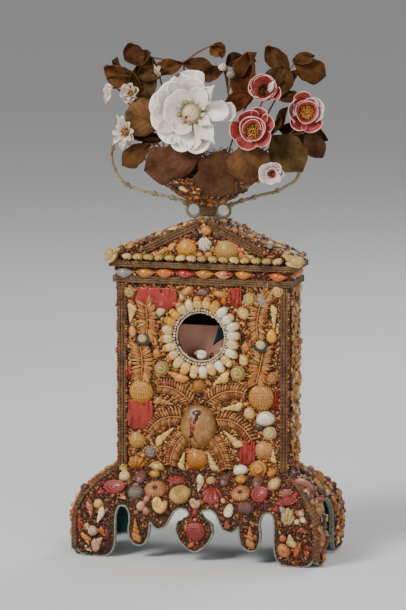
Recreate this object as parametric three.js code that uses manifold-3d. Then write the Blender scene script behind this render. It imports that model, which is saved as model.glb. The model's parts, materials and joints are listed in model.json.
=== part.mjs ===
/**
 * Shellwork watch stand: a hollow case on a flared, scalloped base, under a low roof that carries
 * a two-handled urn of shell flowers. Millimetres, +Z up, the front faces -Y, and the origin is on
 * the ground below the middle of the base.
 */
import * as THREE from 'three';
import { mergeVertices } from 'three/addons/utils/BufferGeometryUtils.js';
import Module from 'manifold-3d';

// Clearance between pieces that touch.
const clearance = 0.3;

// Case: thin boards round a hollow that takes a pocket watch behind a round porthole.
const caseWidth = 154;
const caseDepth = 37;
const caseHeight = 164;
const boardThickness = 4;
const portholeDiameter = 42.5;
const portholeShift = -2;
const watchRestThickness = 2.5;
const watchRestHeight = 119.5;
const watchRestStandoff = 3;
const backSlotWidth = 60;
const backSlotHeight = 20;
const backSlotDrop = 15;

// Base: four mitred skirts that flare out from the case and end in scalloped aprons.
const baseHeight = 76;
const skirtSpread = 33;
const skirtThickness = 3.5;
const shoulderHeight = 36;
const shoulderFullness = 0.9;
const shoulderCrest = 60;
const footWidth = 38.5;
const sideFootWidth = 36;
const footFlat = 14;
const footRound = 24;
const archTop = 46;
const sideArchTop = 51;
const archWidth = 10.5;
const dropWidth = 21;
const dropBottom = 11;
const lobeBottom = 27;
const notchHeight = 34;
const heartWidth = 35;
const heartBottom = 7.5;
const heartShoulder = 28;
const heartNeck = 11;

// Strips of twisted brown paper on the corners, the cornice and the gable.
const stripThickness = 2.4;
const cornerStripWidth = 7.5;
const corniceStripHeight = 6;
const rakingStripWidth = 6;
const rakingStripInset = 22.8;
const rakingStripLift = 3;
const rakingStripGap = 8;

// Cornice, frieze and roof.
const corniceHeight = 14;
const corniceStep = 1.5;
const plateThickness = 5;
const plateOverhang = 4.5;
const friezeCount = 9;
const friezeShellHeight = 6.6;
const friezeShellDepth = 3.6;
const corniceBeadCount = 15;
const corniceBeadRadius = 4;
const corniceBeadInset = 8.5;
const roofOverhang = 0.5;
const roofRise = 36.8;
const roofThickness = 4;
const roofDepth = 34;
const gableShellDepth = 3.5;

// Urn: collar, stem, bowl and the moss pad that holds the wires of the bouquet.
const collarRadius = 8;
const collarHeight = 2.2;
const stemRadius = 5.7;
const stemHeight = 10.3;
const bowlRadius = 44;
const bowlHeight = 25;
const bowlFootRadius = 7;
const bowlWall = 3;
const bowlSides = 16;
const mossCrown = 11;
const rootLift = 0.8;

// Handles: cord-wrapped wire from the rim of the bowl down to a ring beside the stem.
const wireRadius = 1.3;
const handleRingRadius = 6.2;
const handleRingDrop = 0.8;

// Large shells on the front.
const ringLobes = 24;
const ringOuterRadius = 35;
const ringLip = 1.6;
const ringThickness = 5;
const ringHeadroom = 11;
const spiderSideRoom = 20.5;
const spiderHeadroom = 7;
const cowrieDepth = 11;
const legThickness = 4.5;
const cockleLeft = { radius: 11.7, depth: 5, gap: 2.3 };
const cockleRight = { radius: 12.6, depth: 5.5, gap: 3.4 };
const limpetGap = 1.3;
const limpetDepth = 5;

// Height of the bouquet above the rim of the bowl.
const bouquetHeight = 115;

// Heights and half sizes that follow from the values above.
const halfWidth = caseWidth / 2;
const halfDepth = caseDepth / 2;
const caseBase = baseHeight + clearance;
const caseTop = caseBase + caseHeight;
const corniceBase = caseTop + clearance;
const plateBase = corniceBase + corniceHeight + clearance;
const plateTop = plateBase + plateThickness;
const roofBase = plateTop + clearance;
const roofApex = roofBase + roofRise;
const roofHalfWidth = halfWidth + plateOverhang + roofOverhang;
const portholeRise = caseHeight - ringHeadroom - ringOuterRadius;
const portholeHeight = caseBase + portholeRise;
const frontHalf = halfWidth - cornerStripWidth;
const spiderHalfSpan = frontHalf - spiderSideRoom;
const spiderHeight = portholeRise - ringOuterRadius - spiderHeadroom;
const collarTop = roofApex + collarHeight;
const stemBase = collarTop + clearance;
const bowlBase = stemBase + stemHeight + clearance;
const bowlRim = bowlBase + bowlHeight;
// The bouquet is drawn on a grid of 115 units from the rim to its top.
const bouquetUnit = bouquetHeight / 115;

const wasm = await Module();
wasm.setup();

/** Turns a closed three.js geometry into a solid that can be joined and cut. */
function toSolid(geometry) {
  const bare = geometry.clone();
  bare.deleteAttribute('normal');
  bare.deleteAttribute('uv');
  const merged = mergeVertices(bare, 1e-4);
  return new wasm.Manifold(new wasm.Mesh({
    numProp: 3,
    vertProperties: new Float32Array(merged.attributes.position.array),
    triVerts: new Uint32Array(merged.index.array),
  }));
}

/** Turns a solid back into a three.js geometry. */
function toGeometry(solid) {
  const mesh = solid.getMesh();
  const geometry = new THREE.BufferGeometry();
  geometry.setAttribute('position', new THREE.BufferAttribute(mesh.vertProperties, 3));
  geometry.setIndex(new THREE.BufferAttribute(mesh.triVerts, 1));
  geometry.computeVertexNormals();
  return geometry;
}

/** Joins closed geometries that overlap into one. */
function join(geometries) {
  return toGeometry(geometries.map(toSolid).reduce((whole, next) => whole.add(next)));
}

/** Cuts one closed geometry out of another. */
function cut(geometry, tool) {
  return toGeometry(toSolid(geometry).subtract(toSolid(tool)));
}

/** Keeps what two closed geometries share. */
function common(geometry, other) {
  return toGeometry(toSolid(geometry).intersect(toSolid(other)));
}

/** Extrudes a shape along Z. */
function extrude(shape, depth, curveSegments = 6) {
  return new THREE.ExtrudeGeometry(shape, { depth, curveSegments, bevelEnabled: false });
}

/** Extrudes a shape drawn in X and Z backwards to forwards, so that it ends at y = front. */
function extrudeForward(shape, depth, front, curveSegments = 6) {
  return extrude(shape, depth, curveSegments).rotateX(Math.PI / 2).translate(0, front + depth, 0);
}

/** A shape through a list of points. */
function polygon(points) {
  return new THREE.Shape(points.map(([x, y]) => new THREE.Vector2(x, y)));
}

/** A wire or twig of round section along a smooth path through points. */
function wire(points, radius, steps, sides = 6) {
  const path = new THREE.CatmullRomCurve3(points.map((point) => new THREE.Vector3(...point)));
  const section = polygon(Array.from({ length: sides }, (_, i) => {
    const angle = (2 * Math.PI * i) / sides;
    return [radius * Math.cos(angle), radius * Math.sin(angle)];
  }));
  return new THREE.ExtrudeGeometry(section, { steps, extrudePath: path, bevelEnabled: false });
}

/** A domed disc that lies on z = 0: the common form of limpets, cockles and urchins. */
function dome(radius, height, sides = 8) {
  const shares = [[0, 0], [1, 0], [0.86, 0.55], [0.5, 0.9], [0, 1]];
  const profile = shares.map(([x, y]) => new THREE.Vector2(x * radius, y * height));
  return new THREE.LatheGeometry(profile, sides).rotateX(Math.PI / 2);
}

/** A small rounded lump, six-sided about Z, with the given half sizes. */
function lump(halfX, halfY, halfZ) {
  return new THREE.SphereGeometry(1, 6, 4).rotateX(Math.PI / 2).scale(halfX, halfY, halfZ);
}

/**
 * A ring of petals as one thin closed plate about +Z. Its outline has a lobe for each petal and a
 * notch between two; rise lifts the outline above the middle.
 */
function corolla({ count, radius, notch = 0.8, rise, sectors = 4, turn = 0 }) {
  const thickness = 1;
  const middle = 0.55;
  const steps = count * sectors;
  const positions = [];
  for (const side of [1, -1]) {
    positions.push(0, 0, (side * thickness) / 2);
    for (const share of [middle, 1]) {
      for (let i = 0; i < steps; i += 1) {
        const lobe = notch + (1 - notch) * Math.sin((Math.PI * (i % sectors)) / sectors);
        const reach = radius * share * (share === 1 ? lobe : 1);
        const angle = (2 * Math.PI * (i + turn * sectors)) / steps;
        const height = rise * share * share + (side * thickness) / 2;
        positions.push(reach * Math.cos(angle), reach * Math.sin(angle), height);
      }
    }
  }
  const layer = 1 + 2 * steps;
  const index = [];
  for (let i = 0; i < steps; i += 1) {
    const next = (i + 1) % steps;
    const [a, b, c, d] = [1 + i, 1 + next, 1 + steps + i, 1 + steps + next];
    index.push(0, a, b, a, c, d, a, d, b);
    index.push(layer, layer + b, layer + a, layer + a, layer + d, layer + c, layer + a, layer + b, layer + d);
    index.push(c, layer + c, layer + d, c, layer + d, d);
  }
  const geometry = new THREE.BufferGeometry();
  geometry.setAttribute('position', new THREE.Float32BufferAttribute(positions, 3));
  geometry.setIndex(index);
  return geometry;
}

/**
 * A leaf or petal as a thin closed plate along +Y from the origin, its face towards +Z.
 * The width swells from the neck to the widest place and closes again at the tip; cup bends the
 * sides forward (backward if negative).
 */
function blade({ length, width, neck, widest, tip, cup }) {
  const thickness = 0.9;
  const along = 3;
  const across = 2;
  const positions = [];
  for (const side of [1, -1]) {
    for (let i = 0; i <= along; i += 1) {
      const t = i / along;
      const swell = t < widest
        ? neck + (1 - neck) * Math.sin((Math.PI / 2) * (t / widest))
        : tip + (1 - tip) * Math.cos((Math.PI / 2) * ((t - widest) / (1 - widest)));
      for (let j = 0; j <= across; j += 1) {
        const s = (2 * j) / across - 1;
        const lift = cup * s * s * swell + (side * thickness) / 2;
        positions.push((s * swell * width) / 2, t * length, lift);
      }
    }
  }
  const row = across + 1;
  const back = row * (along + 1);
  const index = [];
  const quad = (a, b, c, d) => index.push(a, b, c, a, c, d);
  for (let i = 0; i < along; i += 1) {
    for (let j = 0; j < across; j += 1) {
      const a = i * row + j;
      quad(a, a + 1, a + row + 1, a + row);
      quad(back + a, back + a + row, back + a + row + 1, back + a + 1);
    }
    const left = i * row;
    const right = left + across;
    quad(left, left + row, back + left + row, back + left);
    quad(right, back + right, back + right + row, right + row);
  }
  for (let j = 0; j < across; j += 1) {
    const end = along * row + j;
    quad(j, back + j, back + j + 1, j + 1);
    quad(end, end + 1, back + end + 1, back + end);
  }
  const geometry = new THREE.BufferGeometry();
  geometry.setAttribute('position', new THREE.Float32BufferAttribute(positions, 3));
  geometry.setIndex(index);
  return geometry;
}

/** A leaf between two points, its upper side turned towards a direction. */
function leaf({ from, to, width, towards = [0, -1, 0.2], ...form }) {
  const start = new THREE.Vector3(...from);
  const along = new THREE.Vector3(...to).sub(start);
  const length = along.length();
  along.normalize();
  const face = new THREE.Vector3(...towards);
  face.addScaledVector(along, -face.dot(along)).normalize();
  const across = new THREE.Vector3().crossVectors(along, face);
  const turn = new THREE.Matrix4().makeBasis(across, along, face).setPosition(start);
  return blade({ length, width, ...form }).applyMatrix4(turn);
}

const stand = new THREE.Group();
stand.name = 'shellwork_watch_stand';

/** Adds one named piece to a group and returns it. */
function piece(name, geometry, look, parent = stand) {
  const mesh = new THREE.Mesh(geometry, new THREE.MeshStandardMaterial(look));
  mesh.name = name;
  parent.add(mesh);
  return mesh;
}

const shellCrust = { color: 0xb98a5c, roughness: 0.7 };
const darkCrust = { color: 0x5a3626, roughness: 0.85 };
const tealPaper = { color: 0x1d3437, roughness: 0.9 };
const pinkPaper = { color: 0x9a6659, roughness: 0.85 };
const brownPaper = { color: 0x5e4630, roughness: 0.9 };
const paleShell = { color: 0xe3cfa2, roughness: 0.45 };
const orangeShell = { color: 0xb4702f, roughness: 0.5 };
const whiteShell = { color: 0xe9e7e4, roughness: 0.4 };
const pinkShell = { color: 0xb9606a, roughness: 0.4 };
const velvetLeaf = { color: 0x6e4026, roughness: 0.95 };
const cordWrap = { color: 0x6f6a4c, roughness: 0.9 };
const moss = { color: 0x33281c, roughness: 1 };

/** The curved line of a skirt from the case outwards, as distance from the case and height. */
const skirtCurve = new THREE.QuadraticBezierCurve(
  new THREE.Vector2(0, baseHeight),
  new THREE.Vector2(skirtSpread * shoulderFullness, shoulderCrest),
  new THREE.Vector2(skirtSpread, shoulderHeight),
);

/** Section of a skirt: flat under the case wall, rounded shoulder, upright apron. */
function skirtSection() {
  const outer = skirtCurve.getPoints(5);
  const inner = new THREE.QuadraticBezierCurve(
    new THREE.Vector2(-boardThickness, baseHeight - skirtThickness),
    new THREE.Vector2(skirtSpread * shoulderFullness - skirtThickness, shoulderCrest - skirtThickness),
    new THREE.Vector2(skirtSpread - skirtThickness, shoulderHeight),
  ).getPoints(4).reverse();
  const foot = [new THREE.Vector2(skirtSpread, 0), new THREE.Vector2(skirtSpread - skirtThickness, 0)];
  return new THREE.Shape([...outer, ...foot, ...inner, new THREE.Vector2(-boardThickness, baseHeight)]);
}

/** Adds the foot of an apron to a path that has come down to the foot's inner side. */
function addFoot(path, innerX, outerX) {
  const middle = (innerX + outerX) / 2;
  path.lineTo(innerX, footRound * 0.75);
  path.quadraticCurveTo(innerX, 0, middle - footFlat / 2, 0);
  path.lineTo(middle + footFlat / 2, 0);
  path.quadraticCurveTo(outerX, 0, outerX, footRound);
}

/** Lower edge of the front apron, from its middle to its right end. */
function frontEdge(outerX) {
  const footInner = outerX - footWidth;
  const dropOuter = footInner - archWidth;
  const notch = dropOuter - dropWidth;
  const drop = (dropOuter + notch) / 2;
  const bulge = heartWidth / 2;
  const neck = heartNeck / 2;
  const lobeInner = bulge + (notch - bulge) * 0.2;
  const lobe = (lobeInner + notch) / 2;
  const path = new THREE.Path();
  path.moveTo(0, heartBottom);
  path.quadraticCurveTo(bulge * 0.85, heartBottom + 6, bulge, heartShoulder);
  path.bezierCurveTo(bulge, heartShoulder + 9, neck, heartShoulder + 8, neck, archTop - 4);
  path.quadraticCurveTo(neck + 1, archTop, (neck + lobeInner) / 2, archTop);
  path.bezierCurveTo(lobeInner, archTop, lobeInner, lobeBottom, lobe, lobeBottom);
  path.quadraticCurveTo(notch - 2, lobeBottom, notch, notchHeight);
  path.bezierCurveTo(notch - 1, dropBottom + 12, notch + 2, dropBottom, drop, dropBottom);
  path.bezierCurveTo(dropOuter - 2, dropBottom, dropOuter + 1, dropBottom + 12, dropOuter - 2, notchHeight);
  path.quadraticCurveTo(dropOuter - 2, archTop, (dropOuter + footInner) / 2, archTop);
  path.quadraticCurveTo(footInner, archTop, footInner, notchHeight);
  addFoot(path, footInner, outerX);
  return path.getPoints(4);
}

/** Lower edge of a plain apron with one arch between its feet, from its middle to its right end. */
function plainEdge(outerX, foot, top) {
  const footInner = outerX - foot;
  const path = new THREE.Path();
  path.moveTo(0, top);
  path.bezierCurveTo(footInner * 0.7, top, footInner, top - 3, footInner, top - 16);
  addFoot(path, footInner, outerX);
  return path.getPoints(4);
}

/** One skirt, facing -Y, mitred at 45 degrees against its neighbours. */
function skirt(halfLength, halfAcross, edge) {
  const reach = halfLength + skirtSpread;
  const section = extrude(skirtSection(), 2 * reach);
  const outwards = new THREE.Matrix4().makeBasis(
    new THREE.Vector3(0, -1, 0),
    new THREE.Vector3(0, 0, 1),
    new THREE.Vector3(-1, 0, 0),
  ).setPosition(reach, -halfAcross, 0);
  section.applyMatrix4(outwards);
  const inside = halfLength - boardThickness - clearance / 2;
  const outside = reach - clearance / 2;
  const plan = polygon([
    [-inside, -halfAcross + boardThickness],
    [-outside, -halfAcross - skirtSpread],
    [outside, -halfAcross - skirtSpread],
    [inside, -halfAcross + boardThickness],
  ]);
  const mitred = common(section, extrude(plan, baseHeight));
  const right = edge(reach);
  const left = right.slice(1).reverse().map((point) => new THREE.Vector2(-point.x, point.y));
  const top = baseHeight + 1;
  const apron = new THREE.Shape([
    ...left, ...right, new THREE.Vector2(reach, top), new THREE.Vector2(-reach, top),
  ]);
  const depth = skirtSpread + boardThickness + 2;
  return common(mitred, extrudeForward(apron, depth, -halfAcross - skirtSpread - 1));
}

piece('base_front', skirt(halfWidth, halfDepth, frontEdge), darkCrust);
piece('base_back', skirt(halfWidth, halfDepth, (x) => plainEdge(x, footWidth, archTop)), darkCrust)
  .rotation.z = Math.PI;
const sideEdge = (x) => plainEdge(x, sideFootWidth, sideArchTop);
piece('base_right', skirt(halfDepth, halfWidth, sideEdge), darkCrust).rotation.z = Math.PI / 2;
piece('base_left', skirt(halfDepth, halfWidth, sideEdge), darkCrust).rotation.z = -Math.PI / 2;

// Case boards: front and back cover the ends of the sides; floor and top fit inside.
const innerWidth = caseWidth - 2 * (boardThickness + clearance);
const innerDepth = caseDepth - 2 * (boardThickness + clearance);
const caseMiddle = caseBase + caseHeight / 2;
const boardAcross = halfDepth - boardThickness / 2;

/** A board of the given size. */
function board(width, depth, height) {
  return new THREE.BoxGeometry(width, depth, height);
}

const portholeCutter = new THREE.CylinderGeometry(
  portholeDiameter / 2, portholeDiameter / 2, 3 * boardThickness, 36,
).translate(portholeShift, 0, portholeHeight - caseMiddle);
piece('case_front', cut(board(caseWidth, boardThickness, caseHeight), portholeCutter), shellCrust)
  .position.set(0, -boardAcross, caseMiddle);

const slotCutter = board(backSlotWidth, 3 * boardThickness, backSlotHeight)
  .translate(0, 0, caseHeight / 2 - backSlotDrop);
piece('case_back', cut(board(caseWidth, boardThickness, caseHeight), slotCutter), brownPaper)
  .position.set(0, boardAcross, caseMiddle);

for (const [name, side] of [['case_left', -1], ['case_right', 1]]) {
  piece(name, board(boardThickness, innerDepth, caseHeight), shellCrust)
    .position.set(side * (halfWidth - boardThickness / 2), 0, caseMiddle);
}
piece('case_floor', board(innerWidth, innerDepth, boardThickness), tealPaper)
  .position.set(0, 0, caseBase + boardThickness / 2);
piece('case_top', board(innerWidth, innerDepth, boardThickness), tealPaper)
  .position.set(0, 0, caseTop - boardThickness / 2);

const restBase = caseBase + boardThickness + clearance;
const restBack = innerDepth / 2 - watchRestStandoff;
piece('watch_rest', board(innerWidth, watchRestThickness, watchRestHeight), pinkPaper)
  .position.set(0, restBack - watchRestThickness / 2, restBase + watchRestHeight / 2);

// Corner strips up the front and the back of the case.
const cornerStripLength = caseHeight - 2 * clearance;
const cornerStrip = () => board(cornerStripWidth, stripThickness, cornerStripLength);
for (const [row, face] of [['front', -1], ['back', 1]]) {
  for (const [name, side] of [['left', -1], ['right', 1]]) {
    piece(`corner_strip_${row}_${name}`, cornerStrip(), brownPaper)
      .position.set(
        side * (halfWidth - cornerStripWidth / 2),
        face * (halfDepth + clearance + stripThickness / 2),
        caseMiddle,
      );
  }
}

/** A strip bent round the four sides of a board. */
function stripRing(width, depth, height) {
  const inset = 2 * clearance;
  const wrap = inset + 2 * stripThickness;
  return cut(board(width + wrap, depth + wrap, height), board(width + inset, depth + inset, 2 * height));
}

const corniceWidth = caseWidth + 2 * corniceStep;
const corniceDepth = caseDepth + 2 * corniceStep;
const plateWidth = caseWidth + 2 * plateOverhang;
const plateDepth = caseDepth + 2 * plateOverhang;
piece('cornice_board', board(corniceWidth, corniceDepth, corniceHeight), darkCrust)
  .position.set(0, 0, corniceBase + corniceHeight / 2);
piece('cornice_plate', board(plateWidth, plateDepth, plateThickness), darkCrust)
  .position.set(0, 0, plateBase + plateThickness / 2);
piece('cornice_strip_lower', stripRing(corniceWidth, corniceDepth, corniceStripHeight), brownPaper)
  .position.set(0, 0, corniceBase + corniceStripHeight / 2);
piece('cornice_strip_upper', stripRing(plateWidth, plateDepth, plateThickness), brownPaper)
  .position.set(0, 0, plateBase + plateThickness / 2);

/** A row of like shells on one glue line along X, turned from a profile and pressed to its depth. */
function shellRow(count, pitch, profile, halfDepthY, sides) {
  const start = (-pitch * count) / 2;
  const line = Array.from({ length: count }, (_, i) => profile.map(([radius, x]) => (
    new THREE.Vector2(radius, start + pitch * i + x)
  ))).flat();
  const last = new THREE.Vector2(profile[0][0], -line[0].y);
  const ends = [new THREE.Vector2(0, line[0].y), new THREE.Vector2(0, last.y)];
  const tallest = Math.max(...profile.map(([radius]) => radius));
  return new THREE.LatheGeometry([ends[0], ...line, last, ends[1]], sides, Math.PI / sides)
    .rotateZ(-Math.PI / 2)
    .scale(1, 1, halfDepthY / tallest)
    .rotateX(Math.PI / 2);
}

const friezePitch = corniceWidth / friezeCount;
const friezeGapMiddle = (corniceBase + corniceStripHeight + plateBase) / 2;
const corniceBeadY = -roofDepth / 2 - gableShellDepth - 2 * clearance - corniceBeadRadius;
const friezeLens = [[friezeShellHeight * 0.12, 0], [friezeShellHeight / 2, friezePitch / 2]];
piece('frieze_shells', shellRow(friezeCount, friezePitch, friezeLens, friezeShellDepth / 2, 6), orangeShell)
  .position.set(0, -corniceDepth / 2 - clearance - friezeShellDepth / 2, friezeGapMiddle);
const beadPitch = (caseWidth - 2 * corniceBeadInset) / (corniceBeadCount - 1);
const beadProfile = [
  [corniceBeadRadius * 0.3, beadPitch / 2 - corniceBeadRadius],
  [corniceBeadRadius, beadPitch / 2 - corniceBeadRadius * 0.45],
  [corniceBeadRadius, beadPitch / 2 + corniceBeadRadius * 0.45],
];
piece('cornice_beads', shellRow(corniceBeadCount, beadPitch, beadProfile, corniceBeadRadius, 5), paleShell)
  .position.set(0, corniceBeadY, plateTop + clearance + corniceBeadRadius);

// Roof: two sloping boards over a front and a back gable, hollow between them.
const roofDrop = roofThickness * Math.hypot(1, roofRise / roofHalfWidth);
for (const [name, side] of [['roof_left', -1], ['roof_right', 1]]) {
  const slope = polygon([
    [side * clearance / 2, roofApex],
    [side * clearance / 2, roofApex - roofDrop],
    [side * roofHalfWidth, roofBase],
    [side * roofHalfWidth, roofBase + roofThickness],
  ]);
  piece(name, extrudeForward(slope, roofDepth, -roofDepth / 2), shellCrust);
}
const gableRise = roofApex - roofDrop - clearance - roofBase;
const gableHalf = roofHalfWidth * (gableRise / (gableRise + clearance));
const gableFronts = { gable_front: -roofDepth / 2, gable_back: roofDepth / 2 - boardThickness };
for (const [name, front] of Object.entries(gableFronts)) {
  const triangle = polygon([[-gableHalf, 0], [gableHalf, 0], [0, gableRise]]);
  piece(name, extrudeForward(triangle, boardThickness, front), shellCrust).position.z = roofBase;
}

// Strips that rake up the front gable and meet at its top.
const rakingFoot = plateTop + 2 * (clearance + corniceBeadRadius);
const rakingApex = roofApex + rakingStripLift;
const rakingReach = roofHalfWidth - rakingStripInset;
const rakingSlope = (rakingApex - rakingFoot) / rakingReach;
const rakingDrop = rakingStripWidth * Math.hypot(1, rakingSlope);
const rakingStart = rakingStripGap / 2;
for (const [name, side] of [['raking_strip_left', -1], ['raking_strip_right', 1]]) {
  const strip = polygon([
    [side * rakingStart, rakingApex - rakingStart * rakingSlope],
    [side * rakingStart, rakingApex - rakingStart * rakingSlope - rakingDrop],
    [side * (rakingReach - rakingDrop / rakingSlope), rakingFoot],
    [side * rakingReach, rakingFoot],
  ]);
  piece(name, extrudeForward(strip, stripThickness, -roofDepth / 2 - clearance - stripThickness), brownPaper);
}

// Urn collar, cut to sit on the ridge, and the stem above it.
const collarBody = new THREE.CylinderGeometry(collarRadius, collarRadius, 2 * collarHeight + 4, 16)
  .rotateX(Math.PI / 2)
  .translate(0, 0, collarTop - collarHeight - 2);
const ridge = polygon([
  [0, roofApex + clearance],
  [-roofHalfWidth, roofBase + roofThickness + clearance],
  [-roofHalfWidth, roofBase - roofThickness],
  [roofHalfWidth, roofBase - roofThickness],
  [roofHalfWidth, roofBase + roofThickness + clearance],
]);
piece('urn_collar', cut(collarBody, extrudeForward(ridge, roofDepth, -roofDepth / 2)), {
  color: 0x7d8468,
  roughness: 0.8,
});
const stemBody = new THREE.CylinderGeometry(stemRadius, stemRadius, stemHeight, 12);
piece('urn_stem', stemBody.rotateX(Math.PI / 2), brownPaper)
  .position.set(0, 0, stemBase + stemHeight / 2);

/** Outer line of the bowl from the foot to the rim, in radius and height above the foot. */
const bowlCurve = new THREE.QuadraticBezierCurve(
  new THREE.Vector2(bowlFootRadius, 0),
  new THREE.Vector2(bowlRadius * 0.62, bowlHeight * 0.16),
  new THREE.Vector2(bowlRadius, bowlHeight),
);

/** Line of the bowl moved inwards and up by a distance, starting on the axis. */
function bowlInside(inset) {
  const line = bowlCurve.getPoints(4).map((point, i, all) => {
    const blend = i / (all.length - 1);
    return new THREE.Vector2(point.x - inset * blend, point.y + inset * (1 - blend) * 1.2);
  });
  return [new THREE.Vector2(0, line[0].y), ...line];
}

const bowlOutside = bowlCurve.getPoints(4);
const bowlProfile = [new THREE.Vector2(0, 0), ...bowlOutside, ...bowlInside(bowlWall).reverse()];
piece('urn_bowl', new THREE.LatheGeometry(bowlProfile, bowlSides).rotateX(Math.PI / 2), orangeShell)
  .position.z = bowlBase;

const mossLine = bowlInside(bowlWall + clearance * 2);
const mossRim = mossLine[mossLine.length - 1];
const mossTop = [
  new THREE.Vector2(mossRim.x * 0.7, mossRim.y + mossCrown * 0.7),
  new THREE.Vector2(mossRim.x * 0.35, mossRim.y + mossCrown * 0.95),
  new THREE.Vector2(0, mossRim.y + mossCrown),
];
piece('moss_pad', new THREE.LatheGeometry([...mossLine, ...mossTop], bowlSides).rotateX(Math.PI / 2), moss)
  .position.z = bowlBase;

/** A place on top of the moss where a wire comes out of it, in the bouquet's own grid. */
function root(x, y) {
  const line = [mossRim, ...mossTop];
  const radius = Math.hypot(x, y) * bouquetUnit;
  const outer = Math.max(1, line.findIndex((point) => point.x <= radius));
  const [a, b] = [line[outer - 1], line[outer]];
  const height = b.y + ((a.y - b.y) * (radius - b.x)) / (a.x - b.x);
  return [x, y, (height - bowlHeight + rootLift) / bouquetUnit];
}

// Handles. The free points are a hand-bent sweep, given from the middle of the rim.
const ringX = stemRadius + clearance + wireRadius + handleRingRadius;
const ringZ = (collarTop + bowlBase) / 2 - handleRingDrop;
const rimStart = [bowlRadius + 2 * clearance + wireRadius, 0, bowlRim - 2];
const handleSweeps = {
  handle_left: [[60, 15], [74, 27], [84, 27], [88, 16], [85, 2], [77, -9], [60, -15.5]],
  handle_right: [[58, 8], [70, 14], [79, 11], [81, 4], [77, -3.5], [69, -8], [58, -13.5]],
};
for (const [name, sweep] of Object.entries(handleSweeps)) {
  const side = name.endsWith('left') ? -1 : 1;
  const points = [
    rimStart,
    ...sweep.map(([x, rise]) => [x, 0, bowlRim + rise]),
    [ringX + handleRingRadius * 2.4, 0, ringZ + handleRingRadius + 2.5],
    [ringX + handleRingRadius * 0.9, 0, ringZ + handleRingRadius * 0.75],
  ];
  const mirrored = points.map(([x, y, z]) => [side * x, y, z]);
  const ring = new THREE.TorusGeometry(handleRingRadius, wireRadius, 5, 10)
    .rotateX(Math.PI / 2)
    .translate(side * ringX, 0, ringZ);
  piece(name, join([wire(mirrored, wireRadius, 17, 5), ring]), cordWrap);
}

// Porthole ring: shells set side by side round the opening.
const ringShape = new THREE.Shape(Array.from({ length: ringLobes * 2 }, (_, i) => {
  const angle = (2 * Math.PI * i) / (ringLobes * 2);
  const radius = ringOuterRadius * (i % 2 === 0 ? 0.94 : 1);
  return new THREE.Vector2(radius * Math.cos(angle), radius * Math.sin(angle));
}));
const ringHole = new THREE.Path();
ringHole.absarc(0, 0, portholeDiameter / 2 + ringLip, 0, 2 * Math.PI, true);
ringShape.holes.push(ringHole);
piece('porthole_ring', extrudeForward(ringShape, ringThickness, 0, 14), paleShell)
  .position.set(portholeShift, -halfDepth - clearance - ringThickness, portholeHeight);

/** A shell set on the front of the case, its flat side against the board. */
function frontShell(name, geometry, x, rise, look) {
  piece(name, geometry.rotateX(Math.PI / 2), look).position.set(x, -halfDepth - clearance, caseBase + rise);
}

// Spider: a cowrie and six legs. The figure's places are shares of its half span and its height.
const cowrieHalfWidth = spiderHalfSpan * 0.347;
const cowrieHalfHeight = spiderHeight * 0.257;
const cowrieRise = spiderHeight * 0.507;
const legWidth = Math.min(spiderHeight * 0.125, spiderHalfSpan * 0.194);
const legs = {
  spider_leg_upper_left: [[-0.245, 0.796], [-0.49, 1], [-0.776, 0.98]],
  spider_leg_upper_right: [[0.102, 0.796], [0.388, 0.961], [0.735, 0.928]],
  spider_leg_middle_left: [[-0.469, 0.638], [-0.755, 0.684], [-1, 0.434]],
  spider_leg_middle_right: [[0.327, 0.612], [0.633, 0.632], [0.918, 0.388]],
  spider_leg_lower_left: [[-0.449, 0.434], [-0.735, 0.316], [-0.633, 0.039]],
  spider_leg_lower_right: [[0.276, 0.414], [0.531, 0.342], [0.449, 0.039]],
};

const cowrieBody = new THREE.SphereGeometry(1, 12, 8)
  .scale(cowrieHalfWidth, cowrieHalfHeight, cowrieDepth);
const cowrieBed = board(3 * cowrieHalfWidth, 3 * cowrieHalfHeight, 2 * cowrieDepth)
  .translate(0, 0, -cowrieDepth);
const cowrie = cut(cowrieBody, cowrieBed);
frontShell('spider_body_cowrie', cowrie, -0.082 * spiderHalfSpan, cowrieRise, paleShell);

// Cockles beside the spider, each a gap away from its corner strip, and a limpet below the cowrie.
const cockles = [
  ['cockle_left', -1, cockleLeft, spiderHeight * 0.914],
  ['cockle_right', 1, cockleRight, spiderHeight * 0.868],
];
for (const [name, side, { radius, depth, gap }, rise] of cockles) {
  frontShell(name, dome(radius, depth), side * (frontHalf - gap - radius), rise, paleShell);
}
const limpetRadius = (cowrieRise - cowrieHalfHeight - clearance - limpetGap) / 2;
const limpet = dome(limpetRadius, limpetDepth);
frontShell('limpet_orange', limpet, -0.098 * spiderHalfSpan, limpetRadius + clearance, orangeShell);

/** A leg with scalloped sides along a bent line of three points: two rows of bead shells. */
function spiderLeg(shares) {
  const points = shares.map(([x, rise]) => new THREE.Vector2(x * spiderHalfSpan, rise * spiderHeight));
  const line = new THREE.QuadraticBezierCurve(...points);
  const stepCount = 8;
  const sides = [[], []];
  for (let i = 0; i <= stepCount; i += 1) {
    const t = i / stepCount;
    const at = line.getPoint(t);
    const across = line.getTangent(t).rotateAround(new THREE.Vector2(), Math.PI / 2);
    const taper = 1 - 0.35 * t;
    const half = (legWidth / 2) * taper * (i % 2 ? 1 : 0.78);
    sides[0].push(at.clone().addScaledVector(across, half));
    sides[1].unshift(at.clone().addScaledVector(across, -half));
  }
  return extrudeForward(new THREE.Shape([...sides[0], ...sides[1]]), legThickness, 0);
}

for (const [name, line] of Object.entries(legs)) {
  piece(name, spiderLeg(line), orangeShell)
    .position.set(0, -halfDepth - clearance - legThickness, caseBase);
}

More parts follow.
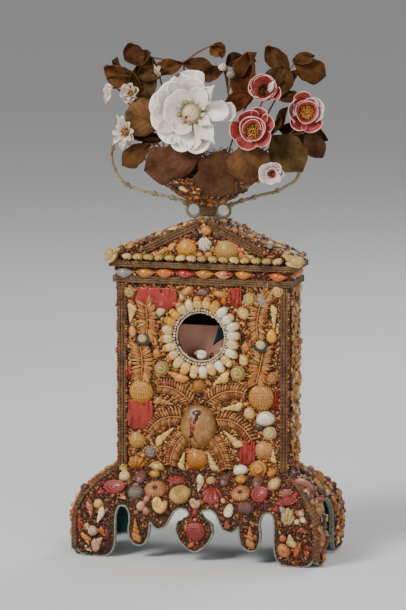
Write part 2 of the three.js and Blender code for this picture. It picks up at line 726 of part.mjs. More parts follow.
// Shells on the gable, set side by side.
const gableShells = [[-14, 12.5, 9.5], [2.5, 17.5, 7.2], [21, 11.3, 9.4]];
const gableShell = ([x, rise, radius]) => dome(radius, gableShellDepth)
  .rotateX(Math.PI / 2)
  .translate(x, 0, rise);
const gableGlue = polygon([[-18, 9], [25, 9], [18, 15], [2, 20], [-12, 15]]);
piece('gable_shells', join([extrudeForward(gableGlue, 1, -1), ...gableShells.map(gableShell)]), paleShell)
  .position.set(0, -roofDepth / 2 - clearance, roofBase);

// Sea urchins on the shoulder of the front skirt.
for (const [name, x, radius, along] of [['urchin_left', -37, 9.6, 0.52], ['urchin_right', 38, 9, 0.5]]) {
  const at = skirtCurve.getPoint(along);
  const tangent = skirtCurve.getTangent(along);
  const tilt = Math.atan2(-tangent.y, tangent.x);
  const urchin = piece(name, dome(radius, 6), paleShell);
  const lift = 1.5 * clearance;
  urchin.rotation.x = tilt;
  urchin.position.set(x, -halfDepth - at.x - lift * Math.sin(tilt), at.y + lift * Math.cos(tilt));
}

// Bouquet: everything in it is placed from the middle of the rim of the bowl, in units of its grid.
const bouquet = new THREE.Group();
bouquet.scale.setScalar(bouquetUnit);
bouquet.position.z = bowlRim;
stand.add(bouquet);

/** Turns geometry whose face is +Z towards a direction and moves it to a place. */
function aim(geometry, at, towards) {
  const face = new THREE.Vector3(...towards).normalize();
  const across = new THREE.Vector3(0, 0, 1).cross(face).normalize();
  const up = new THREE.Vector3().crossVectors(face, across);
  const turn = new THREE.Matrix4().makeBasis(across, up, face).setPosition(...at);
  return geometry.applyMatrix4(turn);
}

/** A flower head turned towards a direction, with its own wire down to the moss. */
function flower({ at, towards, parts, stem, wireWidth = 1 }) {
  const head = parts.map((part) => aim(part, at, towards));
  return join([...head, wire([at, ...stem], wireWidth, 4, 4)]);
}

piece('flower_white', flower({
  at: [-7, -35, 55],
  towards: [0.12, -1, 0.2],
  parts: [
    corolla({ count: 9, radius: 35, rise: 8, notch: 0.88, sectors: 3 }),
    corolla({ count: 5, radius: 21, rise: 8, notch: 0.85, sectors: 3, turn: 0.4 }).translate(0, 0, 3),
    lump(8, 8, 6).translate(0, 0, 4),
  ],
  stem: [[-8, -26, 40], root(-7, -14)],
}), whiteShell, bouquet);

/** Petals of a rose: a flat outer ring round a cupped inner ring and a rolled heart. */
function rose(radius) {
  const inner = { count: 4, radius: radius * 0.62, rise: radius * 0.5, notch: 0.82, sectors: 3, turn: 0.5 };
  return [
    corolla({ count: 5, radius, rise: radius * 0.22, notch: 0.78, sectors: 3 }),
    corolla(inner).translate(0, 0, 2),
    lump(radius * 0.3, radius * 0.3, radius * 0.45).translate(0, 0, 3),
  ];
}

const roses = [
  ['rose_upper', [54, -24, 81], [0.1, -1, 0.5], 17, [[46, -12, 60], root(19, -2)]],
  ['rose_middle', [47.5, -34, 46.5], [0.15, -1, 0.35], 21, [[41, -26, 32], root(24, -9)]],
  ['rose_right', [91.5, -14, 60], [0.3, -1, 0.2], 17, [[78, -6, 42], root(31, -3)]],
];
for (const [name, at, towards, radius, stem] of roses) {
  piece(name, flower({ at, towards, parts: rose(radius), stem }), pinkShell, bouquet);
}

piece('flower_pale_pink', flower({
  at: [68, -46, 8],
  towards: [0.1, -1, 0.1],
  parts: [corolla({ count: 5, radius: 11.5, rise: 2.5 }), lump(3, 3, 3)],
  stem: [[60, -30, 10], root(33, -14)],
}), { color: 0xe7d3d3, roughness: 0.4 }, bouquet);

const creamPetals = { count: 6, radius: 9.5, rise: 3, notch: 0.7, sectors: 2 };
const creamFork = [-46, -6, 28];

/** A small cream flower on a wire that ends at the fork of its spray. */
function creamFlower(at, towards, bend) {
  return flower({ at, towards, parts: [lump(3.6, 3.6, 3.4), corolla(creamPetals)], stem: [bend, creamFork] });
}

piece('flower_spray_cream', join([
  creamFlower([-67, -8, 70], [-0.2, -1, 0.3], [-62, -4, 55]),
  creamFlower([-74, -24, 36.5], [-0.3, -1, 0.1], [-66, -15, 30]),
  lump(3.6, 3.6, 7).rotateY(0.2).translate(-88.5, -4, 72),
  wire([[-88.5, -4, 72], [-82, -2, 74], [-70, -4, 60], [-61, -4, 54]], 0.9, 4, 4),
  wire([creamFork, [-36, -6, 18], root(-23, -4)], 1.3, 4, 4),
]), { color: 0xcdb79a, roughness: 0.5 }, bouquet);

/** A spray: wires and leaves joined into one piece. */
function spray(name, twigs, leaves) {
  piece(name, join([
    ...twigs.map(([points, radius = 1.1]) => wire(points, radius, 2 * points.length - 2, 4)),
    ...leaves.map((form) => leaf(form)),
  ]), velvetLeaf, bouquet);
}

// Leaf forms: broad and blunt, heart-shaped, and long.
const blunt = { neck: 0.55, widest: 0.55, tip: 0.7, cup: -1.5 };
const heart = { neck: 0.55, widest: 0.45, tip: 0.3, cup: -3 };
const long = { neck: 0.35, widest: 0.5, tip: 0.3, cup: 2 };

spray('leaves_front', [
  [[[6, -38.5, 23], [5, -35, 22], [8, -27, 15], root(8, -22)]],
  [[[23, -40, 26], [18, -35, 21], [8, -27, 15]]],
  [[[42, -36, 32], [30, -36, 24], [18, -35, 21]]],
], [
  { from: [6, -38.5, 23], to: [-46, -46, 9], width: 33, ...blunt, towards: [0, -1, 0.1] },
  { from: [23, -40, 26], to: [14, -50.5, -14], width: 37, ...blunt, cup: -0.5 },
  { from: [42, -36, 32], to: [50, -46, -1], width: 33, ...heart },
]);
spray('leaves_right', [
  [[[62, -20, 36], [48, -14, 22], root(33, -10)]],
  [[[88, -6, 40], [72, -14, 38], [62, -20, 36]]],
  [[[61, 4, 42], [48, -4, 28], root(33, -10)]],
], [
  { from: [62, -20, 36], to: [90, -27, 8], width: 31, ...heart, towards: [0.2, -1, 0.3] },
  { from: [88, -6, 40], to: [104, -8, 19], width: 17, ...long, towards: [0.3, -1, 0.1] },
  { from: [61, 4, 42], to: [107, 3, 33], width: 19, ...long, towards: [0, -1, 0.4] },
]);
spray('leaves_left', [
  [[[-47, -18, 28], [-36, -16, 18], root(-26, -15)]],
  [[[-38, -14, 45], [-37, -15, 30], [-36, -16, 18]]],
], [
  { from: [-47, -18, 28], to: [-72, -24, 10], width: 18, ...long, towards: [-0.2, -1, 0.2] },
  { from: [-38, -14, 45], to: [-69, -20.5, 55], width: 30, ...heart, tip: 0.55, towards: [0, -1, 0.2] },
]);
spray('leaves_upper_left', [
  [[[-62, 4, 71], [-46, 6, 46], root(-15, 6)], 1.3],
  [[[-52, 3, 63], [-50, 5, 55], [-46, 6, 46]]],
  [[[-65, 14, 92], [-63, 10, 80], [-62, 4, 71]]],
], [
  { from: [-62, 4, 71], to: [-92, 3, 93], width: 17, ...long, towards: [-0.2, -1, 0.5] },
  { from: [-52, 3, 63], to: [-67, 6, 93], width: 23, ...long, towards: [0.1, -1, 0] },
  { from: [-65, 14, 92], to: [-74, 14, 113], width: 16, ...long, cup: 4, towards: [0, -1, 0.3] },
]);
spray('twig_top', [
  [[[-25, 10, 97], [-22, 7, 74], [-14, 8, 48], root(-4, 8)], 1.4],
  [[[-63, 16, 101], [-44, 14, 99], [-25, 10, 97]]],
  [[[4, 14, 114], [-11, 12, 107], [-25, 10, 97]]],
], [
  { from: [4, 14, 114], to: [8, 13, 103], width: 9, ...long },
  { from: [-25, 10, 97], to: [1, 8, 94], width: 10, ...long },
  { from: [-25, 10, 97], to: [-51, 6, 87], width: 11, ...long },
]);
spray('leaves_upper_middle', [
  [[[25, 5, 64], [20, 8, 40], root(12, 11)], 1.3],
  [[[13, 9, 92], [16, 9, 66], [20, 8, 40]]],
  [[[12, 17, 95], [14, 13, 84], [15, 9, 72]]],
  [[[17, -8, 58], [20, 0, 48], [20, 8, 40]]],
], [
  { from: [13, 9, 92], to: [-8, 5, 85], width: 10, ...long },
  { from: [12, 17, 95], to: [25, 16, 104], width: 11, ...long },
  { from: [25, 5, 64], to: [39, 3, 109], width: 24, ...long, cup: 7, towards: [-0.3, -1, 0] },
  { from: [17, -8, 58], to: [40, -11, 73], width: 15, ...long, towards: [0, -1, 0.3] },
]);
spray('leaves_upper_right', [
  [[[59, 10, 69], [42, 12, 40], root(21, 13)], 1.4],
  [[[68, 16, 88], [64, 14, 78], [59, 10, 69]]],
  [[[75, 8, 99], [70, 12, 93], [68, 16, 88]]],
], [
  { from: [59, 10, 69], to: [64, 9, 95], width: 24, ...long, towards: [-0.1, -1, 0.1] },
  { from: [68, 16, 88], to: [50, 17, 112], width: 15, ...long },
  { from: [75, 8, 99], to: [101, 6, 88], width: 20, ...long, towards: [0.1, -1, 0.3] },
]);

export default stand;
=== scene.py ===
"""Shellwork watch stand: the visible shells, paper, cord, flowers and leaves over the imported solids.

A hollow case with a round porthole stands on a flared, scalloped base, under a low roof that
carries a two-handled urn of shell flowers. Every form is modelled once in edit mode and copied to
its places; shells are seated on the solids that carry them. Metres, +Z up, the front faces -Y.
"""

from __future__ import annotations

import json
import logging
import math
import random
from dataclasses import dataclass, field
from enum import Enum
from typing import Callable, Iterable, Sequence

import bpy
import numpy as np
from mathutils import Matrix, Vector, noise
from mathutils.bvhtree import BVHTree
from mathutils.kdtree import KDTree

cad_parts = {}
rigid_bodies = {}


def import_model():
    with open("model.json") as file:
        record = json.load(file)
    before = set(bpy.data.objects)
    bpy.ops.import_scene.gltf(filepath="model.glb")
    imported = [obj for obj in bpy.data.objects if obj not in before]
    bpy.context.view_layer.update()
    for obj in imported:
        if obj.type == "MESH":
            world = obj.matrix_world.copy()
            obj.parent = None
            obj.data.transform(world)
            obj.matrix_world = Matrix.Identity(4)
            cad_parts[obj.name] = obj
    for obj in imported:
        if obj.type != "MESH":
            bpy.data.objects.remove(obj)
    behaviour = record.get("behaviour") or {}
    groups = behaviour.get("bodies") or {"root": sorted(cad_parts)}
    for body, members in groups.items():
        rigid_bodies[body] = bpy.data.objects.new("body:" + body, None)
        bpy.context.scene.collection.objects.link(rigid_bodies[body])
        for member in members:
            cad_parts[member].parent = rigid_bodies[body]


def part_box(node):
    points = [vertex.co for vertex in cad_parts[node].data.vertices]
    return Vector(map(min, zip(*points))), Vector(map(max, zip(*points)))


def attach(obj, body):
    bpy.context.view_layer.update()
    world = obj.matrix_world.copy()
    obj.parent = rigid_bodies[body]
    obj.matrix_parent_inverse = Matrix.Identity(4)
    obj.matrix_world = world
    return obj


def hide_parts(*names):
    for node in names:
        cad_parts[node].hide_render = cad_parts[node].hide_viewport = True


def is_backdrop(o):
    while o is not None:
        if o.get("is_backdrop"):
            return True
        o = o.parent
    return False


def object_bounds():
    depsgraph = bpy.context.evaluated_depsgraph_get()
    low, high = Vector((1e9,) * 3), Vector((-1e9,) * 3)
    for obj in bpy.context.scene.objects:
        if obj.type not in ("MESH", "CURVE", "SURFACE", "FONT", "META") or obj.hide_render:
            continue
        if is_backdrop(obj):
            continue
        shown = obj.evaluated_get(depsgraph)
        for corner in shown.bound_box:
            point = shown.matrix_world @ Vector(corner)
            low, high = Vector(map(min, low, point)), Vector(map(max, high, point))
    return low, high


LOG = logging.getLogger("shellwork_stand")
MM = 0.001
UP = Vector((0.0, 0.0, 1.0))
FRONT = Vector((0.0, -1.0, 0.0))
RIGHT = Vector((1.0, 0.0, 0.0))
AS_MODELLED = Matrix.Identity(4)
TURN = 6.28
Pair = tuple[float, float]
Triple = tuple[float, float, float]


class Tint(Enum):
    """Shell, paper and leaf colours, as seen in even light."""

    WHITE = "eee0c8"
    CREAM = "e3c586"
    PALE_YELLOW = "dfb868"
    YELLOW = "d99b2f"
    OCHRE = "c57c25"
    HONEY = "cd8a3b"
    ORANGE = "c96420"
    RUST = "9e4a1b"
    PEACH = "db975a"
    CORAL = "a93223"
    RED = "85241b"
    ROSE = "9f3a36"
    PINK = "c27a63"
    PALE_PINK = "d8b094"
    MAUVE = "7a4f49"
    PLUM = "4d2722"
    GREY = "93887c"
    OLIVE = "c1a158"
    TAN = "b37e3f"
    SAND = "cf9c48"
    BROWN = "6c3d1b"
    DARK = "351a0d"
    SLATE = "373531"

    def rgb(self) -> Triple:
        """The colour in linear light."""
        parts = (int(self.value[i : i + 2], 16) / 255 for i in (0, 2, 4))
        return tuple(c / 12.92 if c <= 0.04045 else ((c + 0.055) / 1.055) ** 2.4 for c in parts)


@dataclass
class Form:
    """A modelled form as arrays, ready to be copied to its places.

    A shell form fills a box one unit wide and high on z = 0, and rises one unit above it.
    """

    points: np.ndarray
    corners: np.ndarray
    starts: np.ndarray
    shade: np.ndarray
    along: np.ndarray

    @staticmethod
    def of(points: Sequence, faces: Sequence, shade: Sequence, along: Sequence) -> Form:
        """Packs plain lists.

        Args:
            points: Corner positions.
            faces: Corner numbers of each face.
            shade: How light each corner is, 1 for the full tint.
            along: Two surface coordinates for each corner.

        Returns:
            The form.
        """
        counts = [len(face) for face in faces]
        return Form(
            np.array(points, float).reshape(-1, 3),
            np.array([c for face in faces for c in face], np.int64),
            np.array([0, *np.cumsum(counts)[:-1]], np.int64),
            np.array(shade, float),
            np.array(along, float).reshape(-1, 2),
        )

    def fitted(self) -> Form:
        """The same form, fitted into its unit box."""
        low, high = self.points.min(0), self.points.max(0)
        middle = (low + high) / 2
        middle[2] = low[2]
        return Form((self.points - middle) / (high - low), self.corners, self.starts, self.shade, self.along)


class Workbench:
    """Edit-mode tools: each starts a primitive, works it and hands back the finished form."""

    @staticmethod
    def start() -> None:
        """Leaves edit mode and deselects everything."""
        if bpy.context.object and bpy.context.object.mode != "OBJECT":
            bpy.ops.object.mode_set(mode="OBJECT")
        bpy.ops.object.select_all(action="DESELECT")

    @staticmethod
    def take(
        obj: bpy.types.Object,
        move: Callable[[float, float, Vector], Vector],
        shade: Callable[[float, float], float],
        along: Callable[[Vector], Pair],
        wall: float = 0.0,
    ) -> Form:
        """Moves each point of a started mesh to its place and takes the mesh off the bench.

        Args:
            obj: The started object.
            move: Gives a point's place from its two surface coordinates and its old place.
            shade: Gives how light a point is from its surface coordinates.
            along: Gives the two surface coordinates of a point of the started mesh.
            wall: Thickness given to an open sheet.

        Returns:
            The form, in the sizes that move gave it.
        """
        bpy.ops.object.mode_set(mode="OBJECT")
        mesh = obj.data
        kept = mesh.attributes.new("kept", "FLOAT_VECTOR", "POINT")
        for vertex, held in zip(mesh.vertices, kept.data):
            u, v = along(vertex.co)
            held.vector = (u, v, shade(u, v))
            vertex.co = move(u, v, vertex.co.copy())
        mesh.update()
        if sum(face.normal.z * face.area for face in mesh.polygons) < 0 and wall:
            bpy.ops.object.mode_set(mode="EDIT")
            bpy.ops.mesh.select_all(action="SELECT")
            bpy.ops.mesh.flip_normals()
            bpy.ops.object.mode_set(mode="OBJECT")
        if wall:
            solid = obj.modifiers.new("wall", "SOLIDIFY")
            solid.thickness = wall
            solid.offset = -1
            bpy.ops.object.modifier_apply(modifier=solid.name)
        mesh = obj.data
        held = [tuple(item.vector) for item in mesh.attributes["kept"].data]
        form = Form.of(
            [tuple(vertex.co) for vertex in mesh.vertices],
            [tuple(face.vertices) for face in mesh.polygons],
            [h[2] for h in held],
            [h[:2] for h in held],
        )
        bpy.data.objects.remove(obj)
        bpy.data.meshes.remove(mesh)
        return form

    def sheet(
        self,
        columns: int,
        rows: int,
        move: Callable[[float, float], Triple],
        shade: Callable[[float, float], float] = lambda u, v: 1.0,
        wall: float = 0.0,
    ) -> Form:
        """A grid shaped into a curved sheet: shells, petals and leaves.

        Args:
            columns: Faces across.
            rows: Faces along.
            move: Gives the place of a point from u across and v along, each from 0 to 1.
            shade: Gives how light the point is.
            wall: Thickness of the sheet.

        Returns:
            The form.
        """
        self.start()
        bpy.ops.mesh.primitive_grid_add(x_subdivisions=columns, y_subdivisions=rows, size=1)
        return self.take(
            bpy.context.object,
            lambda u, v, old: Vector(move(u, v)),
            shade,
            lambda co: (co.x + 0.5, co.y + 0.5),
            wall,
        )

    def lathe(
        self,
        profile: Sequence[Pair],
        steps: int,
        ripple: Callable[[float, float], Pair] = lambda a, v: (1.0, 1.0),
        shade: Callable[[float, float], float] = lambda a, v: 1.0,
    ) -> Form:
        """A profile of radius and height, spun about Z.

        Args:
            profile: Radius and height of each point, from the outside to the axis.
            steps: Faces round the axis.
            ripple: Gives the factors on radius and height from the turn and the share of the profile.
            shade: Gives how light a point is from the same two.

        Returns:
            The form.
        """
        self.start()
        bpy.ops.mesh.primitive_plane_add(size=1)
        bpy.ops.object.mode_set(mode="EDIT")
        bpy.ops.mesh.merge(type="CENTER")
        place = Vector((0.0, 0.0, 0.0))
        for i, (radius, height) in enumerate(profile):
            target = Vector((radius, 0.0, height))
            if i:
                bpy.ops.mesh.extrude_vertices_move(TRANSFORM_OT_translate={"value": target - place})
            else:
                bpy.ops.transform.translate(value=target)
            place = target
        bpy.ops.mesh.select_all(action="SELECT")
        bpy.ops.mesh.spin(steps=steps, angle=2 * math.pi, center=(0, 0, 0), axis=(0, 0, 1))
        bpy.ops.mesh.select_all(action="SELECT")
        bpy.ops.mesh.remove_doubles(threshold=1e-5)
        bpy.ops.mesh.normals_make_consistent(inside=False)

        def share(co: Vector) -> Pair:
            """Turn about the axis and share of the profile."""
            radius = math.hypot(co.x, co.y)
            best = min(range(len(profile)), key=lambda i: abs(profile[i][0] - radius)
                       + abs(profile[i][1] - co.z))
            return math.atan2(co.y, co.x) / (2 * math.pi), best / (len(profile) - 1)

        def move(turn: float, part: float, old: Vector) -> Vector:
            """The point with its ripple."""
            wide, high = ripple(turn * 2 * math.pi, part)
            return Vector((old.x * wide, old.y * wide, old.z * high))

        return self.take(
            bpy.context.object, move, lambda a, v: shade(a * 2 * math.pi, v), share
        )

    def coil(
        self, turns: float, shrink: float, apex: float, tube: float, sides: int = 8, steps: int = 10
    ) -> Form:
        """A tube wound about Z into a snail or turret, by extruding, turning and shrinking a ring.

        Args:
            turns: Number of turns.
            shrink: Size of a turn against the one before it.
            apex: Height of the apex above the mouth, against the mouth's distance from the axis.
            tube: Radius of the tube against that distance.
            sides: Faces round the tube.
            steps: Faces along a turn.

        Returns:
            The form, its mouth at the lower edge.
        """
        self.start()
        bpy.ops.mesh.primitive_circle_add(
            vertices=sides, radius=tube, fill_type="NGON", location=(1, 0, 0), rotation=(math.pi / 2, 0, 0)
        )
        obj = bpy.context.object
        bpy.ops.object.transform_apply(location=True, rotation=True, scale=True)
        bpy.ops.object.mode_set(mode="EDIT")
        bpy.ops.mesh.select_all(action="SELECT")
        centre = (0.0, 0.0, apex)
        count = int(turns * steps)
        for _ in range(count):
            bpy.ops.mesh.extrude_region_move()
            bpy.ops.transform.rotate(value=2 * math.pi / steps, orient_axis="Z", center_override=centre)
            factor = shrink ** (1 / steps)
            bpy.ops.transform.resize(value=(factor,) * 3, center_override=centre)
        bpy.ops.mesh.select_all(action="SELECT")
        bpy.ops.mesh.normals_make_consistent(inside=False)
        bpy.ops.object.mode_set(mode="OBJECT")
        rank = {}
        for vertex in obj.data.vertices:
            rank[tuple(vertex.co)] = (vertex.index % sides / sides, vertex.index // sides / max(1, count))

        def shade(u: float, v: float) -> float:
            """Painted shade in the mouth; a little lighter towards the apex."""
            return 0.72 + 0.28 * math.sin(math.pi * min(1.0, v * 40)) if v < 0.02 else 0.92 + 0.08 * v

        return self.take(obj, lambda u, v, old: old, shade, lambda co: rank.get(tuple(co), (0.0, 0.0)))

    def stone(self, detail: int, move: Callable[[Vector], Vector], shade: Callable[[float], float]) -> Form:
        """A round form with even faces, shaped point by point: seeds, beads and gravel.

        Args:
            detail: Level of the start form, 1 for 20 faces and 2 for 80.
            move: Gives a point's place from its place on the unit sphere.
            shade: Gives how light a point is from its height on the sphere, 0 to 1.

        Returns:
            The form.
        """
        self.start()
        bpy.ops.mesh.primitive_ico_sphere_add(subdivisions=detail, radius=1)
        return self.take(
            bpy.context.object,
            lambda u, v, old: move(old),
            lambda u, v: shade(v),
            lambda co: (math.atan2(co.y, co.x) / (2 * math.pi), (co.z + 1) / 2),
        )


class Kind(Enum):
    """The shell forms that the maker used."""

    GRAVEL = "gravel"
    SEED = "seed"
    RICE = "rice"
    BEAD = "bead"
    OVAL = "oval"
    SNAIL = "snail"
    TURRET = "turret"
    WHELK = "whelk"
    LIMPET = "limpet"
    COCKLE = "cockle"
    SCALLOP = "scallop"
    URCHIN = "urchin"
    DISH = "dish"
    WEDGE = "wedge"
    SPINDLE = "spindle"
    CHIP = "chip"
    BUTTON = "button"


class Cabinet:
    """All shell forms, each modelled once."""

    def __init__(self, detail: float = 1.0) -> None:
        """Models every form.

        Args:
            detail: Steps round a form against those of a shell that is looked at closely.
        """
        self.bench = Workbench()
        self.detail = detail
        self.forms: dict[Kind, Form] = {}
        self._small()
        self._coiled()
        self._radial()
        self._fans()

    def steps(self, fine: int) -> int:
        """Steps of a form here, from those of a fine one."""
        return max(4, round(fine * self.detail))

    def _small(self) -> None:
        """Gravel, seeds, rice shells, beads, ovals and broken chips."""

        def low(height: float) -> float:
            """Painted shade: darker towards the foot, near the glue."""
            return 0.25 + 0.75 * min(1.0, height * 1.15) ** 1.3

        def squash(co: Vector) -> Vector:
            """A pebble with a flat foot."""
            return Vector((co.x, co.y * (1 + 0.15 * co.x), max(co.z, -0.35)))

        def pointed(co: Vector) -> Vector:
            """A grain with pointed ends and a low ridge."""
            slim = math.sqrt(max(0.0, 1 - abs(co.y) ** 1.3))
            return Vector((co.x * (0.35 + 0.65 * slim), co.y, max(co.z, -0.3) * (0.3 + 0.7 * slim)))

        def chipped(co: Vector) -> Vector:
            """A flat, angular flake."""
            return Vector((round(co.x * 2.2) / 2.2 + 0.2 * co.y, co.y + 0.25 * co.x, max(co.z, 0.0) * 0.5))

        def slit(co: Vector) -> Vector:
            """An oval with a pinched middle line."""
            dip = 0.22 * math.exp(-((co.x / 0.16) ** 2)) if co.z > 0 else 0.0
            return Vector((co.x * (1 - 0.18 * co.y), co.y, max(co.z, -0.2) * (1 - dip)))

        make = self.bench.stone
        self.forms[Kind.GRAVEL] = make(1, squash, low).fitted()
        self.forms[Kind.SEED] = make(1, lambda co: co, low).fitted()
        self.forms[Kind.RICE] = make(1, pointed, low).fitted()
        self.forms[Kind.CHIP] = make(1, chipped, low).fitted()
        self.forms[Kind.BEAD] = make(2, squash, low).fitted()
        self.forms[Kind.OVAL] = make(3 if self.detail == 1 else 2, slit, low).fitted()

    def _coiled(self) -> None:
        """Snails seen from the apex, turrets and whelks lying down with the mouth at the lower end."""

        def lying(form: Form) -> Form:
            """The form tipped over, its apex towards +Y."""
            x, y, z = form.points.T
            turned = np.stack([x, z, -y], 1)
            return Form(turned, form.corners, form.starts, form.shade, form.along).fitted()

        coil, steps = self.bench.coil, self.steps
        self.forms[Kind.SNAIL] = coil(2.6, 0.46, 0.75, 0.62, steps(10), steps(12)).fitted()
        self.forms[Kind.TURRET] = lying(coil(6.0, 0.72, 4.2, 0.75, steps(8), steps(9)))
        self.forms[Kind.WHELK] = lying(coil(4.0, 0.58, 2.7, 0.95, steps(8), steps(10)))
        self.forms[Kind.SPINDLE] = lying(coil(3.4, 0.5, 3.0, 0.98, steps(8), steps(8)))

    def _radial(self) -> None:
        """Limpets, dishes and sea urchins."""
        cone = [(1.0, 0.0), (0.97, 0.12), (0.8, 0.42), (0.55, 0.72), (0.28, 0.92), (0.1, 1.0), (0.0, 1.0)]

        def ribs(count: int, depth: float) -> Callable[[float, float], Pair]:
            """Ribs that fade towards the top."""
            return lambda a, v: (1 + depth * (1 - v) * math.cos(count * a),
                                 1 + 0.5 * depth * math.cos(count * a))

        self.forms[Kind.LIMPET] = self.bench.lathe(
            cone, 36, ribs(18, 0.035), lambda a, v: 0.86 + 0.14 * math.cos(18 * a) - 0.14 * (v > 0.9)
        ).fitted()
        rings = self.steps(12)
        angles = [0.5 * math.pi * i / rings for i in range(rings + 1)]
        dome = [(math.cos(angle), math.sin(angle)) for angle in angles]

        def whorl(a: float, v: float) -> float:
            """The wave of a spiral groove, two and a half turns from rim to apex."""
            return math.sin(a + 15.7 * v)

        self.forms[Kind.BUTTON] = self.bench.lathe(
            dome,
            self.steps(30),
            lambda a, v: (1 + 0.05 * whorl(a, v) * (1 - v), 1 + 0.14 * whorl(a, v) * (1 - 0.6 * v)),
            # Painted shade in the spiral groove, on the same wave as the relief, and a darker apex.
            lambda a, v: 0.88 + 0.2 * whorl(a, v) - 0.2 * (v > 0.93),
        ).fitted()
        bowl = [(1.0, 0.0), (1.05, 0.5), (1.0, 0.95), (0.93, 1.0), (0.8, 0.72), (0.5, 0.5), (0.0, 0.42)]
        self.forms[Kind.DISH] = self.bench.lathe(
            bowl, 28, lambda a, v: (1 + 0.03 * math.sin(3 * a), 1.0), lambda a,
            v: 1.25 if 0.3 < v < 0.6 else 0.88
        ).fitted()
        test = [(1.0, 0.0), (1.0, 0.25), (0.9, 0.6), (0.66, 0.88), (0.42, 0.98), (0.22, 0.92), (0.16, 0.55),
                (0.0, 0.5)]
        self.forms[Kind.URCHIN] = self.bench.lathe(
            test,
            44,
            lambda a, v: (1 + 0.06 * math.cos(22 * a) * (v < 0.75), 1 + 0.08 * math.cos(22 * a)),
            # The central hole is painted nearly black as painted shade; the ribs carry light and dark stripes.
            lambda a, v: 0.12 if v > 0.8 else 0.78 + 0.3 * math.cos(22 * a),
        ).fitted()

    def _fans(self) -> None:
        """Cockles, scallops and wedge shells: ribs or growth lines from the hinge at the lower edge."""

        def across(u: float, v: float) -> Pair:
            """A place on a round disc."""
            s, t = 2 * u - 1, 2 * v - 1
            return s * math.sqrt(1 - t * t / 2), t * math.sqrt(1 - s * s / 2)

        def dome(ribs: float, hinge: float, depth: float) -> tuple[Callable, Callable]:
            """A round dome whose ribs spread from a hinge below it: its shape and its shading."""

            def fan(x: float, y: float) -> float:
                """Rib wave at a place."""
                return math.cos(ribs * math.atan2(x, y + hinge))

            def place(u: float, v: float) -> Triple:
                """A point of the dome."""
                x, y = across(u, v)
                edge = 1 - min(1.0, x * x + y * y)
                ruffle = 1 + depth * 0.4 * fan(x, y) * (1 - edge)
                return x * ruffle, y * ruffle, edge ** 0.5 * (1 + depth * fan(x, y))

            def shade(u: float, v: float) -> float:
                """Painted shade in the grooves between ribs and at the rim, and darker growth rings."""
                x, y = across(u, v)
                reach = math.hypot(x, y + hinge) - hinge
                ring = 0.12 * max(0.0, math.sin(reach * 13.0))
                return 0.82 + 0.2 * fan(x, y) - ring - 0.25 * (x * x + y * y > 0.86)

            return place, shade

        for kind, ribs, hinge, depth, detail in ((Kind.COCKLE, 92.0, 2.6, 0.05, 46),
                                                 (Kind.SCALLOP, 17.0, 1.2, 0.14, 30)):
            place, shade = dome(ribs, hinge, depth)
            mesh = self.steps(detail)
            self.forms[kind] = self.bench.sheet(mesh, mesh, place, shade).fitted()

        def lens(u: float, v: float) -> Triple:
            """A glossy shell pointed at both ends, bulging in the middle."""
            s = 2 * u - 1
            half = 0.5 * (1 - abs(s) ** 1.7)
            t = 2 * v - 1
            return s, (t - 0.15 * (1 - s * s)) * half, 0.9 * half * math.sqrt(max(0.0, 1 - t * t)) + 0.02

        self.forms[Kind.WEDGE] = self.bench.sheet(
            self.steps(12), self.steps(8), lens, lambda u, v: 1.25 if v < 0.14 else 0.95, 0.03
        ).fitted()


@dataclass(frozen=True)
class Seat:
    """A place on a carrier where a shell is glued."""

    at: Vector
    normal: Vector

    def frame(self, turn: float = 0.0, lean: float = 0.0) -> Matrix:
        """Axes of a shell that sits here.

        Args:
            turn: Degrees anticlockwise about the way out, 0 with its +Y up.
            lean: Degrees that its +Y end is lifted.

        Returns:
            The place and axes.
        """
        out = self.normal.normalized()
        guide = UP if abs(out.z) < 0.94 else Vector((0.0, 1.0, 0.0))
        upward = (guide - out * guide.dot(out)).normalized()
        across = upward.cross(out)
        axes = Matrix((across, upward, out)).transposed().to_4x4()
        turned = Matrix.Rotation(math.radians(turn), 4, "Z") @ Matrix.Rotation(math.radians(lean), 4, "X")
        return Matrix.Translation(self.at) @ axes @ turned


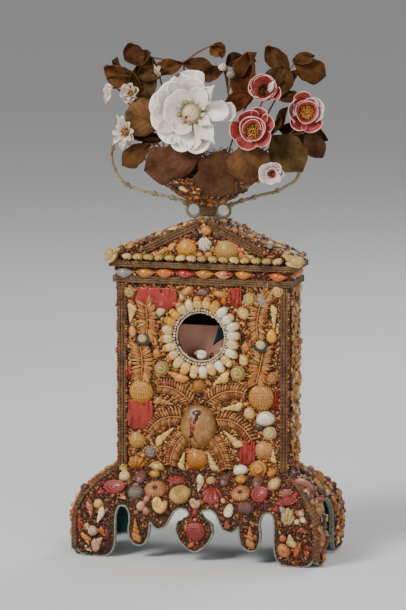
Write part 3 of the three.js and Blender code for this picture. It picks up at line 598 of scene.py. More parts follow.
class Finish:
    """Shared node work for the finishes."""

    def __init__(self, name: str) -> None:
        """Starts a material with its shader.

        Args:
            name: The material's name.
        """
        self.material = bpy.data.materials.new(name)
        self.material.use_nodes = True
        self.tree = self.material.node_tree
        self.shader = self.tree.nodes["Principled BSDF"]
        self.coordinates = self.tree.nodes.new("ShaderNodeTexCoord")

    def put(self, kind: str, props: dict | None = None, **inputs: object) -> bpy.types.Node:
        """Adds a node.

        Args:
            kind: Node type without its prefix.
            props: Node properties.
            inputs: Values or output sockets for its inputs, an underscore for a space.

        Returns:
            The node.
        """
        node = self.tree.nodes.new("ShaderNode" + kind)
        for key, value in (props or {}).items():
            setattr(node, key, value)
        for key, value in inputs.items():
            socket = node.inputs[int(key[1:])] if key[1:].isdigit() else node.inputs[key.replace("_", " ")]
            if isinstance(value, bpy.types.NodeSocket):
                self.tree.links.new(value, socket)
            else:
                socket.default_value = value
        return node

    def along(self) -> bpy.types.bpy_prop_collection:
        """The two surface coordinates of the piece, as sockets."""
        layer = self.put("UVMap", {"uv_map": "along"}).outputs[0]
        return self.put("SeparateXYZ", Vector=layer).outputs

    def tint(self) -> bpy.types.NodeSocket:
        """The colour that each copy was given, times its form's shade, which holds pattern and painted shade."""
        return self.put("Attribute", {"attribute_name": "tint"}).outputs["Color"]

    def stained(self, colour: object, stain: object, share: float) -> bpy.types.NodeSocket:
        """A colour multiplied by a stain, to a share."""
        return self.mix(share, colour, self.mix(1.0, colour, stain, "MULTIPLY"))

    def noise(self, scale: float, detail: float = 3.0, rough: float = 0.6) -> bpy.types.NodeSocket:
        """A noise over the object, scale in features for each metre."""
        node = self.put("TexNoise", Vector=self.coordinates.outputs["Object"], Scale=scale, Detail=detail)
        node.inputs["Roughness"].default_value = rough
        return node.outputs["Fac"]

    def math(self, operation: str, a: object, b: object = 0.0, c: object = 0.0) -> bpy.types.NodeSocket:
        """A math node on up to three values."""
        return self.put("Math", {"operation": operation}, _0=a, _1=b, _2=c).outputs[0]

    def ramp(self, factor: bpy.types.NodeSocket,
             stops: Sequence[tuple[float, tuple]]) -> bpy.types.NodeSocket:
        """A colour ramp with the given stops."""
        node = self.put("ValToRGB", Fac=factor)
        line = node.color_ramp.elements
        while len(line) < len(stops):
            line.new(0.5)
        for element, (place, colour) in zip(line, stops):
            element.position = place
            element.color = (*colour[:3], 1.0)
        return node.outputs["Color"]

    def mix(self, factor: object, a: object, b: object, blend: str = "MIX") -> bpy.types.NodeSocket:
        """Two colours mixed."""
        node = self.put("Mix", {"data_type": "RGBA", "blend_type": blend})
        for socket, value in zip((node.inputs[0], node.inputs[6], node.inputs[7]), (factor, a, b)):
            if isinstance(value, bpy.types.NodeSocket):
                self.tree.links.new(value, socket)
            elif isinstance(value, tuple):
                socket.default_value = (*value[:3], 1.0)
            else:
                socket.default_value = value
        return node.outputs[2]

    def grey(self, factor: bpy.types.NodeSocket, low: float, high: float) -> bpy.types.NodeSocket:
        """A value stretched to a range."""
        return self.put("MapRange", Value=factor, _3=low, _4=high).outputs[0]

    def relief(self, height: object, distance: float, strength: float = 1.0, over: object = None) -> object:
        """A bump, distance in metres, over another bump."""
        node = self.put("Bump", Height=height, Distance=distance, Strength=strength)
        if over is not None:
            self.tree.links.new(over, node.inputs["Normal"])
        return node.outputs["Normal"]

    def close(self, colour: object, normal: object = None, rough: object = 0.6,
              **fixed: float) -> bpy.types.Material:
        """Connects the shader.

        Args:
            colour: Colour socket or colour.
            normal: Bump socket.
            rough: Roughness socket or value.
            fixed: Constant shader inputs, an underscore for a space.

        Returns:
            The material.
        """
        for key, value in {"Base_Color": colour, "Normal": normal, "Roughness": rough, **fixed}.items():
            socket = self.shader.inputs[key.replace("_", " ")]
            if isinstance(value, bpy.types.NodeSocket):
                self.tree.links.new(value, socket)
            elif isinstance(value, tuple):
                socket.default_value = (*value[:3], 1.0)
            elif value is not None:
                socket.default_value = value
        return self.material


@dataclass(frozen=True)
class ShellFinish:
    """Old glued shell: its own tint, which carries the form's pattern and painted shade, mottled, with growth
    lines and specks of grit.
    """

    name: str
    gloss: float = 0.42
    lines: float = 9.0
    mottling: float = 0.8
    grain: float = 0.00012
    coat: float = 0.25
    patches: float = 0.0
    tone: Triple = (1.0, 1.0, 1.0)

    def broad(self, factors: Triple) -> Triple:
        """The colour of one kind of broad patch, from the tone of the whole."""
        return tuple(a * b for a, b in zip(self.tone, factors))

    def material(self) -> bpy.types.Material:
        """The finish as a material."""
        work = Finish(self.name)
        tint = work.tint()
        if self.patches:
            brown, pale = self.broad((0.8, 0.66, 0.48)), self.broad((1.12, 1.28, 1.3))
            cloud = work.ramp(work.noise(110.0, 3.0), [(0.36, brown), (0.5, self.tone), (0.64, pale)])
            tint = work.stained(tint, cloud, self.patches)
        along = work.along()
        wobble = work.noise(260.0)
        ring = work.math("SINE", work.math("MULTIPLY_ADD", along[1], self.lines * TURN,
                                           work.math("MULTIPLY", wobble, 6.0)))
        blotch = work.ramp(work.noise(520.0, 4.0, 0.65),
                           [(0.3, (0.55, 0.42, 0.32)), (0.5, (0.96, 0.93, 0.88)), (0.72, (1.2, 1.16, 1.06))])
        colour = work.stained(tint, blotch, self.mottling)
        banded = work.mix(work.grey(ring, 0.0, 0.3), colour,
                          work.mix(1.0, colour, (0.42, 0.3, 0.2), "MULTIPLY"))
        grit = work.ramp(work.noise(1500.0, 2.0), [(0.32, (0.3, 0.17, 0.1)), (0.44, (1.0, 1.0, 1.0))])
        colour = work.stained(banded, grit, 0.5)
        fine = work.relief(work.noise(2200.0, 3.0), self.grain)
        normal = work.relief(ring, 0.00015, 0.7, fine)
        rough = work.grey(work.noise(700.0), self.gloss - 0.12, self.gloss + 0.2)
        return work.close(colour, normal, rough, Specular_IOR_Level=0.5, Subsurface_Weight=0.12,
                          Subsurface_Scale=0.0012, Coat_Weight=self.coat, Coat_Roughness=0.18)


@dataclass(frozen=True)
class PaperFinish:
    """Old paper or board, fibrous and stained, with another colour on the side away from a direction: a teal
    lining on the base boards, painted shade inside the case back.
    """

    name: str
    colour: Triple
    stain: Triple
    inner_colour: Triple | None = None
    outwards: Triple = (0.0, 0.0, 0.0)

    def material(self) -> bpy.types.Material:
        """The finish as a material."""
        work = Finish(self.name)
        cloud = work.noise(60.0, 5.0, 0.65)
        fibre = work.noise(1600.0, 4.0, 0.7)
        base = work.ramp(cloud, [(0.32, self.stain), (0.62, self.colour)])
        speck = work.ramp(fibre, [(0.34, (0.55, 0.5, 0.45)), (0.55, (1.0, 1.0, 1.0)),
                                  (0.72, (1.2, 1.18, 1.12))])
        colour = work.stained(base, speck, 0.75)
        if self.inner_colour:
            inner_side = work.stained(self.inner_colour, speck, 0.6)
            facing = work.put(
                "VectorMath", {"operation": "DOT_PRODUCT"}, _0=work.coordinates.outputs["Normal"],
                _1=self.outwards
            ).outputs["Value"]
            colour = work.mix(work.math("GREATER_THAN", facing, 0.05), inner_side, colour)
        return work.close(colour, work.relief(fibre, 0.0002, 0.8), work.grey(cloud, 0.7, 0.95),
                          Specular_IOR_Level=0.25)


@dataclass(frozen=True)
class WovenFinish:
    """Ribbon or thread: fine weave across the piece, from its surface coordinates in millimetres."""

    name: str
    colour: Triple
    faded: Triple
    pitch: float = 0.6
    slant: float = 0.0

    def material(self) -> bpy.types.Material:
        """The finish as a material."""
        work = Finish(self.name)
        along = work.along()
        slanted = work.math("MULTIPLY_ADD", along[0], self.slant, along[1])
        thread = work.math("SINE", work.math("MULTIPLY", slanted, TURN / self.pitch))
        patch = work.ramp(work.noise(90.0, 4.0), [(0.36, self.colour), (0.64, self.faded)])
        # Painted shade: the grooves between threads are darkened, on the same wave as the bump.
        colour = work.mix(work.grey(thread, 0.55, 0.0), patch, tuple(c * 0.4 for c in self.colour))
        soil = work.ramp(work.noise(420.0, 4.0), [(0.36, (0.5, 0.42, 0.33)), (0.52, (1.0, 1.0, 1.0))])
        colour = work.stained(colour, soil, 0.7)
        normal = work.relief(thread, 0.0001, 0.8, work.relief(work.noise(3000.0), 0.0001, 0.5))
        return work.close(colour, normal, 0.7, Sheen_Weight=0.06, Sheen_Roughness=0.5,
                          Specular_IOR_Level=0.35)


@dataclass(frozen=True)
class LeafFinish:
    """Worn velvet leaf: piled brown cloth with pressed veins, paler where the pile is rubbed."""

    name: str
    colour: Triple
    worn: Triple

    def material(self) -> bpy.types.Material:
        """The finish as a material."""
        work = Finish(self.name)
        along = work.along()
        side = work.math("ABSOLUTE", work.math("MULTIPLY_ADD", along[0], 2.0, -1.0))
        rib = work.put("MapRange", Value=side, _1=0.0, _2=0.07, _3=0.0, _4=1.0).outputs[0]
        slope = work.math("MULTIPLY_ADD", side, -0.42, along[1])
        vein = work.math("POWER", work.math("ABSOLUTE",
                                            work.math("SINE", work.math("MULTIPLY", slope, 19.0))), 0.35)
        crease = work.math("MINIMUM", rib, vein)
        tint = work.tint()
        patch = work.ramp(work.noise(75.0, 5.0, 0.62), [(0.34, self.colour), (0.6, self.worn)])
        patch = work.mix(1.0, patch, tint, "MULTIPLY")
        pile = work.ramp(work.noise(2600.0, 3.0), [(0.35, (0.62, 0.58, 0.55)), (0.6, (1.12, 1.1, 1.08))])
        patch = work.stained(patch, pile, 0.8)
        # Painted shade: the pressed veins and midrib are darkened, on the same creases as the bump.
        colour = work.mix(work.grey(crease, 0.42, 0.0), patch, (0.05, 0.02, 0.01))
        normal = work.relief(crease, 0.0003, 0.6, work.relief(work.noise(1800.0, 4.0), 0.0002, 0.9))
        return work.close(colour, normal, 0.92, Sheen_Weight=0.03, Sheen_Roughness=0.4,
                          Specular_IOR_Level=0.08)


@dataclass(frozen=True)
class PetalFinish:
    """Shell petal: smooth, with fine growth lines and a rim of another colour."""

    name: str
    heart: Triple
    colour: Triple
    rim: Triple
    rim_width: float = 0.12

    def material(self) -> bpy.types.Material:
        """The finish as a material."""
        work = Finish(self.name)
        along = work.along()
        side = work.math("ABSOLUTE", work.math("MULTIPLY_ADD", along[0], 2.0, -1.0))
        edge = work.math("MAXIMUM", side, work.math("MULTIPLY_ADD", along[1], 1.0, 0.0))
        start = 1.0 - self.rim_width
        wavy = work.math("MULTIPLY_ADD", work.noise(300.0), 0.05, work.math("SUBTRACT", edge, 0.025))
        body = work.ramp(along[1], [(0.05, self.heart), (0.55, self.colour)])
        cloud = work.ramp(work.noise(230.0, 4.0), [(0.3, (0.84, 0.8, 0.79)), (0.62, (1.08, 1.06, 1.05))])
        body = work.stained(body, cloud, 0.8)
        band = work.put("MapRange", Value=wavy, _1=start - 0.03, _2=start + 0.02, _3=0.0, _4=1.0).outputs[0]
        colour = work.mix(band, body, self.rim)
        lines = work.math("SINE", work.math("MULTIPLY", along[1], 70.0))
        normal = work.relief(lines, 0.00005, 0.6, work.relief(work.noise(900.0), 0.00012, 0.5))
        return work.close(colour, normal, 0.38, Subsurface_Weight=0.08, Subsurface_Scale=0.002,
                          Specular_IOR_Level=0.5)


class Heap:
    """Copies of forms, gathered into one piece."""

    def __init__(self, name: str, seed: int = 1) -> None:
        """Starts an empty heap.

        Args:
            name: The piece's name.
            seed: Seed of its colour changes.
        """
        self.name = name
        self.chance = random.Random(seed)
        self.items: list[tuple[Form, np.ndarray, np.ndarray]] = []

    def add(
        self, form: Form, place: Matrix = AS_MODELLED, tint: Triple = (1, 1, 1), spread: float = 0.0
    ) -> None:
        """Adds one copy.

        Args:
            form: The form to copy.
            place: Where it goes, with its size.
            tint: Its colour.
            spread: How far its lightness may stray.
        """
        light = 1 + self.chance.uniform(-spread, spread)
        warm = 1 + self.chance.uniform(-spread, spread) * 0.3
        colour = np.array([tint[0] * light * warm, tint[1] * light, tint[2] * light / warm])
        self.items.append((form, np.array(place), colour))

    def build(self, material: bpy.types.Material, slot: str, *replaced: str) -> bpy.types.Object:
        """Makes the piece, with its own mesh, and lets it ride on the stand.

        Args:
            material: Its finish.
            slot: The record's material slot. Not used.
            replaced: Solids that it stands for.

        Returns:
            The piece.
        """
        points, corners, starts, tints, alongs = [], [], [], [], []
        offset = loops = 0
        for form, place, colour in self.items:
            points.append(form.points @ place[:3, :3].T + place[:3, 3])
            corners.append(form.corners + offset)
            starts.append(form.starts + loops)
            # Each corner's colour is the copy's tint times the form's shade, which holds pattern and painted
            # shade.
            tints.append(form.shade[:, None] * colour[None, :])
            alongs.append(form.along[form.corners])
            offset += len(form.points)
            loops += len(form.corners)
        mesh = bpy.data.meshes.new(self.name)
        mesh.vertices.add(offset)
        mesh.vertices.foreach_set("co", np.concatenate(points).astype(np.float32).ravel())
        mesh.loops.add(loops)
        mesh.loops.foreach_set("vertex_index", np.concatenate(corners).astype(np.int32))
        first = np.concatenate(starts).astype(np.int32)
        mesh.polygons.add(len(first))
        mesh.polygons.foreach_set("loop_start", first)
        mesh.update(calc_edges=True)
        mesh.polygons.foreach_set("use_smooth", np.ones(len(first), bool))
        colours = np.ones((offset, 4), np.float32)
        colours[:, :3] = np.clip(np.concatenate(tints), 0.0, 1.0)
        mesh.attributes.new("tint", "FLOAT_COLOR", "POINT").data.foreach_set("color", colours.ravel())
        layer = mesh.uv_layers.new(name="along")
        layer.data.foreach_set("uv", np.concatenate(alongs).astype(np.float32).ravel())
        mesh.validate()
        obj = bpy.data.objects.new(self.name, mesh)
        bpy.context.scene.collection.objects.link(obj)
        obj.data.materials.append(material)
        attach(obj, "root")
        if replaced:
            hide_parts(*replaced)
        LOG.info("%s: %d copies, %d faces", self.name, len(self.items), len(first))
        return obj


def sweep(
    path: Sequence[Vector],
    section: Callable[[float, float], Pair],
    sides: int,
    facing: Vector | None = None,
    closed: bool = False,
) -> Form:
    """A section carried along a path.

    Args:
        path: Points of the path, in metres.
        section: Gives a section point from the length so far in millimetres and the turn, in metres.
        sides: Points of a section.
        facing: Fixed second direction of the section, or None to follow the path.
        closed: Whether the path closes on itself.

    Returns:
        The swept form, in metres, its surface coordinates in millimetres.
    """
    count = len(path)
    points, along = [], []
    reach = 0.0
    side = None
    for i, at in enumerate(path):
        before = path[i - 1] if i or closed else at
        after = path[(i + 1) % count] if i + 1 < count or closed else at
        ahead = (after - before).normalized()
        if i:
            reach += (at - path[i - 1]).length / MM
        if facing is not None:
            second = (facing - ahead * facing.dot(ahead)).normalized()
        elif side is None:
            guide = UP if abs(ahead.z) < 0.9 else FRONT
            second = (guide - ahead * guide.dot(ahead)).normalized()
        else:
            second = (side - ahead * side.dot(ahead)).normalized()
        side = second
        first = second.cross(ahead)
        for j in range(sides):
            turn = 2 * math.pi * j / sides
            a, b = section(reach, turn)
            points.append(tuple(at + first * a + second * b))
            along.append((j / sides, reach))
    faces = []
    for i in range(count if closed else count - 1):
        row, after = i * sides, ((i + 1) % count) * sides
        for j in range(sides):
            k = (j + 1) % sides
            faces.append((row + j, row + k, after + k, after + j))
    if not closed:
        faces.append(tuple(range(sides - 1, -1, -1)))
        faces.append(tuple(range((count - 1) * sides, count * sides)))
    return Form.of(points, faces, [1.0] * len(points), along)


def sized(width: float, height: float, depth: float) -> Matrix:
    """A size in millimetres, as a matrix."""
    return Matrix.Diagonal((width * MM, height * MM, depth * MM, 1))


def smooth_path(points: Sequence[Sequence[float]], step: float) -> list[Vector]:
    """A smooth line through points.

    Args:
        points: Points in millimetres.
        step: Distance between points of the line, in millimetres.

    Returns:
        The line in metres.
    """
    knots = [Vector(p) for p in points]
    knots = [knots[0] * 2 - knots[1], *knots, knots[-1] * 2 - knots[-2]]
    line = []
    for a, b, c, d in zip(knots, knots[1:], knots[2:], knots[3:]):
        count = max(1, round((c - b).length / step))
        for i in range(count):
            t = i / count
            line.append(
                (b * 2 + (c - a) * t + (a * 2 - b * 5 + c * 4 - d) * t * t
                 + (b * 3 - a - c * 3 + d) * t ** 3) * 0.5 * MM
            )
    return [*line, knots[-2] * MM]


def round_section(radius: float, flat: float = 1.0) -> Callable[[float, float], Pair]:
    """A round or flattened section.

    Args:
        radius: Half the width, in millimetres.
        flat: Thickness against width.

    Returns:
        The section.
    """
    return lambda reach, turn: (radius * MM * math.cos(turn), radius * MM * flat * math.sin(turn))


@dataclass(frozen=True)
class PhotoView:
    """The camera of the photograph, fitted to the stand's feet, case and bouquet."""

    azimuth: float = 14.3
    elevation: float = 9.0
    distance: float = 3.388
    focal: float = 3850.0
    target: Triple = (-0.005, 0.0, 0.2195)
    frame: tuple[int, int] = (406, 610)

    def back(self) -> Vector:
        """Direction from the target to the camera."""
        turn, rise = math.radians(self.azimuth), math.radians(self.elevation)
        return Vector((math.sin(turn) * math.cos(rise), -math.cos(turn) * math.cos(rise), math.sin(rise)))

    def eye(self) -> Vector:
        """Where the camera stands."""
        return Vector(self.target) + self.back() * self.distance

    def ray(self, column: float, row: float) -> Vector:
        """Direction from the camera through a place in the picture."""
        ahead = -self.back()
        right = ahead.cross(UP).normalized()
        upward = right.cross(ahead)
        return (
            ahead * self.focal + right * (column - self.frame[0] / 2) + upward * (self.frame[1] / 2 - row)
        ).normalized()

    def scale(self, at: Vector) -> float:
        """Metres for each picture unit at a place."""
        return (self.eye() - at).dot(self.back()) / self.focal

    def make(self) -> None:
        """Sets the scene's camera."""
        data = bpy.data.cameras.new("photo_camera")
        data.sensor_fit = "VERTICAL"
        data.sensor_height = 36.0
        data.lens = self.focal / self.frame[1] * data.sensor_height
        data.clip_end = 20.0
        camera = bpy.data.objects.new("photo_camera", data)
        bpy.context.scene.collection.objects.link(camera)
        camera.location = self.eye()
        camera.rotation_euler = (-self.back()).to_track_quat("-Z", "Y").to_euler()
        bpy.context.scene.camera = camera


class Carrier:
    """The faces of some solids, to glue shells on."""

    def __init__(
        self, nodes: Sequence[str], keep: Callable[[Vector, Vector], bool] = lambda centre, normal: True
    ) -> None:
        """Gathers the faces.

        Args:
            nodes: Names of the solids.
            keep: Says from a face's middle and normal whether it is one of the carrying faces.
        """
        self.points: list[Vector] = []
        self.faces: list[tuple[int, int, int]] = []
        for name in nodes:
            mesh = bpy.data.objects[name].data
            mesh.calc_loop_triangles()
            for face in mesh.loop_triangles:
                corners = [mesh.vertices[i].co.copy() for i in face.vertices]
                centre = sum(corners, Vector()) / 3
                if keep(centre, face.normal):
                    start = len(self.points)
                    self.points += corners
                    self.faces.append((start, start + 1, start + 2))
        self.tree = BVHTree.FromPolygons(self.points, self.faces)

    def hit(self, origin: Vector, direction: Vector) -> Seat | None:
        """The first place on the carrier along a ray, if there is one."""
        at, normal, _, _ = self.tree.ray_cast(origin, direction)
        if at is None:
            return None
        return Seat(at, normal if normal.dot(direction) < 0 else -normal)

    def strew(self, spacing: float, seed: int, tries: int = 9) -> list[Seat]:
        """Random seats all over the carrier, no two closer than a spacing.

        Args:
            spacing: Least distance in millimetres.
            seed: Seed of the places.
            tries: Darts thrown for each seat that there is room for.

        Returns:
            The seats.
        """
        chance = np.random.default_rng(seed)
        a, b, c = (np.array([self.points[f[i]] for f in self.faces]) for i in range(3))
        cross = np.cross(b - a, c - a)
        areas = np.linalg.norm(cross, axis=1) / 2
        count = int(areas.sum() / (spacing * MM) ** 2 * tries)
        chosen = chance.choice(len(areas), count, p=areas / areas.sum())
        u, v = chance.random((2, count))
        flip = u + v > 1
        u[flip], v[flip] = 1 - u[flip], 1 - v[flip]
        spots = a[chosen] + u[:, None] * (b - a)[chosen] + v[:, None] * (c - a)[chosen]
        cells: dict[tuple[int, int, int], list[int]] = {}
        pitch = spacing * MM
        kept: list[int] = []
        keys = np.floor(spots / pitch).astype(int)
        near = [(i, j, k) for i in (-1, 0, 1) for j in (-1, 0, 1) for k in (-1, 0, 1)]
        for n in range(count):
            x, y, z = keys[n]
            spot = spots[n]
            close = False
            for i, j, k in near:
                for m in cells.get((x + i, y + j, z + k), ()):
                    gap = spots[m] - spot
                    if gap @ gap < pitch * pitch:
                        close = True
                        break
                if close:
                    break
            if not close:
                cells.setdefault((x, y, z), []).append(n)
                kept.append(n)
        return [Seat(Vector(spots[n]), Vector(cross[chosen[n]]).normalized()) for n in kept]


@dataclass(frozen=True)
class Spot:
    """A shell seen in the photograph, by its middle and size in picture units.

    turn is in degrees anticlockwise from upright; depth is in millimetres, or half the size if None.
    """

    kind: Kind
    column: float
    row: float
    width: float
    height: float
    tint: Tint
    turn: float = 0.0
    depth: float | None = None
    lift: float = 0.0


COARSE = 0.55
SUNK = 0.15
CRUST_SPREAD = 0.25


class Shellwork:
    """Glues shells and gravel on carriers, in the places that the photograph shows."""

    def __init__(self, cabinet: Cabinet, view: PhotoView) -> None:
        """Keeps the shell forms and the camera that the places were read from.

        Args:
            cabinet: The shell forms.
            view: The photograph's camera.
        """
        self.cabinet = cabinet
        self.view = view
        self.small = Cabinet(COARSE)

    def glue(self, heap: Heap, seat: Seat, kind: Kind, size: Triple, tint: Tint, turn: float = 0.0,
             lift: float = 0.0, lean: float = 0.0, spread: float = 0.12, fine: bool = True) -> None:
        """Glues one shell on a seat.

        Args:
            heap: The piece that it belongs to.
            seat: Where it sits.
            kind: Its form.
            size: Width, height and depth in millimetres.
            tint: Its colour.
            turn: Degrees anticlockwise from upright.
            lift: Millimetres above the seat.
            lean: Degrees that its upper end is lifted.
            spread: How far its lightness may stray.
            fine: Whether it is one of the shells that are looked at closely.
        """
        raised = Seat(seat.at + seat.normal * lift * MM, seat.normal)
        place = raised.frame(turn, lean) @ sized(*size)
        forms = (self.cabinet if fine else self.small).forms
        heap.add(forms[kind], place, tint.rgb(), spread)

    def seen(self, heap: Heap, carrier: Carrier, spots: Iterable[Spot]) -> list[Seat]:
        """Glues shells where the photograph shows them.

        Args:
            heap: The piece that they belong to.
            carrier: What carries them.
            spots: The shells.

        Returns:
            Their seats.
        """
        seats = []
        for spot in spots:
            seat = carrier.hit(self.view.eye(), self.view.ray(spot.column, spot.row))
            if seat is None:
                LOG.warning("%s at %s, %s misses its carrier", spot.kind.value, spot.column, spot.row)
                continue
            unit = self.view.scale(seat.at) / MM
            depth = spot.depth or 0.5 * min(spot.width, spot.height) * unit
            size = (spot.width * unit, spot.height * unit, depth)
            self.glue(heap, seat, spot.kind, size, spot.tint, spot.turn, spot.lift)
            seats.append(seat)
        return seats

    def crust(self, heap: Heap, carrier: Carrier, spacing: float, size: Pair,
              mix: Sequence[tuple[Kind, Tint, float]], seed: int, tries: int = 9,
              free: Callable[[Seat], bool] = lambda seat: True) -> None:
        """Covers a carrier with small shells.

        Args:
            heap: The piece that they belong to.
            carrier: What carries them.
            spacing: Least distance between two, in millimetres.
            size: Smallest and largest size in millimetres.
            mix: Forms and tints with their weights.
            seed: Seed of the places and sizes.
            tries: Darts thrown for each seat.
            free: Says whether a seat may be used.
        """
        chance = random.Random(seed)
        weights = [weight for _, _, weight in mix]
        for seat in filter(free, carrier.strew(spacing, seed, tries)):
            kind, tint, _ = chance.choices(mix, weights)[0]
            width = chance.uniform(*size)
            length = width * chance.uniform(1.0, 1.5)
            depth = width * chance.uniform(0.45, 0.75)
            turn, lean = chance.uniform(0, 360), chance.uniform(-12, 12)
            self.glue(heap, seat, kind, (width, length, depth), tint, turn, -SUNK, lean, CRUST_SPREAD, False)

    def bead_line(self, heap: Heap, path: Sequence[Vector], out: Vector, pitch: float, kind: Kind,
                  size: Triple, tints: Sequence[Tint], across: bool = False) -> None:
        """Sets beads along a line.

        Args:
            heap: The piece that they belong to.
            path: The line, in metres.
            out: The way that the beads face.
            pitch: Distance between beads in millimetres.
            kind: Their form.
            size: Width, height and depth in millimetres.
            tints: Colours to pick from.
            across: Whether a bead's length lies across the line.
        """
        left = 0.0
        for a, b in zip(path, path[1:]):
            step = (b - a).length / MM
            ahead = (b - a).normalized()
            while left < step:
                seat = Seat(a + ahead * left * MM, out)
                base = seat.frame().to_3x3()
                local = base.transposed() @ ahead
                turn = math.degrees(math.atan2(-local.x, local.y)) + (90 if across else 0)
                self.glue(heap, seat, kind, size, heap.chance.choice(tints),
                          turn + heap.chance.uniform(-8, 8))
                left += pitch
            left -= step


GROUND = (
    (Kind.GRAVEL, Tint.DARK, 2.8),
    (Kind.GRAVEL, Tint.BROWN, 4.6),
    (Kind.RICE, Tint.BROWN, 2.4),
    (Kind.GRAVEL, Tint.RUST, 1.2),
    (Kind.RICE, Tint.TAN, 1.5),
    (Kind.RICE, Tint.HONEY, 0.5),
    (Kind.SEED, Tint.PALE_YELLOW, 0.2),
    (Kind.CHIP, Tint.RED, 0.9),
)
DARK_GROUND = (
    (Kind.GRAVEL, Tint.DARK, 4.4),
    (Kind.GRAVEL, Tint.BROWN, 4.0),
    (Kind.GRAVEL, Tint.PLUM, 1.6),
    (Kind.RICE, Tint.BROWN, 1.6),
    (Kind.GRAVEL, Tint.RUST, 1.0),
    (Kind.RICE, Tint.TAN, 1.0),
    (Kind.CHIP, Tint.RED, 1.0),
)
FRONT_GROUND = (
    (Kind.RICE, Tint.TAN, 3.4),
    (Kind.RICE, Tint.HONEY, 2.8),
    (Kind.RICE, Tint.PEACH, 1.2),
    (Kind.RICE, Tint.RUST, 1.8),
    (Kind.GRAVEL, Tint.BROWN, 3.7),
    (Kind.GRAVEL, Tint.DARK, 1.5),
    (Kind.SEED, Tint.PALE_YELLOW, 0.7),
    (Kind.CHIP, Tint.CORAL, 0.3),
)
SIDE_CRUST = (
    (Kind.OVAL, Tint.PALE_YELLOW, 1.4),
    (Kind.OVAL, Tint.TAN, 1.6),
    (Kind.TURRET, Tint.TAN, 1.6),
    (Kind.WHELK, Tint.OCHRE, 1.4),
    (Kind.SNAIL, Tint.TAN, 1.2),
    (Kind.WHELK, Tint.HONEY, 1.4),
    (Kind.TURRET, Tint.CREAM, 1.2),
    (Kind.WEDGE, Tint.ROSE, 0.3),
    (Kind.CHIP, Tint.BROWN, 1.2),
    (Kind.WEDGE, Tint.RUST, 0.6),
    (Kind.SNAIL, Tint.CREAM, 0.9),
)
BASE_CRUST = (
    (Kind.OVAL, Tint.TAN, 1.3),
    (Kind.OVAL, Tint.BROWN, 1.5),
    (Kind.TURRET, Tint.TAN, 1.2),
    (Kind.WHELK, Tint.OCHRE, 1.2),
    (Kind.WHELK, Tint.PALE_YELLOW, 0.9),
    (Kind.SNAIL, Tint.TAN, 1.0),
    (Kind.WEDGE, Tint.ROSE, 0.8),
    (Kind.CHIP, Tint.PLUM, 1.4),
    (Kind.WEDGE, Tint.RUST, 1.2),
    (Kind.CHIP, Tint.CORAL, 0.5),
)
ORANGE_CRUST = (
    (Kind.GRAVEL, Tint.ORANGE, 1.2),
    (Kind.RICE, Tint.HONEY, 1.5),
    (Kind.GRAVEL, Tint.OCHRE, 1.2),
    (Kind.GRAVEL, Tint.BROWN, 2.2),
    (Kind.RICE, Tint.RUST, 1.8),
    (Kind.GRAVEL, Tint.DARK, 1.4),
    (Kind.SEED, Tint.PALE_YELLOW, 0.4),
)


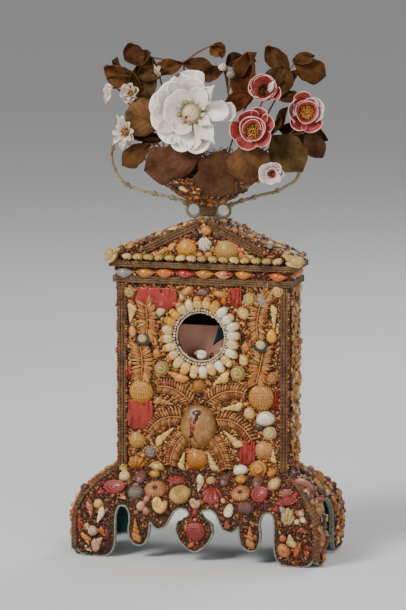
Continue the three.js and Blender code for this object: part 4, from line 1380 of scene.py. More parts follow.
@dataclass(frozen=True)
class Finishes:
    """Every finish of the stand, made once."""

    shell: bpy.types.Material
    glossy: bpy.types.Material
    pearl: bpy.types.Material
    cowrie: bpy.types.Material
    grimy: bpy.types.Material
    gravel: bpy.types.Material
    strip: bpy.types.Material
    level_strip: bpy.types.Material
    pink_paper: bpy.types.Material
    teal_paper: bpy.types.Material
    back_paper: bpy.types.Material
    dark_board: bpy.types.Material
    panel: bpy.types.Material
    ribbon: bpy.types.Material
    cord: bpy.types.Material
    thread: bpy.types.Material
    twig: bpy.types.Material
    moss: bpy.types.Material
    leaf: bpy.types.Material
    white_petal: bpy.types.Material
    rose_petal: bpy.types.Material
    pale_petal: bpy.types.Material
    cream_petal: bpy.types.Material

    @staticmethod
    def make() -> Finishes:
        """Makes them."""
        dark = (0.12, 0.055, 0.025)
        teal = (0.02, 0.055, 0.06)
        recipes = {
            "shell": ShellFinish("old_shell", 0.36),
            "glossy": ShellFinish("glossy_shell", 0.24, 0.0, 0.7, 0.00005, 0.6),
            "pearl": ShellFinish("pearl_shell", 0.27, 7.0, 0.6, 0.00012, 0.4),
            "cowrie": ShellFinish("cowrie_shell", 0.4, 0.0, 0.7, 0.00005, 0.15, 1.0),
            "grimy": ShellFinish("grimy_shell", 0.36, patches=1.0, tone=(0.88, 0.82, 0.74)),
            "gravel": ShellFinish("shell_gravel", 0.45, 0.0, 0.6, 0.0002, 0.1),
            "strip": WovenFinish("brown_strip", (0.1, 0.04, 0.012), (0.29, 0.14, 0.047), 3.4, -6.8),
            "level_strip": WovenFinish("olive_strip", (0.095, 0.044, 0.014), (0.29, 0.165, 0.06), 3.4, -6.8),
            "pink_paper": PaperFinish("pink_paper", (0.85, 0.44, 0.31), (0.7, 0.33, 0.24)),
            "teal_paper": PaperFinish("teal_paper", teal, (0.012, 0.03, 0.034)),
            # The case back's inner side is painted nearly black: painted shade inside the case.
            "back_paper": PaperFinish("back_paper", (0.2, 0.12, 0.06), (0.11, 0.06, 0.03),
                                      (0.012, 0.009, 0.007), (0.0, 1.0, 0.0)),
            "dark_board": PaperFinish("dark_board", dark, (0.06, 0.028, 0.013)),
            "panel": PetalFinish("coral_panel", (0.23, 0.012, 0.007), (0.34, 0.025, 0.012),
                                 (0.38, 0.045, 0.025), 0.03),
            "ribbon": WovenFinish("ribbon", (0.24, 0.27, 0.2), (0.38, 0.42, 0.33)),
            "cord": WovenFinish("cord", (0.3, 0.23, 0.12), (0.5, 0.41, 0.25), 2.1, -2.1),
            "thread": WovenFinish("thread", (0.6, 0.24, 0.06), (0.7, 0.36, 0.12), 0.7, 1.6),
            "twig": PaperFinish("twig_paper", (0.22, 0.12, 0.055), (0.12, 0.06, 0.03)),
            "moss": PaperFinish("moss", (0.12, 0.062, 0.025), (0.045, 0.024, 0.011)),
            "leaf": LeafFinish("velvet_leaf", (0.128, 0.064, 0.033), (0.28, 0.164, 0.085)),
            "white_petal": PetalFinish("white_petal", (0.5, 0.41, 0.29), (0.82, 0.76, 0.7),
                                       (0.87, 0.8, 0.72), 0.05),
            "rose_petal": PetalFinish("rose_petal", (0.36, 0.1, 0.045), (0.41, 0.066, 0.066),
                                      (0.74, 0.43, 0.35), 0.05),
            "pale_petal": PetalFinish("pale_petal", (0.5, 0.27, 0.24), (0.76, 0.58, 0.56),
                                      (0.82, 0.74, 0.71), 0.08),
            "cream_petal": PetalFinish("cream_petal", (0.36, 0.2, 0.09), (0.62, 0.5, 0.38),
                                       (0.7, 0.62, 0.52), 0.2),
        }
        return Finishes(**{name: recipe.material() for name, recipe in recipes.items()})


def ridged_strip(heap: Heap, start: Sequence[float], end: Sequence[float], width: float, thick: float,
                 out: Vector, seed: int) -> None:
    """Three cords of twisted brown paper side by side on a flat backing.

    Args:
        heap: The piece that it belongs to.
        start: One end, on the middle line of its back, in millimetres.
        end: The other end.
        width: Width in millimetres.
        thick: Thickness in millimetres.
        out: The way that it faces.
        seed: Seed of its unevenness.
    """
    a, b = Vector(start) * MM, Vector(end) * MM
    ahead = (b - a).normalized()
    across = out.cross(ahead)
    count = max(2, round((b - a).length / MM / 0.85))
    backing = [a + out * thick * 0.3 * MM, b + out * thick * 0.3 * MM]
    heap.add(sweep(backing, round_section(width / 2, thick * 0.5 / width), 12, out))
    for row in (-1, 0, 1):
        line = []
        for i in range(count + 1):
            at = a.lerp(b, i / count)
            stray = noise.noise(Vector((i * 0.07, row * 5.0, seed))) * 0.5
            line.append(at + across * (row * width / 3 + stray) * MM
                        + out * (thick * 0.62 + stray * 0.5) * MM)
        twist = 1 if row else -1

        def section(reach: float, turn: float) -> Pair:
            """A cord of two strands."""
            radius = width / 5.4 * (0.9 + 0.16 * math.cos(2 * turn - twist * reach * 2 * math.pi / 3.4))
            return radius * MM * math.cos(turn), radius * MM * math.sin(turn)

        heap.add(sweep(line, section, 8, out))


@dataclass
class CaseFront:
    """The front of the case: porthole ring, spider, fern sprays and single shells."""

    work: Shellwork
    finishes: Finishes
    hole_radius: float = 21.25
    ring_count: int = 24
    bead_count: int = 58
    carrier: Carrier = field(init=False)
    face: float = field(init=False)
    porthole: Vector = field(init=False)

    def __post_init__(self) -> None:
        """Reads the board's face and the hole's middle from the solids."""
        low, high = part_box("porthole_ring")
        self.porthole = (low + high) / 2
        self.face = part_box("case_front")[0].y
        self.carrier = Carrier(["case_front"], lambda centre, normal: normal.y < -0.9)

    def build(self) -> None:
        """Builds every piece of the front."""
        self.ground()
        self.panels()
        self.ring()
        self.rim()
        self.spider()
        self.ferns()
        self.singles()
        self.interior()

    def ground(self) -> None:
        """The dark gravel between the shells."""
        heap = Heap("front_gravel", 11)
        self.work.crust(heap, self.carrier, 1.9, (1.9, 3.3), FRONT_GROUND, 12)
        heap.build(self.finishes.gravel, "crusted_board")

    def panels(self) -> None:
        """Pieces of crinkled coral petal shell that show between the shells."""
        bench = self.work.cabinet.bench

        def crinkled(u: float, v: float) -> Triple:
            """A flat piece with upright folds."""
            fold = 0.6 + 0.7 * noise.noise(Vector((u * 6.0, v * 1.2,
                                                   3.1))) + 0.4 * noise.noise(Vector((u * 15, v * 4, 9)))
            rag = 0.16 * noise.noise(Vector((u * 6, 4, v * 2)))
            return u + rag * (2 * v - 1), v + rag * abs(2 * u - 1) + 0.1 * abs(2 * u - 1) ** 3 * (1 - v), fold

        form = bench.sheet(30, 18, crinkled, lambda u, v: 0.75 + 0.25 * v, 0.03).fitted()
        spots = ((157, 298, 44, 23), (236, 297, 13, 20), (141, 414, 27, 32), (248, 452, 16, 26),
                 (132, 372, 10, 13), (277, 400, 5, 22))
        heap = Heap("front_coral_panels", 13)
        for column, row, width, height in spots:
            seat = self.carrier.hit(self.work.view.eye(), self.work.view.ray(column, row))
            if seat:
                unit = self.work.view.scale(seat.at)
                place = seat.frame() @ Matrix.Diagonal((width * unit, height * unit, 3.2 * MM, 1.0))
                heap.add(form, Matrix.Translation((0, -0.0006, 0)) @ place, (1, 1, 1), 0.1)
        heap.build(self.finishes.panel, "crusted_board")

    def ring(self) -> None:
        """Cream, yellow and white shells set outwards round the hole."""
        heap = Heap("porthole_shell_ring", 14)
        warm = (Tint.PALE_YELLOW, Tint.CREAM, Tint.YELLOW, Tint.CREAM)
        cool = (Tint.WHITE, Tint.CREAM, Tint.WHITE, Tint.PALE_YELLOW)
        for i in range(self.ring_count):
            angle = 2 * math.pi * (i + 0.3) / self.ring_count
            reach = 30.2 + heap.chance.uniform(-0.6, 0.8)
            outwards = Vector((math.cos(angle), 0, math.sin(angle)))
            seat = Seat(self.porthole.copy() + outwards * reach * MM, FRONT)
            seat.at.y = self.face - 0.0006
            tints = cool if math.cos(angle + 0.5) > 0.1 else warm
            size = (heap.chance.uniform(8.4, 9.8), heap.chance.uniform(10.6, 13.0),
                    heap.chance.uniform(5.2, 6.6))
            turn = math.degrees(angle) - 90 + heap.chance.uniform(-9, 9)
            self.work.glue(heap, seat, Kind.OVAL, size, heap.chance.choice(tints), turn, 0.0, 6.0)
            if i % 4 != 3:
                tip = Seat(seat.at + outwards * 3.6 * MM, FRONT)
                colour = Tint.CREAM if tints is cool else heap.chance.choice((Tint.YELLOW, Tint.HONEY,
                                                                              Tint.OCHRE))
                self.work.glue(heap, tip, Kind.OVAL, (size[0] * 0.86, size[1] * 0.5, size[2] * 1.06),
                               colour, turn, 0.2)
        for i in range(self.bead_count):
            angle = 2 * math.pi * i / self.bead_count
            outwards = Vector((math.cos(angle), 0, math.sin(angle)))
            seat = Seat(self.porthole + outwards * (24.0 + heap.chance.uniform(-0.3, 0.3)) * MM, FRONT)
            seat.at.y = self.face - 0.0016
            size = heap.chance.uniform(1.9, 2.6)
            self.work.glue(heap, seat, Kind.BEAD, (size, size, 2.2), Tint.WHITE, 0.0)
            if i % 2 == 0:
                outer = Seat(self.porthole + outwards * 26.6 * MM, FRONT)
                outer.at.y = self.face - 0.0012
                self.work.glue(heap, outer, Kind.BEAD, (size * 0.8, size * 0.8, 2.0), Tint.WHITE, 0.0)
        heap.build(self.finishes.pearl, "pale_shell", "porthole_ring")

    def rim(self) -> None:
        """The pale beaded wire that lines the edge of the hole."""
        heap = Heap("porthole_rim", 15)
        count = 120
        path = [
            Vector((self.porthole.x, self.face, self.porthole.z))
            + Vector((math.cos(2 * math.pi * i / count), 0,
                      math.sin(2 * math.pi * i / count))) * (self.hole_radius + 0.5) * MM
            - Vector((0, 0.0009, 0))
            for i in range(count)
        ]

        def section(reach: float, turn: float) -> Pair:
            """A round wire with small beads."""
            radius = 0.85 * (0.86 + 0.14 * math.cos(reach * 3.2))
            return radius * MM * math.cos(turn), radius * MM * math.sin(turn)

        heap.add(sweep(path, section, 8, FRONT, True), AS_MODELLED, Tint.WHITE.rgb(), 0.0)
        heap.build(self.finishes.pearl, "pale_shell")

    def spider(self) -> None:
        """A spider: a sea-snail body, six legs of two rows of grains along a cord, turrets between."""
        bench = self.work.cabinet.bench

        def body(u: float, v: float) -> Triple:
            """A broad smooth body whorl with a dented mouth and a cracked seam."""
            angle, tall = (u - 0.5) * 2, (v - 0.5) * 2
            wide = math.sqrt(max(0.0, 1 - abs(tall) ** 2.3))
            x = angle * wide * (1 + 0.1 * tall) - 0.06 * tall
            dome = max(0.0, 1 - x * x - 0.92 * tall * tall) ** 0.55
            mouth = 0.05 * math.exp(-(((x + 0.12) / 0.2) ** 2) - ((tall - 0.62) / 0.16) ** 2)
            line = -0.2 - 0.12 * math.sin(3 * tall + 1)
            crack = 0.1 * math.exp(-(((x - line) / 0.05) ** 2)) if -0.75 < tall < 0.45 else 0.0
            return x, tall, dome - mouth - crack

        def mottle_and_shade(u: float, v: float) -> float:
            """Painted shade in the mouth and towards the rim, a darker crack, and mottling."""
            angle, tall = (u - 0.5) * 2, (v - 0.5) * 2
            x = angle * math.sqrt(max(0.0, 1 - abs(tall) ** 2.3))
            line = -0.2 - 0.12 * math.sin(3 * tall + 1)
            mouth = math.exp(-(((x + 0.12) / 0.15) ** 2) - ((tall - 0.62) / 0.11) ** 2)
            crack = math.exp(-(((x - line) / 0.06) ** 2)) if -0.75 < tall < 0.45 else 0.0
            cloud = 0.5 + 0.5 * noise.noise(Vector((x * 3.2, tall * 2.4, 1.7)))
            rim = min(1.0, math.hypot(x, tall)) ** 4
            return max(0.1, 1.35 - 0.85 * min(1.0, mouth * 1.3) - 0.6 * crack - 0.6 * cloud - 0.45 * rim)

        form = bench.sheet(56, 48, body, mottle_and_shade).fitted()
        low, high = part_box("spider_body_cowrie")
        heap = Heap("spider_body", 16)
        seat = Seat(Vector(((low.x + high.x) / 2, self.face, (low.z + high.z) / 2)), FRONT)
        size = Matrix.Diagonal((high.x - low.x, high.z - low.z, 0.0115, 1.0))
        heap.add(form, seat.frame() @ size, (0.36, 0.165, 0.048), 0.0)
        marks = (
            # The dark bead is painted shade in the mouth's hole, with a pale spot in it; the chips are the red and
            # dark crack.
            Spot(Kind.BEAD, 196.5, 413, 9, 6, Tint.DARK, 0, 1.5, -0.1),
            Spot(Kind.OVAL, 196.2, 413.6, 4.2, 2.6, Tint.TAN, 80, 1.0, 0.95),
            Spot(Kind.CHIP, 196.5, 418, 5, 5, Tint.DARK, 30, 1.6, -0.2),
            Spot(Kind.CHIP, 194.5, 422, 4, 6, Tint.RED, 10, 1.6, -0.2),
            Spot(Kind.CHIP, 192.5, 427, 4, 6, Tint.RUST, 60, 1.6, -0.2),
            Spot(Kind.CHIP, 192, 431, 5, 6, Tint.RED, 0, 1.6, -0.2),
            Spot(Kind.CHIP, 191, 436, 4, 6, Tint.DARK, -20, 1.6, -0.2),
            Spot(Kind.CHIP, 190, 440, 3, 5, Tint.RUST, 10, 1.4, -0.2),
        )
        self.work.seen(heap, Carrier(["spider_body_cowrie"]), marks)
        heap.build(self.finishes.cowrie, "pale_shell", "spider_body_cowrie")
        legs = {
            "upper_left": ((192, 402), (176, 383), (158, 386)),
            "upper_right": ((208, 402), (226, 385), (246, 393)),
            "middle_left": ((183, 417), (160, 412), (149, 432)),
            "middle_right": ((217, 419), (240, 416), (253, 440)),
            "lower_left": ((186, 434), (170, 446), (171, 471)),
            "lower_right": ((212, 437), (224, 448), (228, 472)),
        }
        for name, knots in legs.items():
            self.leg(name, [Vector((*knot, 0)) for knot in knots])

    def leg(self, name: str, knots: Sequence[Vector]) -> None:
        """One leg.

        Args:
            name: Which leg.
            knots: Start, bend and end in picture units.
        """
        line = self.drawn(knots, 14, 2.6)
        heap = Heap("spider_leg_grains_" + name, 17)
        total = len(line) - 1
        count = 15
        for i in range(count):
            t = (i + 0.3) / count
            k = min(int(t * total), total - 1)
            at = line[k].lerp(line[k + 1], t * total - k)
            ahead = (line[k + 1] - line[k]).normalized()
            across = ahead.cross(FRONT)
            taper = 1.04 - 0.3 * t
            for side in (-1, 1):
                outwards = (across * side + ahead * 0.45).normalized()
                turn = self.turned(at, outwards)
                grain = Seat(at + outwards * 3.9 * taper * MM, FRONT)
                tint = heap.chance.choice((Tint.HONEY, Tint.TAN, Tint.OCHRE, Tint.TAN, Tint.RUST))
                self.work.glue(heap, grain, Kind.SEED, (2.5, 7.0 * taper, 3.2), tint, turn, -1.2, -10.0)
                tip = Seat(at + outwards * 7.4 * taper * MM, FRONT)
                end = heap.chance.choice((Tint.PALE_YELLOW, Tint.HONEY, Tint.TAN))
                self.work.glue(heap, tip, Kind.SEED, (1.9, 2.2, 1.8), end, turn, -1.8)
                dark = heap.chance.choice((Tint.PLUM, Tint.DARK, Tint.DARK, Tint.BROWN))
                between = Seat(at + (outwards * 5.0 * taper + ahead * 1.4) * MM, FRONT)
                self.work.glue(heap, between, Kind.SEED, (1.7, 6.4 * taper, 1.6), dark, turn, -2.6)
        heap.build(self.finishes.shell, "orange_shell", "spider_leg_" + name)
        cord = Heap("spider_leg_cord_" + name, 18)
        path = [at + FRONT * 0.0009 for at in line]
        cord.add(sweep(path, round_section(0.75), 8))
        cord.build(self.finishes.thread, "orange_shell")

    def drawn(self, knots: Sequence[Vector], steps: int, rise: float) -> list[Vector]:
        """A curve read from the picture and laid over the board.

        Args:
            knots: Start, bend and end in picture units.
            steps: Number of its parts.
            rise: Height over the board in millimetres.

        Returns:
            Points of the curve in metres.
        """
        start, bend, end = knots
        line = []
        for i in range(steps + 1):
            t = i / steps
            at = start * (1 - t) ** 2 + bend * 2 * t * (1 - t) + end * t * t
            seat = self.carrier.hit(self.work.view.eye(), self.work.view.ray(at.x, at.y))
            if seat:
                line.append(seat.at + FRONT * rise * MM)
        return line

    @staticmethod
    def turned(at: Vector, outwards: Vector) -> float:
        """Turn in degrees of a shell on the board whose length follows a direction."""
        local = Seat(at, FRONT).frame().to_3x3().transposed() @ outwards
        return math.degrees(math.atan2(-local.x, local.y))

    def ferns(self) -> None:
        """Four sprays of slender shells fanned on both sides of a curved stem."""
        heap = Heap("fern_spray_shells", 19)
        cords = Heap("fern_spray_stems", 20)
        sprays = (
            ((146, 304), (150, 318), (147, 336), 12.5),
            ((270, 290), (254, 310), (259, 339), 11.0),
            ((141, 346), (145, 360), (142, 379), 13.0),
            ((264, 350), (262, 364), (257, 383), 13.0),
        )
        tints = (Tint.PEACH, Tint.ORANGE, Tint.TAN, Tint.HONEY, Tint.PEACH, Tint.OCHRE, Tint.PALE_YELLOW)
        for a, b, c, reach in sprays:
            line = self.drawn([Vector((*knot, 0)) for knot in (a, b, c)], 14, 2.6)
            for i, (p, q) in enumerate(zip(line, line[1:])):
                ahead = (q - p).normalized()
                for side, row in ((-1, 0.0), (1, 0.2), (-1, 0.35), (1, 0.5), (-1, 0.7), (1, 0.85)):
                    droop = 0.9 * math.cos(math.pi * i / (len(line) - 2))
                    outwards = (ahead.cross(FRONT) * side - ahead * droop).normalized()
                    length = reach * heap.chance.uniform(0.62, 0.95)
                    seat = Seat(p.lerp(q, row) + outwards * length * 0.5 * MM, FRONT)
                    turn = self.turned(seat.at, outwards) + heap.chance.uniform(-9, 9)
                    lift = heap.chance.uniform(-1.6, 0.4)
                    self.work.glue(heap, seat, Kind.RICE, (1.9, length, 2.2), heap.chance.choice(tints),
                                   turn, lift, 5.0)
            cords.add(sweep([at + FRONT * 0.001 for at in line], round_section(0.6), 6))
        heap.build(self.finishes.shell, "orange_shell")
        cords.build(self.finishes.thread, "orange_shell")

    def singles(self) -> None:
        """The single shells, where the photograph shows them."""
        button, turret, oval, whelk = Kind.BUTTON, Kind.TURRET, Kind.OVAL, Kind.WHELK
        spots = (
            Spot(button, 130, 292, 12, 12, Tint.OLIVE),
            Spot(turret, 132, 312, 11, 20, Tint.PALE_YELLOW, 170),
            Spot(oval, 133, 331, 8, 12, Tint.PEACH, 10),
            Spot(Kind.BEAD, 144, 339, 16, 15, Tint.SLATE, 0, 6.0, 0.6),
            Spot(button, 144, 337.5, 9, 8, Tint.CREAM, 0, 4.0, 5.0),
            Spot(oval, 161, 311, 11, 9, Tint.CREAM, 40),
            Spot(oval, 155, 341, 7, 10, Tint.HONEY),
            Spot(oval, 157, 353, 9, 10, Tint.OCHRE),
            Spot(button, 162, 368, 15, 15, Tint.OLIVE, 30),
            Spot(whelk, 179, 376, 11, 24, Tint.HONEY, 66),
            Spot(whelk, 223, 378, 12, 20, Tint.PALE_YELLOW, 118),
            Spot(Kind.LIMPET, 199, 386, 14, 15, Tint.OCHRE),
            Spot(Kind.BEAD, 208, 382, 5, 5, Tint.YELLOW),
            Spot(button, 155, 377, 8, 7, Tint.BROWN),
            Spot(Kind.SEED, 132, 374, 6, 9, Tint.RED),
            Spot(Kind.COCKLE, 142, 391, 26, 26, Tint.YELLOW, 180, 7.5),
            Spot(Kind.COCKLE, 262, 397, 28, 28, Tint.HONEY, 180, 8.0),
            Spot(Kind.CHIP, 187, 291, 16, 9, Tint.PEACH, 20),
            Spot(Kind.CHIP, 182, 297, 9, 7, Tint.CREAM, 70),
            Spot(Kind.CHIP, 220, 294, 15, 9, Tint.HONEY, -20),
            Spot(Kind.CHIP, 224, 301, 8, 9, Tint.ORANGE, 40),
            Spot(oval, 203, 292, 12, 8, Tint.MAUVE, 0, 4.0),
            Spot(button, 250, 299, 13, 14, Tint.OLIVE, 100),
            Spot(whelk, 263, 299, 12, 18, Tint.GREY, -10),
            Spot(button, 278, 291, 13, 14, Tint.PALE_YELLOW, 200),
            Spot(turret, 274, 316, 8, 26, Tint.PALE_YELLOW, 180),
            Spot(oval, 272, 336, 11, 15, Tint.YELLOW),
            Spot(oval, 244, 313, 13, 12, Tint.PALE_YELLOW, -40),
            Spot(Kind.BEAD, 262, 346, 17, 16, Tint.SLATE, 0, 6.0, 0.6),
            Spot(button, 262, 344, 10, 9, Tint.CREAM, 160, 4.0, 5.0),
            Spot(oval, 246, 347, 9, 10, Tint.HONEY),
            Spot(oval, 244, 360, 10, 12, Tint.PALE_YELLOW, 15),
            Spot(button, 238, 373, 15, 16, Tint.OLIVE, 60),
            Spot(button, 272, 378, 12, 13, Tint.TAN, 120),
            Spot(oval, 250, 413, 12, 13, Tint.PALE_YELLOW),
            Spot(oval, 266, 418, 20, 15, Tint.WHITE, 10, 7.5),
            Spot(button, 270, 433, 14, 14, Tint.CREAM, 90),
            Spot(Kind.BEAD, 259, 427, 10, 8, Tint.SLATE),
            Spot(Kind.LIMPET, 137, 440, 18, 18, Tint.SAND, 0, 5.0),
            Spot(Kind.LIMPET, 264, 450, 21, 19, Tint.PEACH, 0, 5.5),
            Spot(button, 151, 452, 12, 12, Tint.GREY, 40),
            Spot(Kind.SCALLOP, 137, 462, 19, 15, Tint.OCHRE, 0, 6.0),
            Spot(button, 259, 469, 19, 18, Tint.HONEY, 200, 8.0),
            Spot(oval, 241, 470, 16, 12, Tint.WHITE, 20, 6.5),
            Spot(turret, 164, 402, 9, 22, Tint.TAN, -102),
            Spot(turret, 233, 407, 9, 24, Tint.PALE_YELLOW, 100),
            Spot(turret, 165, 436, 9, 27, Tint.PALE_YELLOW, -48),
            Spot(turret, 234, 439, 10, 25, Tint.PALE_YELLOW, 48),
            Spot(turret, 183, 461, 8, 19, Tint.PALE_YELLOW, -14),
            Spot(turret, 213, 462, 9, 22, Tint.CREAM, 24),
            Spot(Kind.LIMPET, 197, 459, 23, 23, Tint.OCHRE, 0, 6.0),
            Spot(turret, 274, 456, 7, 15, Tint.PALE_YELLOW, 0),
        )
        heap = Heap("front_single_shells", 21)
        self.work.seen(heap, self.carrier, spots)
        heap.build(self.finishes.shell, "pale_shell", "cockle_left", "cockle_right", "limpet_orange")

    def interior(self) -> None:
        """The few shells that lie behind the hole, on a bed of dark paper below its edge."""
        heap = Heap("chamber_shells", 22)
        floor = self.porthole.z - 0.0215
        bench = self.work.cabinet.bench
        shelf = bench.sheet(8, 4, lambda u, v: (u, v, 0.1 * math.sin(9 * u) * v), wall=0.15).fitted()
        place = Matrix.Translation((self.porthole.x, -0.0045,
                                    floor - 0.006)) @ Matrix.Diagonal((0.052, 0.018, 0.0035, 1))
        bed = Heap("chamber_bed", 23)
        bed.add(shelf, place)
        bed.build(self.finishes.dark_board, "dark_lining")
        fold = bench.sheet(
            10, 10, lambda u, v: (0.0055 + 0.016 * u + 0.009 * v, 0.004 * u,
                                  0.028 * v - 0.009 + 0.012 * u * (1 - v)), wall=0.0004
        )
        inner_colour = Heap("chamber_lining_fold", 24)
        inner_colour.add(fold, Matrix.Translation((self.porthole.x, 0.0015, self.porthole.z - 0.002)))
        inner_colour.build(self.finishes.teal_paper, "dark_lining")
        rows = (
            (Kind.SNAIL, -0.002, -0.0085, (12.0, 10.5, 7.0), Tint.WHITE, 150),
            (Kind.SNAIL, -0.0052, -0.002, (12.0, 10.0, 8.0), Tint.BROWN, 30),
            (Kind.SNAIL, 0.0115, -0.003, (7.0, 8.0, 6.0), Tint.PINK, -50),
            (Kind.OVAL, 0.006, 0.0, (6.0, 6.0, 4.0), Tint.PLUM, 10),
        )
        for kind, x, y, size, tint, turn in rows:
            seat = Seat(Vector((self.porthole.x + x, y, floor + 0.001)), Vector((0, -0.6, 0.8)).normalized())
            self.work.glue(heap, seat, kind, size, tint, turn)
        heap.build(self.finishes.shell, "pale_shell")


@dataclass
class CaseBody:
    """Sides and back of the case, its strips and linings."""

    work: Shellwork
    finishes: Finishes

    def build(self) -> None:
        """Builds the strips, dresses the boards and crusts the sides."""
        nodes = bpy.data.objects
        for name in ("case_front", "case_left", "case_right", "cornice_board", "cornice_plate", "roof_left",
                     "roof_right",
                     "gable_front", "gable_back"):
            self.dress(nodes[name], self.finishes.dark_board)
        self.dress(nodes["case_back"], self.finishes.back_paper)
        for name in ("case_floor", "case_top"):
            self.dress(nodes[name], self.finishes.teal_paper)
        self.dress(nodes["watch_rest"], self.finishes.pink_paper)
        self.strips()
        heap = Heap("case_side_shells", 31)
        for side in (-1, 1):
            name = "case_left" if side < 0 else "case_right"
            carrier = Carrier([name], lambda centre, normal, s=side: normal.x * s > 0.9)
            self.work.crust(heap, carrier, 4.4, (4.5, 8.0), SIDE_CRUST, 32 + side)
        heap.build(self.finishes.shell, "crusted_board")
        fill = Heap("case_side_gravel", 33)
        carrier = Carrier(["case_left", "case_right"], lambda centre, normal: abs(normal.x) > 0.9)
        self.work.crust(fill, carrier, 2.8, (2.3, 3.6), GROUND, 34, 6)
        fill.build(self.finishes.gravel, "crusted_board")

    @staticmethod
    def dress(obj: bpy.types.Object, material: bpy.types.Material) -> None:
        """Gives a solid its finish."""
        obj.data.materials.clear()
        obj.data.materials.append(material)

    def strips(self) -> None:
        """Corner strips with a row of dark seeds along their edges."""
        seeds = Heap("corner_strip_seeds", 35)
        for name in ("front_left", "front_right", "back_left", "back_right"):
            low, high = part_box("corner_strip_" + name)
            out = FRONT if "front" in name else -FRONT
            y = high.y if "front" in name else low.y
            middle = (low.x + high.x) / 2 / MM
            heap = Heap("paper_corner_strip_" + name, 36)
            ridged_strip(heap, (middle, y / MM, low.z / MM), (middle, y / MM, high.z / MM),
                         (high.x - low.x) / MM, (high.y - low.y) / MM, out, 3)
            heap.build(self.finishes.strip, "brown_paper_strip", "corner_strip_" + name)
            if "front" in name:
                for x in (low.x - 0.0002, high.x + 0.0002):
                    path = [Vector((x, y - 0.0007, low.z)), Vector((x, y - 0.0007, high.z))]
                    self.work.bead_line(seeds, path, FRONT, 2.4, Kind.SEED, (2.2, 1.9, 2.4),
                                        (Tint.DARK, Tint.PLUM, Tint.RED, Tint.TAN), True)
        seeds.build(self.finishes.gravel, "brown_paper_strip")


